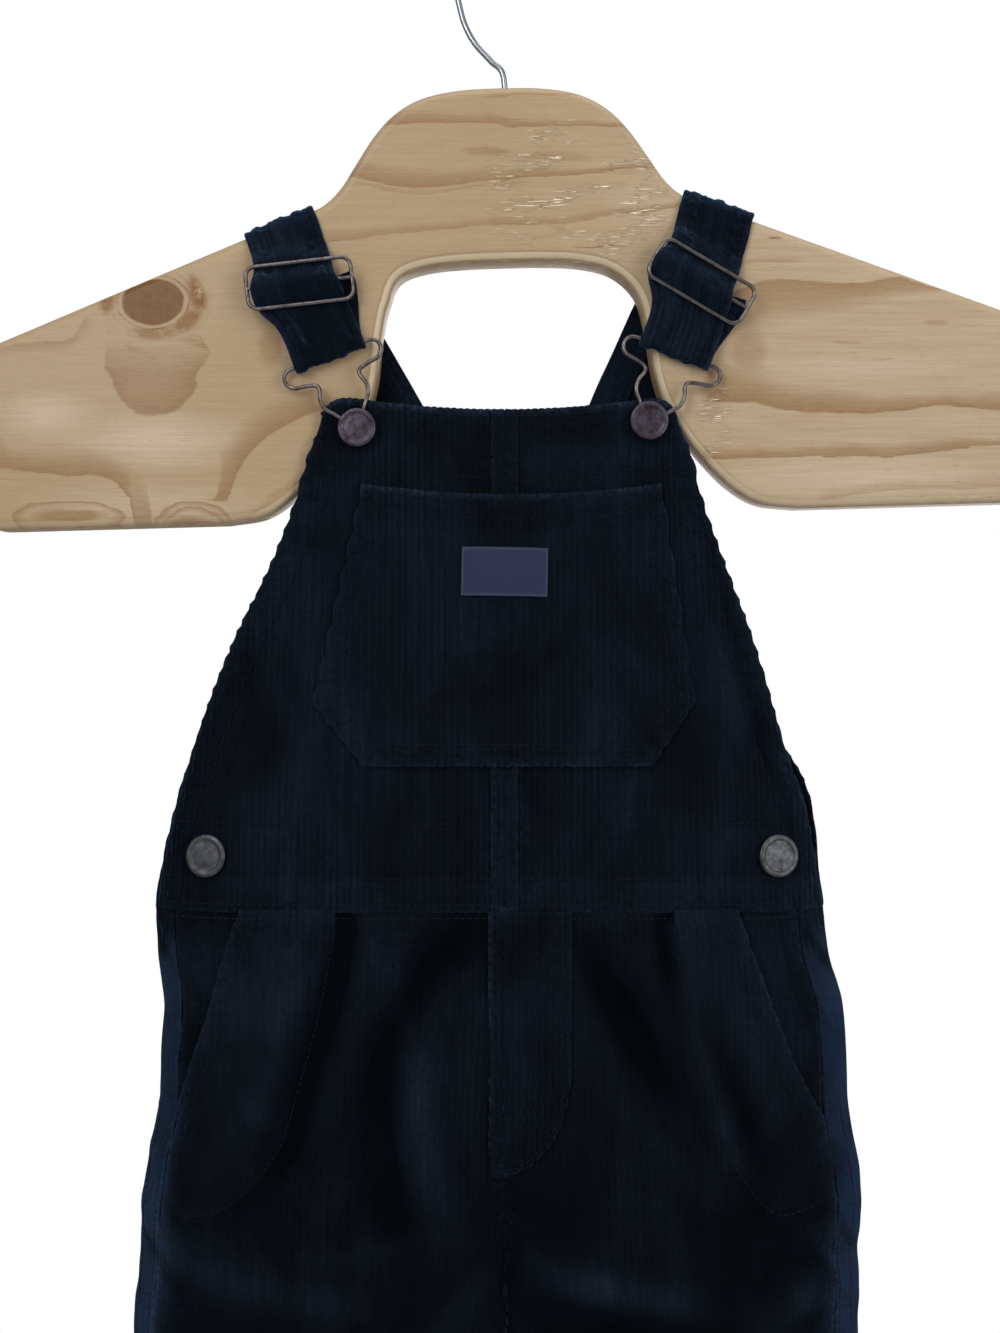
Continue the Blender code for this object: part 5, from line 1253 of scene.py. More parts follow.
        # Painted glints on the varnish in short dashes along the grain, each with a painted shade beside it
        glint_dashes = self.times(self.fade(raised, 0.57, 0.61), here)
        shaded = self.times(self.ramp(raised, (0.46, 0.0), (0.53, 0.35), (0.56, 0.0)), here)
        body = self.mix(shaded, body, look.knot)
        body = self.mix(self.times(glint_dashes, 0.95), body, look.painted_gloss)
        pores = self.sum("ADD", glint_dashes, self.times(self.streak, 0.1))
        bumped = self.bump(pores, 0.45, 0.9)
        self.set(base_color=body, roughness=0.5, specular_level=0.2, normal=bumped)
        self.set(coat_weight=0.16, coat_roughness=0.1, coat_normal=bumped)
        return self.material


def metal(name, tint, tarnish, rough, patina):
    """Aged plated metal with darker breath in patches and fine scratches."""
    made = Finish(name)
    spot = made.place()
    breath = made.noise(spot, 0.35, 4.0, 0.6)
    scratches = made.noise(made.stretched(spot, 1.0, 1.0, 7.0), 1.6, 2.0)
    tone = made.mix(made.fade(breath, 0.38, 0.7, 0.0, patina), tint, tarnish)
    made.set(base_color=tone, metallic=1.0, normal=made.bump(scratches, 0.03, 0.4))
    made.set(roughness=made.ramp(breath, (0.3, rough), (0.75, min(rough + 0.2, 1.0))))
    return made.material


def plain_floor(tint):
    made = Finish("pale_floor")
    grain = made.noise(made.place(), 0.01, 3.0)
    shaded = [part * 0.985 for part in tint]
    made.set(base_color=made.mix(made.fade(grain, 0.3, 0.7), tint, shaded), roughness=0.9)
    return made.material


def shares(count, side="left"):
    """Even shares across a grid, from 0 to 1, or from 1 to 0 for a right side."""
    rising = np.linspace(0, 1, count)[None, :]
    return rising if side == "left" else rising[:, ::-1]


def moved(points, normals, lift):
    return points + normals * np.asarray(lift)[..., None]


def hem(distance, inner, outer, seam, high, narrow):
    """A hem that stands out up to its inner edge, and the furrow of its seam."""
    return high * (1 - step(inner, outer, distance)) - 0.3 * bell(distance, seam, narrow)


def grid_of(count, starts, ends):
    return starts[:, None] + (ends - starts)[:, None] * shares(count)


def bib_relief(x, z):
    """The side hems, the facing along the top and the waist band stand out; their seams sink in."""
    row = rows_at(BIB_FRONT, z)
    from_side = np.minimum(x - row.left, row.right - x)
    from_top = bib_top(x) - z
    side = hem(from_side, 11.4, 13.4, SIDE_HEM, 0.35, 1.0)
    top = hem(from_top, 26.2, 28.2, TOP_FACING, 0.3, 1.0)
    waist = 0.4 * step(BAND_SEAM - 0.2, BAND_SEAM - 2.4, z) - 0.3 * bell(z, BAND_SEAM, 0.9)
    tuck = -0.25 * bell(z, TUCK_SEAM, 1.0)
    gathers = 0.3 * puckers(z, 7.5) * bell(from_side, 8.0, 5.0)
    gathers += 0.2 * puckers(x, 8.5) * bell(from_top, 26.0, 4.5)
    return side + top + waist + tuck + gathers


def puckers(run, size):
    """An uneven row of small gathers along a seam, between -1 and 1."""
    first = np.sin(2 * np.pi * run / size + 0.7 * np.sin(run / (size * 1.9)))
    return 0.65 * first + 0.35 * np.sin(2 * np.pi * run / (size * 0.61) + 1.3)


def bib_sheet(side, wales):
    v = np.linspace(0, 1, BIB_ROWS)
    rows = rows_at(BIB_FRONT, BIB_CORNER + (WAIST - BIB_CORNER) * v)
    left = side == "left"
    edge = rows.left + rows.inset_left if left else rows.right - rows.inset_right
    t = shares(DENSE, side)
    x = edge[:, None] + (CENTRE - edge)[:, None] * (0.5 * t + 0.5 * spread(t, 0.0))
    z = bib_top(x) * (1 - v[:, None]) + WAIST * v[:, None]
    points, normals = bib_at(x, z)
    relief = bib_relief(x, z)
    points = moved(points, normals, relief)
    # Painted light and shade for the cloth's colour: lighter over the creases and hems, darker in their
    # furrows, and a little darker all over
    painted_tone = 1.6 * folded(BIB_CREASES, x, z) + 1.5 * relief
    return ClothSheet(points, normals, x, CENTRE + 0 * v, wales, lift=painted_tone - 0.4,
                      rubbed=(1.0, 0.2, 0.9, 0.9))


def fell_sheet(wales):
    """The flat-felled seam down the middle of the bib."""
    v = np.linspace(0, 1, BIB_ROWS)[:, None]
    x = CENTRE + FELL_HALF * (2 * shares(40) - 1) + 0 * v
    z = (bib_top(x) - SEAM) * (1 - v) + (WAIST + SEAM) * v
    ridge = 0.25 * (1 - abs(x - CENTRE) / FELL_HALF) ** 0.5
    points, normals = bib_at(x, z, SNUG + FELL_THICK + ridge - 0.15)
    return ClothSheet(points, normals, x, CENTRE + 0 * v[:, 0], wales, thickness=FELL_THICK, turn_in=2.0)


def pocket_shape(x, z):
    """How the hems, seams and gathers of the bib pocket stand in or out."""
    top_left, top_right = BIB_POCKET[0].left, BIB_POCKET[0].right
    share = (x - top_left) / (top_right - top_left)
    top = BIB_POCKET[0].z - POCKET_SAG * np.clip(1 - (2 * share - 1) ** 2, 0, None)
    from_top = top - z
    left = [(row.left, row.z) for row in BIB_POCKET]
    right = [(row.right, row.z) for row in BIB_POCKET]
    base = [left[-1], right[-1]]
    from_left, run_left = line_distance(left, x, z)
    from_right, run_right = line_distance(right, x, z)
    from_base, run_base = line_distance(base, x, z)
    away = np.minimum(np.minimum(from_left, from_right), from_base)
    band = hem(from_top, 8.0, 10.0, 9.6, 0.3, 0.9)
    rows = -0.28 * bell(away, 2.4, 0.8) - 0.28 * bell(away, 8.6, 0.8)
    slot, _ = line_distance(PENCIL_SLOT, x, z)
    rows = rows - 0.3 * bell(slot, 0, 0.9)
    run = np.where(away == from_left, run_left, np.where(away == from_right, run_right, run_base)) * 115
    gathers = 0.28 * puckers(run, 6.6) * bell(away, 5.5, 3.6)
    return band + rows + gathers


def pocket_sheet(wales):
    v = np.linspace(0, 1, POCKET_ROWS)
    share = np.broadcast_to(shares(DENSE), (len(v), DENSE))
    points, normals = pocket_at(share, v[:, None])
    lift = pocket_shape(points[..., 0], points[..., 2])
    points = moved(points, normals, lift)
    return ClothSheet(points, normals, points[..., 0], CENTRE + 0 * v, wales, thickness=OVERLAY,
                      rubbed=(0.8, 0.5, 0.5, 0.5))


def label_sheet(wales):
    left, bottom, right, top = LABEL_CORNERS
    turn = math.radians(1.0)
    x = left + (right - left) * shares(60) + np.zeros((26, 1))
    z = top + (bottom - top) * np.linspace(0, 1, 26)[:, None] + 0 * x
    middle_x, middle_z = (left + right) / 2, (top + bottom) / 2
    across, up = x - middle_x, z - middle_z
    x = middle_x + across * math.cos(turn) + up * math.sin(turn)
    z = middle_z - across * math.sin(turn) + up * math.cos(turn)
    under = pocket_lift(x - np.copysign(LABEL_EASE, x - CENTRE)) + OVERLAY
    swell = 0.25 * np.sin(np.pi * np.linspace(0, 1, 26))[:, None] * np.sin(np.pi * shares(60)) ** 0.5
    points, normals = bib_at(x, z, under + SNUG + LABEL_THICK + swell)
    return ClothSheet(points, normals, x, np.full(26, middle_x), wales, thickness=LABEL_THICK, turn_in=1.2)


def back_relief(from_edge, x, z):
    """The hems at the armholes and along the top, and the felled middle seam."""
    top = BIB_BACK[0].z - z
    lift = hem(from_edge, 9.4, 11.4, 10.8, 0.35, 1.0) + hem(top, 16.0, 18.0, 17.6, 0.3, 1.0)
    return lift + 0.35 * (1 - step(4.4, 6.4, abs(x - CENTRE)))


def back_sheet(side, wales):
    """Half of the back, from the middle to the armhole's edge and the side."""
    z = np.linspace(BIB_BACK[0].z, WAIST, BACK_ROWS)
    rows = rows_at(BIB_BACK, z)
    left = side == "left"
    edge = rows.left if left else rows.right
    a = shares(DENSE, side)
    x = edge[:, None] + (CENTRE - edge)[:, None] * spread(a, 0.0)
    height = z[:, None] + 0 * x
    across = np.broadcast_to(a, x.shape)
    points, normals = place(torso_surface(BIB_BACK, left, SEAM / 2), 1.0, across, height)
    normals = normals * np.sign(normals[..., 1:2] + 1e-9)
    from_edge = abs(x - edge[:, None])
    lift = folded(BACK_CREASES, x, height) + back_relief(from_edge, x, height)
    return ClothSheet(moved(points, normals, lift), normals, x, CENTRE + 0 * z, wales,
                      rubbed=(0.8, 0.2, 1.0, 1.0))


def placket_sheet(side, wales):
    z = np.linspace(PLACKET_TOP, WAIST, 28)
    rows = rows_at(BIB_FRONT, z)
    edge = rows.left if side == "left" else rows.right
    widest = spread_inverse(PLACKET_WIDTH / abs(CENTRE - edge), 0.0)
    a = widest[:, None] * shares(80, side)
    height = z[:, None] + 0 * a
    points, normals = place(torso_surface(BIB_FRONT, side == "left"), 1.0, a, height)
    normals = normals * -np.sign(normals[..., 1:2] - 1e-9)
    points = points - normals * (CLOTH + TUCK)
    datum = edge + (10.0 if side == "left" else -10.0)
    return ClothSheet(points, normals, points[..., 0], datum, wales, thickness=OVERLAY, turn_in=2.5)


def leg_grain(side, z):
    """Where the straight grain runs down a leg."""
    outer_top, inner_top = leg_edges(side, rows_at(LEGS, WAIST))
    outer_hem, inner_hem = leg_edges(side, rows_at(LEGS, HEM))
    down = (z - WAIST) / (HEM - WAIST)
    return (outer_top + inner_top) / 2 * (1 - down) + (outer_hem + inner_hem) / 2 * down


def bag_edge(side, x, z):
    """How far within a hip pocket's bag a place lies, below 0 outside, and how plainly the bag shows."""
    line = curve_through(BAG_LINES[side], 24)
    away, _ = line_distance([tuple(p) for p in line], x, z)
    outer, floor = line[:, 0], line[:, 1]
    reach = np.interp(-z, -floor, outer, left=outer[0], right=outer[-1])
    lowest = np.interp(x if side == "right" else -x, outer if side == "right" else -outer, floor)
    within = (x < reach if side == "left" else x > reach) & (z > lowest)
    shown = step(-2.0, 12.0, (x - side_seam(side, z)) * (1 if side == "left" else -1))
    return np.where(within, away, -away), shown


def bag_lift(side, x, z):
    """How far a hip pocket's bag holds the front out: level within, and a soft ledge at its edge."""
    signed, shown = bag_edge(side, x, z)
    return (1.25 * step(-2.2, 2.4, signed) + 0.3 * bell(signed, 2.4, 2.2)) * shown


def bag_valley(side, x, z):
    """The dip of the cloth just outside a pocket's bag, deeper and shallower by turns."""
    signed, shown = bag_edge(side, x, z)
    deep = (0.6 + 0.4 * np.sin(z / 17.0 + 1.0)) * (1 - 0.85 * step(-488.0, -520.0, z))
    return deep * shown * bell(signed, -5.5, 3.8)


def leg_relief(side, facing, x, z):
    """Hems, the seams' double rows and the pocket bags that press through."""
    lift = hem(z - HEM, 15.2, 17.2, LEG_HEM, 0.35, 1.0)
    lift -= 0.22 * bell(z - WAIST, -3.0, 0.9)
    lift = lift + 0.55 * side_crumple(side, x, z)
    if facing == "front":
        from_seam = abs(x - side_seam(side, z))
        beyond = np.where(side == "left", x < side_seam(side, z), x > side_seam(side, z))
        lift = lift + np.where(beyond, 0.35 * (1 - step(8.2, 10.0, from_seam)), 0.0)
        mouth = [(getattr(row, side), row.z) for row in POCKET_MOUTH]
        from_mouth, run = line_distance(mouth, x, z)
        over = z > POCKET_MOUTH[-1].z
        turned = hem(from_mouth, 7.4, 9.2, 8.6, 0.35, 0.9)
        gathers = 0.25 * puckers(run * 92, 7.0) * bell(from_mouth, 5.0, 3.6)
        lift = lift + np.where(over, turned + gathers, 0.0)
        lift = lift + bag_lift(side, x, z) - 0.7 * bag_valley(side, x, z)
    else:
        x_in = leg_edges(side, rows_at(LEGS, z))[1]
        lift = lift + 0.3 * bell(abs(x - x_in), 0, 5.0) * (z > LEG_TURN[1])
    return lift


def side_crumple(side, x, z):
    """The small dents of the cloth along the outer seam, between about -1 and 1."""
    outer, _ = leg_edges(side, rows_at(LEGS, z))
    dents = np.sin(z / 4.1 + x * 0.3) + np.sin(z / 6.7 - x * 0.24 + 1.0) + 0.6 * np.sin(z / 2.3 + x * 0.62)
    dents *= 0.6 + 0.4 * np.sin(z / 23.0)
    return dents / 2.6 * bell(abs(x - outer), 0, 13.0) * step(WAIST - 4.0, WAIST - 20.0, z)


def side_sheen(side, x, z):
    """How the crumpled strip at the outer seam catches the light, as a lift."""
    outer, _ = leg_edges(side, rows_at(LEGS, z))
    band = bell(abs(x - outer), 5.0, 9.0) * step(WAIST - 10.0, WAIST - 34.0, z)
    return 11.0 * band + 11.0 * side_crumple(side, x, z)


def leg_rows():
    upper = np.linspace(WAIST, LEG_MIDDLE, LEG_ROWS_ABOVE, endpoint=False)
    return np.concatenate([upper, np.linspace(LEG_MIDDLE, HEM, LEG_ROWS_BELOW)])


def front_leg_sheet(side, wales):
    z = leg_rows()
    edge = panel_edge(side, z)
    start = leg_share(side, edge, z)
    a = start[:, None] + (1 - start)[:, None] * shares(DENSE, side)
    height = z[:, None] + 0 * a
    points, normals = leg_by_share(side, "front", a, height)
    x = points[..., 0]
    lift = leg_relief(side, "front", x, height)
    points = moved(points, normals, lift)
    # Painted light and shade for the cloth's colour: lighter on the folds and over the pocket bags, a painted
    # shadow in the dip outside each bag, a painted highlight on the crumpled side strip, and darker all over
    # and more so lower down
    painted_tone = FOLD_DEPTH * folded(FRONT_FOLDS, x, height) + folded(FRONT_CREASES, x, height)
    painted_tone = painted_tone + 0.9 * bag_lift(side, x, height) - 3.2 * bag_valley(side, x, height)
    painted_tone = painted_tone + side_sheen(side, x, height) - 0.5 - 1.5 * step(-450.0, -540.0, height)
    return ClothSheet(points, normals, points[..., 0], leg_grain(side, z), wales, lift=painted_tone,
                      rubbed=(0.1, 0.6, 0.75, 0.75))


def back_leg_sheet(side, wales):
    z = leg_rows()
    wrap = leg_share(side, side_seam(side, z), z)
    t = -wrap[:, None] + (1 + wrap)[:, None] * shares(DENSE + 30)
    height = z[:, None] + 0 * t
    before = leg_by_share(side, "front", np.clip(-t, 0, 1), height)
    behind = leg_by_share(side, "back", np.clip(t, 0, 1), height)
    on_front = (t < 0)[..., None]
    points = np.where(on_front, before[0], behind[0])
    normals = np.where(on_front, before[1], behind[1])
    front, back = (leg_relief(side, facing, points[..., 0], height) for facing in ("front", "back"))
    lift = np.where(t < 0, front, back)
    points = moved(points, normals, lift)
    wanted = leg_share(side, leg_grain(side, z), z)
    x = points[..., 0]
    # Painted light and shade for the cloth's colour: from the back's folds, with a painted highlight on the
    # crumpled side strip
    painted_tone = np.where(t < 0, 0.0, FOLD_DEPTH * folded(BACK_FOLDS, x, height)) + side_sheen(side, x, height)
    return ClothSheet(points, normals, t, wanted, wales, lift=painted_tone, rubbed=(0.1, 0.6, 0.3, 0.3))


def facing_sheet(side, wales):
    """The cloth that shows in the mouth of a hip pocket."""
    z = np.linspace(WAIST, POCKET_MOUTH[-1].z + 1.0, 40)
    inward = 1 if side == "left" else -1
    start = side_seam(side, z)
    end = panel_edge(side, z) + inward * FACING_UNDER
    x = grid_of(90, start, end) if side == "left" else grid_of(90, end, start)
    height = z[:, None] + 0 * x
    from_seam = abs(x - start[:, None])
    sunk = (CLOTH + TUCK) * step(0.0, 9.0, from_seam) + 0.35
    points, normals = leg_at(side, "front", x, height)
    points = moved(points, normals, -sunk)
    return ClothSheet(points, normals, x, start, wales, thickness=OVERLAY, turn_in=3.0)


def fly_place(x, z, out):
    """A place on the two front legs, moved out."""
    left, left_normal = leg_at("left", "front", np.minimum(x, CENTRE - SEAM / 2), z, out)
    right, right_normal = leg_at("right", "front", np.maximum(x, CENTRE + SEAM / 2), z, out)
    on_left = (x < CENTRE)[..., None]
    return np.where(on_left, left, right), np.where(on_left, left_normal, right_normal)


def fly_sheet(wales):
    count = 60
    edge = curve_through(FLY_EDGE, count)
    hinge = np.linspace(FLY_EDGE[0][1], FLY_END, count)
    x = grid_of(70, np.full(count, FLY_LEFT), edge[:, 0])
    z = grid_of(70, hinge, edge[:, 1])
    from_edge, run = line_distance([tuple(p) for p in edge[::4]] + [tuple(edge[-1])], x, z)
    lift = -0.28 * bell(from_edge, 2.4, 0.8) - 0.25 * bell(from_edge, 14.6, 0.9)
    lift += 0.2 * puckers(run * 130, 7.5) * bell(from_edge, 4.6, 3.0)
    points, normals = fly_place(x, z, TUCK + OVERLAY)
    points = moved(points, normals, lift)
    # Painted shade for the cloth's colour, darker lower down
    shade = -0.6 - 1.2 * step(-440.0, -510.0, z)
    return ClothSheet(points, normals, x, np.full(count, CENTRE), wales, thickness=OVERLAY, turn_in=4.0,
                      lift=shade, rubbed=(0.2, 0.25, 1.0, 0.3))


def board_point(x, z):
    """A point of the board's own frame, in the frame of the whole, with the board's small tilt."""
    cos, sin = math.cos(BOARD_TILT), math.sin(BOARD_TILT)
    down = z - BOARD_CENTRE[1]
    return BOARD_CENTRE[0] + x * cos - down * sin, BOARD_CENTRE[1] + x * sin + down * cos


def fillet(before, corner, after, radius, count):
    """Points of an arc that rounds a corner."""
    corner = np.array(corner, float)
    to_before = unit(np.array(before) - corner)
    to_after = unit(np.array(after) - corner)
    half = math.acos(float(to_before @ to_after)) / 2
    middle = unit(to_before + to_after)
    centre = corner + middle * radius / math.sin(half)
    start = corner + to_before * radius / math.tan(half) - centre
    end = corner + to_after * radius / math.tan(half) - centre
    first, last = math.atan2(start[1], start[0]), math.atan2(end[1], end[0])
    turn = (last - first + math.pi) % (2 * math.pi) - math.pi
    angles = [first + turn * i / (count - 1) for i in range(count)]
    return [tuple(centre + radius * np.array((math.cos(w), math.sin(w)))) for w in angles]


def arm_top(x):
    return BOARD_TOP[-2][1] - (x - BOARD_TOP[-2][0]) * math.tan(ARM_SLOPE)


def arch_left(x, z):
    """Moves a point of the arch's left side further in, and leaves the arm's outside as it is."""
    (low, low_full), (high_full, high) = ARCH_SIDE
    if x < -BOARD_UNDER[1][0]:
        return x
    return x + ARCH_OFF_CENTRE * float(step(low, low_full, z) * (1 - step(high_full, high, z)))


def board_outline():
    """The board's closed outline, clockwise from the middle of the neck."""
    top = [tuple(p) for p in curve_through(BOARD_TOP, 60)]
    under = [tuple(p) for p in curve_through(BOARD_UNDER, 72)]
    high, low = (ARM_REACH, arm_top(ARM_REACH)), (ARM_REACH, ARM_BOTTOM)
    end = fillet(top[-1], high, low, ARM_END_RADIUS, 18) + fillet(high, low, under[0], ARM_END_RADIUS, 18)
    half = top + end + under
    mirrored = [(arch_left(-x, z), z) for x, z in half[-2:0:-1]]
    return np.array([board_point(x, z) for x, z in half + mirrored])


def facing_out(mesh):
    form = bmesh.new()
    form.from_mesh(mesh)
    bmesh.ops.recalc_face_normals(form, faces=form.faces)
    form.to_mesh(mesh)
    form.free()
    return mesh


def board_mesh():
    outline = board_outline()
    tangent = unit(np.roll(outline, -1, axis=0) - np.roll(outline, 1, axis=0))
    inward = np.stack([tangent[:, 1], -tangent[:, 0]], axis=1)
    half = BOARD_THICK / 2
    bends = [math.radians(w) for w in range(0, 91, 9)]
    profile = [(BOARD_EDGE * (1 - math.sin(w)), -half + BOARD_EDGE * (1 - math.cos(w))) for w in bends]
    profile += [(inset, -y) for inset, y in reversed(profile)]
    points, faces = [], []
    count = len(outline)
    for ring, (inset, y) in enumerate(profile):
        points += [(x, y, z) for x, z in outline + inward * inset]
        if ring:
            a, b = (ring - 1) * count, ring * count
            faces += [(a + i, a + (i + 1) % count, b + (i + 1) % count, b + i) for i in range(count)]
    faces.append(tuple(range(count))[::-1])
    last = (len(profile) - 1) * count
    faces.append(tuple(range(last, last + count)))
    mesh = facing_out(mesh_of_parts("hanger_board_varnished", points, faces))
    mesh.set_sharp_from_angle(angle=math.radians(40))
    return mesh


def hook_path():
    arc = []
    for w in np.radians(np.linspace(*HOOK_TURN, 48)):
        high = -HOOK_RADIUS + HOOK_WIRE / 2
        arc.append((HOOK_RADIUS * math.cos(w), high + HOOK_RADIUS * math.sin(w)))
    stem = [(HOOK_STEM_X, BOARD_TOP[0][1] - HOOK_DEPTH_IN_BOARD)]
    return [(x, 0.0, z) for x, z in curve_through(arc + list(HOOK_NECK) + stem, 130)]


def strap_levels():
    """Distances off the board's face: a strap's back layer, the buckle's bar, its front layer, the
    slider and the layer over the slider's middle bar. The last value is the radius of a turn."""
    back = STRAP_OFF_BOARD + STRAP_THICK / 2
    bar = STRAP_OFF_BOARD + STRAP_THICK + FITTING_PLAY + FITTING_WIRE / 2
    turn = FITTING_WIRE / 2 + FITTING_PLAY + STRAP_THICK / 2
    front = bar + turn
    slider = front + turn
    return back, bar, front, slider, slider + turn, turn


def strap_frame(strap):
    """The arm's crossing, its direction along the arm, the strap's curve to the bar and its axis."""
    side = math.copysign(1, strap.across)
    seat = np.array(board_point(strap.across, arm_top(abs(strap.across)) + strap.lift))
    angle = BOARD_TILT - side * ARM_SLOPE
    along = np.array((math.cos(angle), math.sin(angle)))
    up = np.array((-along[1], along[0]))
    bar, button = np.array(strap.bar), np.array(strap.button)
    return seat, along, up, bar, unit(button - bar)


def strap_middle(strap):
    """The strap's middle layer as a grid: down its stations and across its width."""
    back, _, front, _, over, turn = strap_levels()
    seat, along, up, bar, axis = strap_frame(strap)
    half = BOARD_THICK / 2
    start = seat - up * STRAP_FALL
    bend = bar - axis * np.linalg.norm(bar - start) * 0.5
    angle = math.radians(strap.slider_turn)
    slider_down = np.array((math.sin(angle), -math.cos(angle)))
    slider = np.array(strap.slider)
    bar_gap = (SLIDER_HEIGHT - FITTING_WIRE) / 2
    length = float(np.linalg.norm(bar - start))
    across = np.linspace(-1, 1, 60)[:, None]

    def front_curve(s):
        t = 1 - s
        point = (1 - t) ** 2 * start + 2 * t * (1 - t) * bend + t * t * bar
        slope = unit(2 * (1 - t) * (bend - start) + 2 * t * (bar - bend))
        return point, np.array((-slope[1], slope[0]))

    def front_level(flat):
        down = (flat - slider) @ slider_down
        above = back + (front - back) * step(-bar_gap - SLIDER_RUN_UP, -bar_gap, down)
        rise = 0.5 + 0.5 * np.cos(np.pi * np.clip(down, -bar_gap, bar_gap) / bar_gap)
        return -half - np.where(down < -bar_gap, above, front + (over - front) * rise)

    def under_level(flat):
        down = (flat - slider) @ slider_down
        return -half - back - UNDER_RISE * (1 - step(*UNDER_TURN, down))

    def back_level(flat):
        outside = BIB_BACK[0].middle + SEAM / 2 + SNUG + STRAP_THICK / 2
        rise = 1 - step(*BACK_END_RISE, flat[:, 1] - BIB_BACK[0].z)
        return half + back + (outside - half - back) * rise

    rows = []

    def add(point, width, level, beside=0.0, wider=0.0):
        sign = math.copysign(1, width[0])
        flat = point + width * (across * (STRAP_WIDTH / 2 + wider) + sign * beside)
        y = level(flat) if callable(level) else np.full(len(flat), level)
        rows.append(np.stack([flat[:, 0], y, flat[:, 1]], axis=1))

    reach = float((bar - slider) @ slider_down) - UNDER_STOP
    for s in np.linspace(1, 0, 14):
        add(*front_curve(reach / length * s), under_level, UNDER_BESIDE * float(step(0.1, 0.9, s)))
    point, width = front_curve(0.0)
    for w in np.pi * np.arange(1, 8) / 8:
        add(point + axis * turn * math.sin(w), width, -half - (back + front) / 2 + turn * math.cos(w))
    for s in np.linspace(0, 1, 40):
        point, width = front_curve(s)
        near = math.exp(-((float((point - slider) @ slider_down) / SLIDER_REACH) ** 2))
        add(point, width, front_level, OVER_BESIDE * near, OVER_WIDER * near)
    radius = STRAP_FALL + back
    for w in np.radians(np.arange(170, 89, -10)):
        point = seat + up * (-STRAP_FALL + radius * math.sin(w))
        turned = unit(front_curve(1.0)[1] * (1 - math.sin(w)) + along * math.sin(w))
        add(point, turned, -(half - STRAP_FALL) + radius * math.cos(w))
    run = np.array(strap.back_end) - start
    down = unit(run)
    back_width = np.array((-down[1], down[0]))
    for w in np.radians(np.arange(90, -1, -10)):
        point = seat + up * (-STRAP_FALL + radius * math.sin(w))
        turned = unit(back_width * (1 - math.sin(w)) + along * math.sin(w))
        add(point, turned, (half - STRAP_FALL) + radius * math.cos(w))
    for s in np.linspace(0, 1, 54)[1:]:
        add(start + run * s, back_width, back_level)
    return np.array(rows)


def strap_sheet(strap, wales):
    middle = strap_middle(strap)
    down = np.gradient(middle, axis=0)
    across = np.gradient(middle, axis=1)
    normals = unit(np.cross(across, down))
    share = np.linspace(-1, 1, middle.shape[1])[None, :]
    run = run_along(middle[:, 30])[:, None]
    edge = (1 - abs(share)) * STRAP_WIDTH / 2
    seams = -0.25 * bell(edge, 3.0, 0.9) + 0.12 * puckers(run, 9.0) * bell(edge, 4.4, 3)
    wrinkles = np.sin(share * 6.0 + 1.4 * np.sin(run / 13.0)) + 0.8 * np.sin(share * 11.0 - run / 9.0 + 1.0)
    wrinkles += 0.7 * np.sin(share * 17.0 + run / 5.0 + 2.0 * np.sin(run / 21.0))
    fluted = 0.42 * wrinkles * step(0.0, 3.5, edge)
    over_arm = bell(run, run[STRAP_CROWN], 9.0)
    crown = 1.6 * (bell(share, -0.48, 0.32) + bell(share, 0.56, 0.26)) - 1.1 * share**8
    swell = seams + fluted + over_arm * crown
    points = moved(middle, normals, STRAP_THICK / 2 + swell * 0.8)
    share = np.broadcast_to(share, middle.shape[:2])
    # lift here is painted light: the strap lighter all over and more so on the crests of its wrinkles
    return ClothSheet(points, normals, share, np.zeros(len(middle)), wales, thickness=STRAP_THICK,
                      turn_in=STRAP_WIDTH / 2 - STRAP_THICK, lift=1.3 * fluted + 0.9)


def slider_paths(strap):
    """The slider's frame, open by a hair at one side, and its middle bar."""
    level = -BOARD_THICK / 2 - strap_levels()[3]
    half_long = (SLIDER_LENGTH - FITTING_WIRE) / 2
    half_high = (SLIDER_HEIGHT - FITTING_WIRE) / 2
    corners = [(half_long * x, half_high * z) for x, z in ((1, 1), (1, -1), (-1, -1), (-1, 1))]
    path = []
    for i, corner in enumerate(corners):
        path += fillet(corners[i - 1], corner, corners[(i + 1) % 4], SLIDER_CORNER, 9)
    ring = [(half_long, -0.35), *path[9:], *path[:9], (half_long, 0.35)]
    angle = math.radians(strap.slider_turn)
    cos, sin = math.cos(angle), math.sin(angle)

    def turned(x, z):
        return (strap.slider[0] + x * cos - z * sin, level, strap.slider[1] + x * sin + z * cos)

    frame_path = []
    for (ax, az), (bx, bz) in zip(ring, ring[1:]):
        steps = max(1, int(math.hypot(bx - ax, bz - az) / 1.2))
        frame_path += [turned(ax + (bx - ax) * k / steps, az + (bz - az) * k / steps) for k in range(steps)]
    frame_path.append(turned(*ring[-1]))
    bar = [turned(x, 0) for x in np.linspace(-half_long + 0.3, half_long - 0.3, 30)]
    return frame_path, bar


def buckle_path(strap):
    bar_level = strap_levels()[1]
    bar, button = np.array(strap.bar), np.array(strap.button)
    axis = unit(button - bar)
    across = np.array((-axis[1], axis[0]))
    whole = list(BUCKLE) + [(-u, v) for u, v in BUCKLE[-2:0:-1]]
    seat = torso_at(BIB_FRONT, "front", *strap.button)[0]
    slot_y = seat[1] - SNUG - FITTING_WIRE / 2 - WIRE_LIFT
    bar_y = -BOARD_THICK / 2 - bar_level
    path = []
    for u, v in curve_through(whole, 160, closed=True):
        x, z = bar + across * u + axis * v
        path.append((x, bar_y + (slot_y - bar_y) * float(step(*BUCKLE_SETS_BACK, v)), z))
    return path


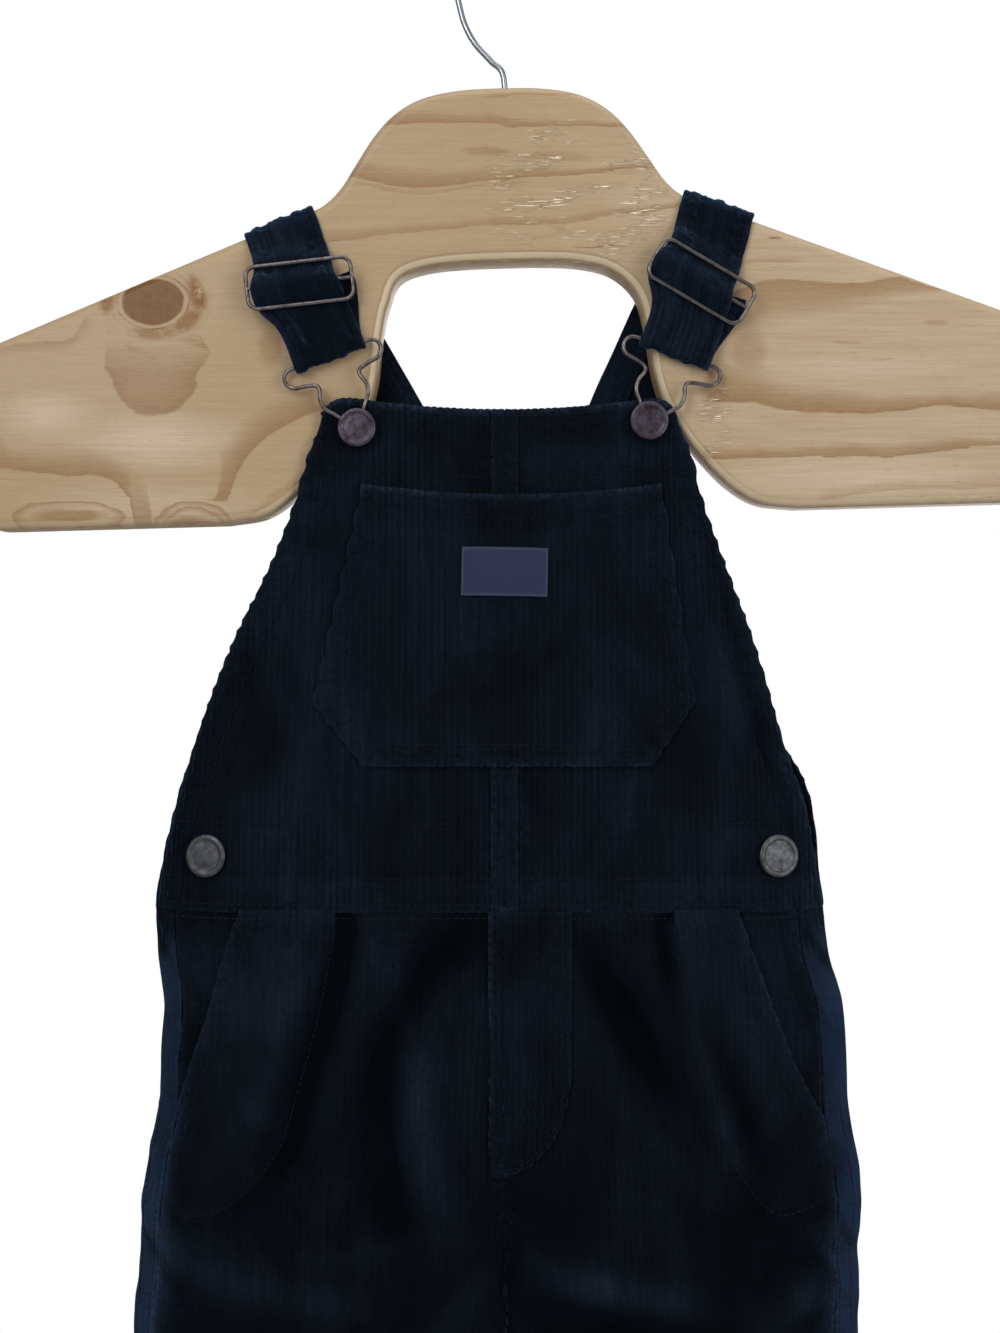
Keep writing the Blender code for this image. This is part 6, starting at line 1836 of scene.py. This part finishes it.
def button_mesh(name, x, z, width, profile, sides=64):
    """A button turned from a profile of (share of the radius, height), seated on the bib."""
    seat, normal = torso_at(BIB_FRONT, "front", x, z)
    normal = unit(normal)
    across = unit(np.cross(normal, (0, 0, 1)))
    up = np.cross(across, normal)
    points, faces = [], []
    angles = 2 * np.pi * np.arange(sides) / sides
    for share, height in profile:
        radius = max(share, 0.004) * width / 2
        ring = np.outer(np.cos(angles), across) + np.outer(np.sin(angles), up)
        points.append(seat + ring * radius + normal * height)
    for ring in range(len(profile) - 1):
        a, b = ring * sides, (ring + 1) * sides
        faces += [(a + k, b + k, b + (k + 1) % sides, a + (k + 1) % sides) for k in range(sides)]
    faces.append(tuple(range(sides)))
    last = (len(profile) - 1) * sides
    faces.append(tuple(range(last, last + sides))[::-1])
    return facing_out(mesh_of_parts(name, np.vstack(points), faces))


def even(path, smooth=False):
    """Places at about even steps along a path of (x, z)."""
    given = np.array(path, float)
    if smooth and len(given) > 2:
        given = curve_through(given, 12 * len(given))
    run = run_along(given)
    wanted = np.linspace(0, run[-1], max(2, int(run[-1] / 1.2)))
    return np.interp(wanted, run, given[:, 0]), np.interp(wanted, run, given[:, 1])


def sewn_on_bib(path, out=0.0):
    x, z = even(path)
    return bib_at(x, z, bib_relief(x, z) + out)


def sewn_on_pocket(path, smooth=False):
    x, z = even(path, smooth)
    return bib_at(x, z, pocket_lift(x) + OVERLAY + pocket_shape(x, z))


def sewn_on_leg(side, facing, path, smooth=False):
    x, z = even(path, smooth)
    points, normals = leg_at(side, facing, x, z)
    return moved(points, normals, leg_relief(side, facing, x, z)), normals


def sewn_on_fly(path):
    x, z = even(path)
    return fly_place(x, z, TUCK + OVERLAY - 0.1)


def level_row(first, last, z, count):
    """Places at one height, or at the height of each, from one side to the other."""
    x = np.linspace(first, last, count)
    return list(zip(x, (z(x) if callable(z) else z) + 0 * x))


def bib_stitches():
    heights = np.linspace(-205, WAIST + 2, 60)
    rows = rows_at(BIB_FRONT, heights)
    runs = []
    for inset in (2.4, 12.6):
        runs.append(sewn_on_bib(list(zip(rows.left + rows.inset_left + inset, heights))))
        runs.append(sewn_on_bib(list(zip(rows.right - rows.inset_right - inset, heights))))
    runs.append(sewn_on_bib(level_row(-70, 68, lambda x: bib_top(x) - 2.4, 60)))
    runs.append(sewn_on_bib(level_row(-80, 77, lambda x: bib_top(x) - TOP_FACING, 60)))
    for z in (TUCK_SEAM, BAND_SEAM - 1.0, WAIST + 2.7):
        row = rows_at(BIB_FRONT, np.array([z]))
        runs.append(sewn_on_bib(level_row(float(row.left[0]) * 0.985, float(row.right[0]) * 0.985, z, 80)))
    for side in (-1, 1):
        x = CENTRE + side * (FELL_HALF - 1.4)
        for high, low in ((BIB_TOP - 7, BIB_POCKET[0].z - 4), (BIB_POCKET[-1].z - 2, WAIST + 1)):
            runs.append(sewn_on_bib([(x, high), (x, low)], SNUG + FELL_THICK))
    return runs


def back_stitches():
    top = BIB_BACK[0].z
    heights = np.linspace(top - 2, WAIST + 2, 70)
    rows = rows_at(BIB_BACK, heights)
    runs = []
    for edge, sign in ((rows.left, 1), (rows.right, -1)):
        for inset in (2.2, 10.6):
            runs.append(sewn_on_back(list(zip(edge + sign * inset, heights))))
    for under in (2.4, 17.6):
        across = level_row(float(rows.left[0]) + 2, float(rows.right[0]) - 2, top - under, 50)
        runs.append(sewn_on_back(across))
    for x in (CENTRE - 4.6, CENTRE + 4.6):
        runs.append(sewn_on_back([(x, top - 2), (x, WAIST + 1)]))
    low = level_row(float(rows.left[-1]) + 2, float(rows.right[-1]) - 2, WAIST + 3.0, 90)
    return runs + [sewn_on_back(low)]


def sewn_on_back(path):
    x, z = even(path)
    points, normals = torso_at(BIB_BACK, "back", x, z, SEAM / 2)
    rows = rows_at(BIB_BACK, z)
    lift = folded(BACK_CREASES, x, z) + back_relief(np.minimum(x - rows.left, rows.right - x), x, z)
    return moved(points, normals, lift), normals


def pocket_stitches():
    left = [(row.left, row.z) for row in BIB_POCKET]
    right = [(row.right, row.z) for row in BIB_POCKET]
    runs = []
    for inset in (2.4, 8.6):
        slanted = inset * 0.75
        down = [(left[0][0] + inset, left[0][1] - 1), (left[1][0] + inset, left[1][1])]
        along = [(left[2][0] + slanted, left[2][1] + inset), (right[2][0] - slanted, right[2][1] + inset)]
        up = [(right[1][0] - inset, right[1][1]), (right[0][0] - inset, right[0][1] - 1)]
        runs.append(sewn_on_pocket(down + along + up))

    def top(x):
        share = (x - left[0][0]) / (right[0][0] - left[0][0])
        return left[0][1] - POCKET_SAG * (1 - (2 * share - 1) ** 2)

    for under in (2.2, 9.6):
        low = level_row(left[0][0] + 2, right[0][0] - 2, lambda x: top(x) - under, 60)
        runs.append(sewn_on_pocket(low))
    for path in (PENCIL_SLOT, POCKET_TACK_CURVE):
        runs.append(sewn_on_pocket(path, smooth=True))
    return runs


def leg_stitches(side):
    sign = 1 if side == "left" else -1
    mouth = [(getattr(row, side), row.z) for row in POCKET_MOUTH]
    runs = []
    for inset in (1.8, 7.6):
        path = [(x + sign * inset, z) for x, z in mouth]
        path[0] = (path[0][0], WAIST - 2)
        runs.append(sewn_on_leg(side, "front", path, smooth=True))
    heights = np.linspace(POCKET_MOUTH[-1].z + 2, HEM + 1, 90)
    seam = side_seam(side, heights)
    for beyond in (1.6, 7.4):
        runs.append(sewn_on_leg(side, "front", list(zip(seam - sign * beyond, heights))))
    runs.append(sewn_on_leg(side, "front", BAG_LINES[side], smooth=True))
    for facing in ("front", "back"):
        for z in (HEM + LEG_HEM, WAIST - 3.0):
            outer, inner = leg_edges(side, rows_at(LEGS, np.array([z])))
            path = level_row(float(outer[0]) + sign * 1.0, float(inner[0]) - sign * 1.0, z, 80)
            runs.append(sewn_on_leg(side, facing, path))
    heights = np.linspace(WAIST - 4, LEG_TURN[1], 60)
    inner = leg_edges(side, rows_at(LEGS, heights))[1]
    return runs + [sewn_on_leg(side, "back", list(zip(inner - sign * 3.0, heights)))]


def fly_stitches():
    edge = curve_through(FLY_EDGE, 60)
    slope = unit(np.gradient(edge, axis=0))
    inward = np.stack([slope[:, 1], -slope[:, 0]], axis=1)
    inward *= np.sign(-inward[0, 0])
    outer = [tuple(p) for p in edge[:-2] + inward[:-2] * 2.2]
    inner = [tuple(p) for p in edge[2:-8] + inward[2:-8] * 14.4]
    hinge = [(FLY_LEFT + 1.6, WAIST - 2.3), (FLY_LEFT + 1.6, FLY_END + 1)]
    return [sewn_on_fly(path) for path in (outer, inner, hinge)]


def strap_stitches(strap):
    sheet = strap_sheet(strap, Wales(2.87, 0.4))
    return [(sheet.points[:, j], sheet.normals[:, j]) for j in (5, -6)]


def add_stitches(name, runs, cloth, finish):
    add_piece(name, stitch_mesh(name, runs, cloth), finish, "corduroy")


class OVERALLS_OT_bib(bpy.types.Operator):
    """Builds the two halves of the bib and the felled seam between them"""

    bl_idname = "overalls.bib"
    bl_label = "Bib"

    def execute(self, context):
        cloth = context.scene.overalls_cloth
        navy, wales = corduroy(cloth, 0.5, 0.75), cloth.wales()
        for side in SIDES:
            add_cloth("bib_cloth_" + side, bib_sheet(side, wales), navy, "bib_front_" + side)
        add_cloth("bib_fell", fell_sheet(wales), navy, "bib_centre_fell", rests_on=("bib_cloth_left",))
        add_stitches("bib_stitching", bib_stitches(), cloth, thread_finish(cloth))
        return {"FINISHED"}


class OVERALLS_OT_bib_pocket(bpy.types.Operator):
    """Builds the bib's patch pocket and the bare label sewn to it"""

    bl_idname = "overalls.bib_pocket"
    bl_label = "Bib pocket and label"

    def execute(self, context):
        cloth = context.scene.overalls_cloth
        pocket, navy = pocket_sheet(cloth.wales()), corduroy(cloth, 0.5, 0.8)
        add_cloth("pocket_cloth", pocket, navy, "bib_pocket", rests_on=("bib_cloth_left",))
        label, tape = label_sheet(Wales(1.0, 0.0)), label_cloth(cloth)
        add_cloth("label_ribbon", label, tape, "bib_label", rests_on=("pocket_cloth",), slot="label_cloth")
        add_stitches("pocket_stitching", pocket_stitches(), cloth, thread_finish(cloth))
        return {"FINISHED"}


class OVERALLS_OT_back(bpy.types.Operator):
    """Builds the two halves of the back and the plackets that pass under the bib's sides"""

    bl_idname = "overalls.back"
    bl_label = "Back and side plackets"

    def execute(self, context):
        cloth = context.scene.overalls_cloth
        navy, wales = corduroy(cloth), cloth.wales()
        for side in SIDES:
            add_cloth("back_cloth_" + side, back_sheet(side, wales), navy, "back_bib_" + side)
            add_cloth("placket_cloth_" + side, placket_sheet(side, wales), navy, "side_placket_" + side)
        add_stitches("back_stitching", back_stitches(), cloth, thread_finish(cloth))
        return {"FINISHED"}


class OVERALLS_OT_legs(bpy.types.Operator):
    """Builds the legs' front and back panels and the facings in the hip pockets' mouths"""

    bl_idname = "overalls.legs"
    bl_label = "Legs"

    def execute(self, context):
        cloth = context.scene.overalls_cloth
        sewing, pressed, wales = thread_finish(cloth), corduroy(cloth, 0.35, 0.45), cloth.wales()
        soft = wales._replace(depth=wales.depth * 0.5)
        for side in SIDES:
            add_cloth("front_leg_cloth_" + side, front_leg_sheet(side, soft), pressed, "front_leg_" + side)
            add_cloth("back_leg_cloth_" + side, back_leg_sheet(side, soft), pressed, "back_leg_" + side)
            add_cloth("facing_cloth_" + side, facing_sheet(side, soft), pressed, "hip_facing_" + side)
            add_stitches("leg_stitching_" + side, leg_stitches(side), cloth, sewing)
        return {"FINISHED"}


class OVERALLS_OT_fly(bpy.types.Operator):
    """Builds the fly that lies over the front's middle seam"""

    bl_idname = "overalls.fly"
    bl_label = "Fly"

    def execute(self, context):
        cloth = context.scene.overalls_cloth
        fly, navy = fly_sheet(cloth.wales()), corduroy(cloth, 0.5, 0.75)
        add_cloth("fly_cloth", fly, navy, "fly_flap", rests_on=("front_leg_cloth_left",))
        add_stitches("fly_stitching", fly_stitches(), cloth, thread_finish(cloth))
        return {"FINISHED"}


class OVERALLS_OT_straps(bpy.types.Operator):
    """Builds the two shoulder straps, from the buckles over the hanger's arms to the back"""

    bl_idname = "overalls.straps"
    bl_label = "Straps"

    def execute(self, context):
        cloth = context.scene.overalls_cloth
        navy, sewing = corduroy(cloth, 0.6, 2.1), thread_finish(cloth)
        board = ("hanger_board_varnished",)
        for strap in STRAPS:
            sheet = strap_sheet(strap, Wales(STRAP_WIDTH / 12, cloth.wale_height / METRES * 0.65))
            name = "strap_cloth_" + strap.side
            add_cloth(name, sheet, navy, "strap_" + strap.side, rests_on=board, layers=2)
            add_stitches("strap_stitching_" + strap.side, strap_stitches(strap), cloth, sewing)
        return {"FINISHED"}


class OVERALLS_OT_fittings(bpy.types.Operator):
    """Builds the wire sliders and buckles of the straps"""

    bl_idname = "overalls.fittings"
    bl_label = "Sliders and buckles"

    def execute(self, context):
        metals = context.scene.overalls_metals
        steel = metal("aged_steel", metals.steel, metals.steel_tarnish, 0.26, 0.9)
        for strap in STRAPS:
            ring, bar = slider_paths(strap)
            name = "slider_wire_" + strap.side
            wire = wire_mesh(name, ring, FITTING_WIRE / 2, FITTING_SIDES)
            joined = bmesh.new()
            joined.from_mesh(wire)
            joined.from_mesh(wire_mesh("slider_rod_" + strap.side, bar, FITTING_WIRE * 0.46, FITTING_SIDES))
            joined.to_mesh(wire)
            joined.free()
            wire.shade_smooth()
            add_piece(name, wire, steel, "aged_steel", "slider_" + strap.side)
            name = "buckle_wire_" + strap.side
            loop = wire_mesh(name, buckle_path(strap), FITTING_WIRE / 2, FITTING_SIDES, closed=True)
            add_piece(name, loop, steel, "aged_steel", "buckle_" + strap.side)
        return {"FINISHED"}


class OVERALLS_OT_buttons(bpy.types.Operator):
    """Builds the two copper-toned bib buttons and the two steel side buttons, all with bare faces"""

    bl_idname = "overalls.buttons"
    bl_label = "Buttons"

    def execute(self, context):
        metals = context.scene.overalls_metals
        copper = metal("aged_copper", metals.copper, metals.copper_tarnish, 0.4, 1.0)
        steel = metal("aged_button_steel", metals.button, metals.copper_tarnish, 0.42, 0.7)
        head = SNUG + FITTING_WIRE + 3 * WIRE_LIFT
        face = ((0.9, 0.0), (0.97, 0.15), (1.0, 0.5), (1.0, 0.95), (0.97, 1.3), (0.92, 1.5), (0.86, 1.58),
                (0.8, 1.56), (0.76, 1.42), (0.73, 1.16), (0.7, 1.1), (0.6, 1.16), (0.45, 1.28), (0.3, 1.36),
                (0.15, 1.4), (0.0, 1.41))
        shank = [(0.0, SNUG), (0.27, SNUG), (0.27, head - 0.3), (0.34, head), (0.7, head + 0.02)]
        profile = shank + [(share, head + height) for share, height in face]
        for strap in STRAPS:
            name = "copper_button_" + strap.side
            made = button_mesh(name, *strap.button, BUTTON_WIDTH, profile)
            add_piece(name, made, copper, "aged_copper", "bib_button_" + strap.side)
        profile = [(0.0, SNUG), (0.8, SNUG)] + [(share, SNUG + 0.2 + height * 1.02) for share, height in face]
        for side, x, z in SIDE_BUTTONS:
            name = "steel_button_" + side
            made = button_mesh(name, x, z, SIDE_BUTTON_WIDTH, profile)
            add_piece(name, made, steel, "aged_steel", "side_button_" + side)
        return {"FINISHED"}


class OVERALLS_OT_hanger(bpy.types.Operator):
    """Builds the varnished board and the wire hook that carry the overalls"""

    bl_idname = "overalls.hanger"
    bl_label = "Hanger"

    def execute(self, context):
        wood, metals = context.scene.overalls_wood, context.scene.overalls_metals
        varnished = Pine(wood).finished()
        add_piece("hanger_board_varnished", board_mesh(), varnished, "varnished_pine", "hanger_board")
        bright = metal("hook_steel", metals.hook, metals.steel_tarnish, 0.22, 0.25)
        hook = wire_mesh("hanger_hook_wire", hook_path(), HOOK_WIRE / 2, HOOK_SIDES)
        add_piece("hanger_hook_wire", hook, bright, "hook_steel", "hanger_hook")
        return {"FINISHED"}


def floor_mesh(size, height):
    half = size / 2
    lines = [-half + size * i / 24 for i in range(25)]
    points = [(x, y, height) for y in lines for x in lines]
    corners = (0, 1, 26, 25)
    faces = [[25 * j + i + corner for corner in corners] for j in range(24) for i in range(24)]
    mesh = bpy.data.meshes.new("floor")
    mesh.from_pydata(points, [], faces)
    return mesh


def soft_light(name, place_at, size, power):
    lamp = bpy.data.lights.new(name, "AREA")
    lamp.shape = "RECTANGLE"
    lamp.size, lamp.size_y = size
    lamp.energy = power
    made = bpy.data.objects.new(name, lamp)
    bpy.context.scene.collection.objects.link(made)
    made.location = place_at
    made.rotation_euler = (Vector(AIM) - Vector(place_at)).to_track_quat("-Z", "Y").to_euler()


def white_room(look):
    """A world that lights softly and looks white to the camera."""
    world = bpy.data.worlds.new("white_room")
    world.use_nodes = True
    nodes, links = world.node_tree.nodes, world.node_tree.links
    room, backdrop = nodes["Background"], nodes.new("ShaderNodeBackground")
    room.inputs["Color"].default_value = (*look.room_colour, 1)
    room.inputs["Strength"].default_value = look.room_light
    backdrop.inputs["Color"].default_value = (1, 1, 1, 1)
    either = nodes.new("ShaderNodeMixShader")
    seen = nodes.new("ShaderNodeLightPath").outputs["Is Camera Ray"]
    for socket, output in zip(either.inputs, (seen, room.outputs[0], backdrop.outputs[0])):
        links.new(output, socket)
    links.new(either.outputs[0], nodes["World Output"].inputs[0])
    return world


class OVERALLS_OT_stage(bpy.types.Operator):
    """Sets the pale floor, the soft studio light and the camera"""

    bl_idname = "overalls.stage"
    bl_label = "Stage"

    def execute(self, context):
        scene, look = context.scene, context.scene.overalls_stage
        floor = bpy.data.objects.new("floor", floor_mesh(look.floor_size, look.floor_height))
        scene.collection.objects.link(floor)
        floor.data.materials.append(plain_floor(tuple(look.floor_colour)))
        scene.world = white_room(look)
        scene.view_settings.view_transform = "Standard"
        soft_light("key_light", (-0.9, -1.5, 0.6), (1.0, 1.4), look.key_power)
        soft_light("fill_light", (1.3, -1.2, -0.1), (0.9, 1.6), look.fill_power)
        soft_light("top_light", (0.1, -0.2, 1.2), (1.2, 0.9), look.top_power)
        soft_light("back_light", (0.5, 1.7, 0.1), (1.6, 1.6), look.back_power)
        lens = bpy.data.cameras.new("camera")
        camera = bpy.data.objects.new("camera", lens)
        scene.collection.objects.link(camera)
        lens.sensor_fit = "HORIZONTAL"
        lens.sensor_width = 36.0
        lens.lens = 36.0 * look.camera_distance / look.view_width
        lens.clip_start, lens.clip_end = 0.01, 30.0
        camera.location = (look.view_centre_x, look.view_depth - look.camera_distance, look.view_centre_z)
        camera.rotation_euler = (math.pi / 2, 0.0, 0.0)
        scene.camera = camera
        return {"FINISHED"}


def colour(name, note, *default):
    return FloatVectorProperty(name=name, description=note, default=default, subtype="COLOR")


def length(name, note, default):
    return FloatProperty(name=name, description=note, default=default, unit="LENGTH")


def brightness(name, note, default):
    return FloatProperty(name=name, description=note, default=default)


class OverallsCloth(bpy.types.PropertyGroup):
    """The corduroy, its thread and its label"""

    wale_width: length("Wale width", "From one wale's crest to the next", 0.00275)
    wale_height: length("Wale height", "From a groove to a crest", 0.0004)
    thread_width: length("Thread width", "Thickness of the sewing thread", 0.00042)
    stitch_length: length("Stitch length", "From one stitch to the next", 0.0029)
    pile: colour("Pile", "Colour of the wales", 0.0020, 0.0031, 0.0052)
    pile_stroked: colour("Stroked pile", "Colour where the pile leans over", 0.0084, 0.0142, 0.0255)
    # The groove colour is painted shade between the wales, and also darkens random fibres
    groove: colour("Groove", "Colour between the wales", 0.0006, 0.0010, 0.0018)
    worn: colour("Worn pile", "Colour along rubbed edges", 0.020, 0.031, 0.056)
    # The glint is a painted highlight on the crumpled outer seams
    glint: colour("Glint", "Colour of the crumpled outer seams", 0.0075, 0.0185, 0.047)
    sheen: colour("Sheen", "Colour of the pile seen edge on", 0.09, 0.19, 0.39)
    thread: colour("Thread", "Colour of the sewing thread", 0.0035, 0.005, 0.009)
    thread_light: colour("Light thread", "Colour of the thread's crest", 0.0075, 0.011, 0.02)
    label: colour("Label", "Colour of the bare label", 0.021, 0.026, 0.066)
    label_fleck: colour("Label fleck", "Paler yarns of the label", 0.032, 0.038, 0.088)
    label_edge: colour("Label edge", "Colour of the label's border", 0.10, 0.11, 0.17)

    def wales(self):
        return Wales(self.wale_width / METRES, self.wale_height / METRES)


class OverallsWood(bpy.types.PropertyGroup):
    """The hanger's varnished pine"""

    pale: colour("Pale wood", "Colour of the early wood", 0.455, 0.348, 0.226)
    straw: colour("Straw wood", "Colour of its streaks", 0.42, 0.306, 0.186)
    warm: colour("Warm wood", "Colour of the darker side of the board", 0.385, 0.272, 0.15)
    # Colour of the palest zones: partly paler wood, partly a painted sheen
    pale_wood_and_sheen: colour("Bleached wood", "Colour of its palest zones", 0.54, 0.425, 0.295)
    late: colour("Late wood", "Colour of the dark lines", 0.275, 0.158, 0.07)
    knot: colour("Knot", "Colour of the knot's core", 0.142, 0.06, 0.008)
    bark: colour("Bark", "Colour of the bark round the knot", 0.205, 0.078, 0.01)
    # A colour for painted highlights: the glints on the raised grain and the line along the rim
    painted_gloss: colour("Varnish flecks", "Colour of the raised, shiny grain", 0.86, 0.74, 0.52)


class OverallsMetals(bpy.types.PropertyGroup):
    """The hook, the wire fittings and the buttons"""

    steel: colour("Aged steel", "Colour of the fittings", 0.185, 0.168, 0.165)
    steel_tarnish: colour("Steel tarnish", "Darker patches on steel", 0.06, 0.048, 0.044)
    button: colour("Button steel", "Colour of the side buttons", 0.095, 0.105, 0.108)
    copper: colour("Aged copper", "Colour of the bib buttons", 0.084, 0.076, 0.099)
    copper_tarnish: colour("Copper tarnish", "Darker patches on copper", 0.038, 0.023, 0.026)
    hook: colour("Hook steel", "Colour of the hanger's hook", 0.42, 0.45, 0.48)


class OverallsStage(bpy.types.PropertyGroup):
    """The floor, the light and the camera"""

    camera_distance: length("Camera distance", "From the camera to the bib's plane", 0.62)
    view_width: length("View width", "Width that the camera takes in", 0.42)
    view_centre_x: length("View centre across", "Middle of the view", -0.00126)
    view_centre_z: length("View centre up", "Middle of the view", -0.3051)
    view_depth: length("View depth", "Where the view has its width", -0.006)
    floor_size: length("Floor size", "Side of the floor", 3.6)
    floor_height: length("Floor height", "How far the floor lies below the hook", -1.5)
    floor_colour: colour("Floor", "Colour of the floor", 0.86, 0.86, 0.86)
    room_colour: colour("Room", "Colour of the room's light", 0.93, 0.97, 1.0)
    room_light: brightness("Room light", "Brightness of the room", 0.3)
    key_power: brightness("Key light", "Power of the light on the left", 19.0)
    fill_power: brightness("Fill light", "Power of the light on the right", 15.0)
    top_power: brightness("Top light", "Power of the light above", 9.0)
    back_power: brightness("Back light", "Power of the light behind", 16.0)


GROUPS = (
    ("overalls_cloth", OverallsCloth),
    ("overalls_wood", OverallsWood),
    ("overalls_metals", OverallsMetals),
    ("overalls_stage", OverallsStage),
)
STEPS = (
    OVERALLS_OT_stage,
    OVERALLS_OT_hanger,
    OVERALLS_OT_bib,
    OVERALLS_OT_bib_pocket,
    OVERALLS_OT_back,
    OVERALLS_OT_legs,
    OVERALLS_OT_fly,
    OVERALLS_OT_straps,
    OVERALLS_OT_fittings,
    OVERALLS_OT_buttons,
)


class OVERALLS_PT_build(bpy.types.Panel):
    """Lists the steps that build the overalls, and their sizes and colours"""

    bl_idname = "OVERALLS_PT_build"
    bl_label = "Bib Overalls"
    bl_space_type = "VIEW_3D"
    bl_region_type = "UI"
    bl_category = "Overalls"

    def draw(self, context):
        for made in STEPS:
            self.layout.operator(made.bl_idname)
        for title, group in GROUPS:
            box = self.layout.box()
            box.label(text=group.__doc__)
            for key in group.__annotations__:
                box.prop(getattr(context.scene, title), key)


def register():
    for title, group in GROUPS:
        bpy.utils.register_class(group)
        setattr(bpy.types.Scene, title, bpy.props.PointerProperty(type=group))
    for made in (*STEPS, OVERALLS_PT_build):
        bpy.utils.register_class(made)


def unregister():
    for made in (OVERALLS_PT_build, *reversed(STEPS)):
        bpy.utils.unregister_class(made)
    for title, group in reversed(GROUPS):
        delattr(bpy.types.Scene, title)
        bpy.utils.unregister_class(group)


def main():
    register()
    for made in STEPS:
        family, action = made.bl_idname.split(".")
        getattr(getattr(bpy.ops, family), action)()
    bpy.context.view_layer.update()


if __name__ == "__main__":
    main()
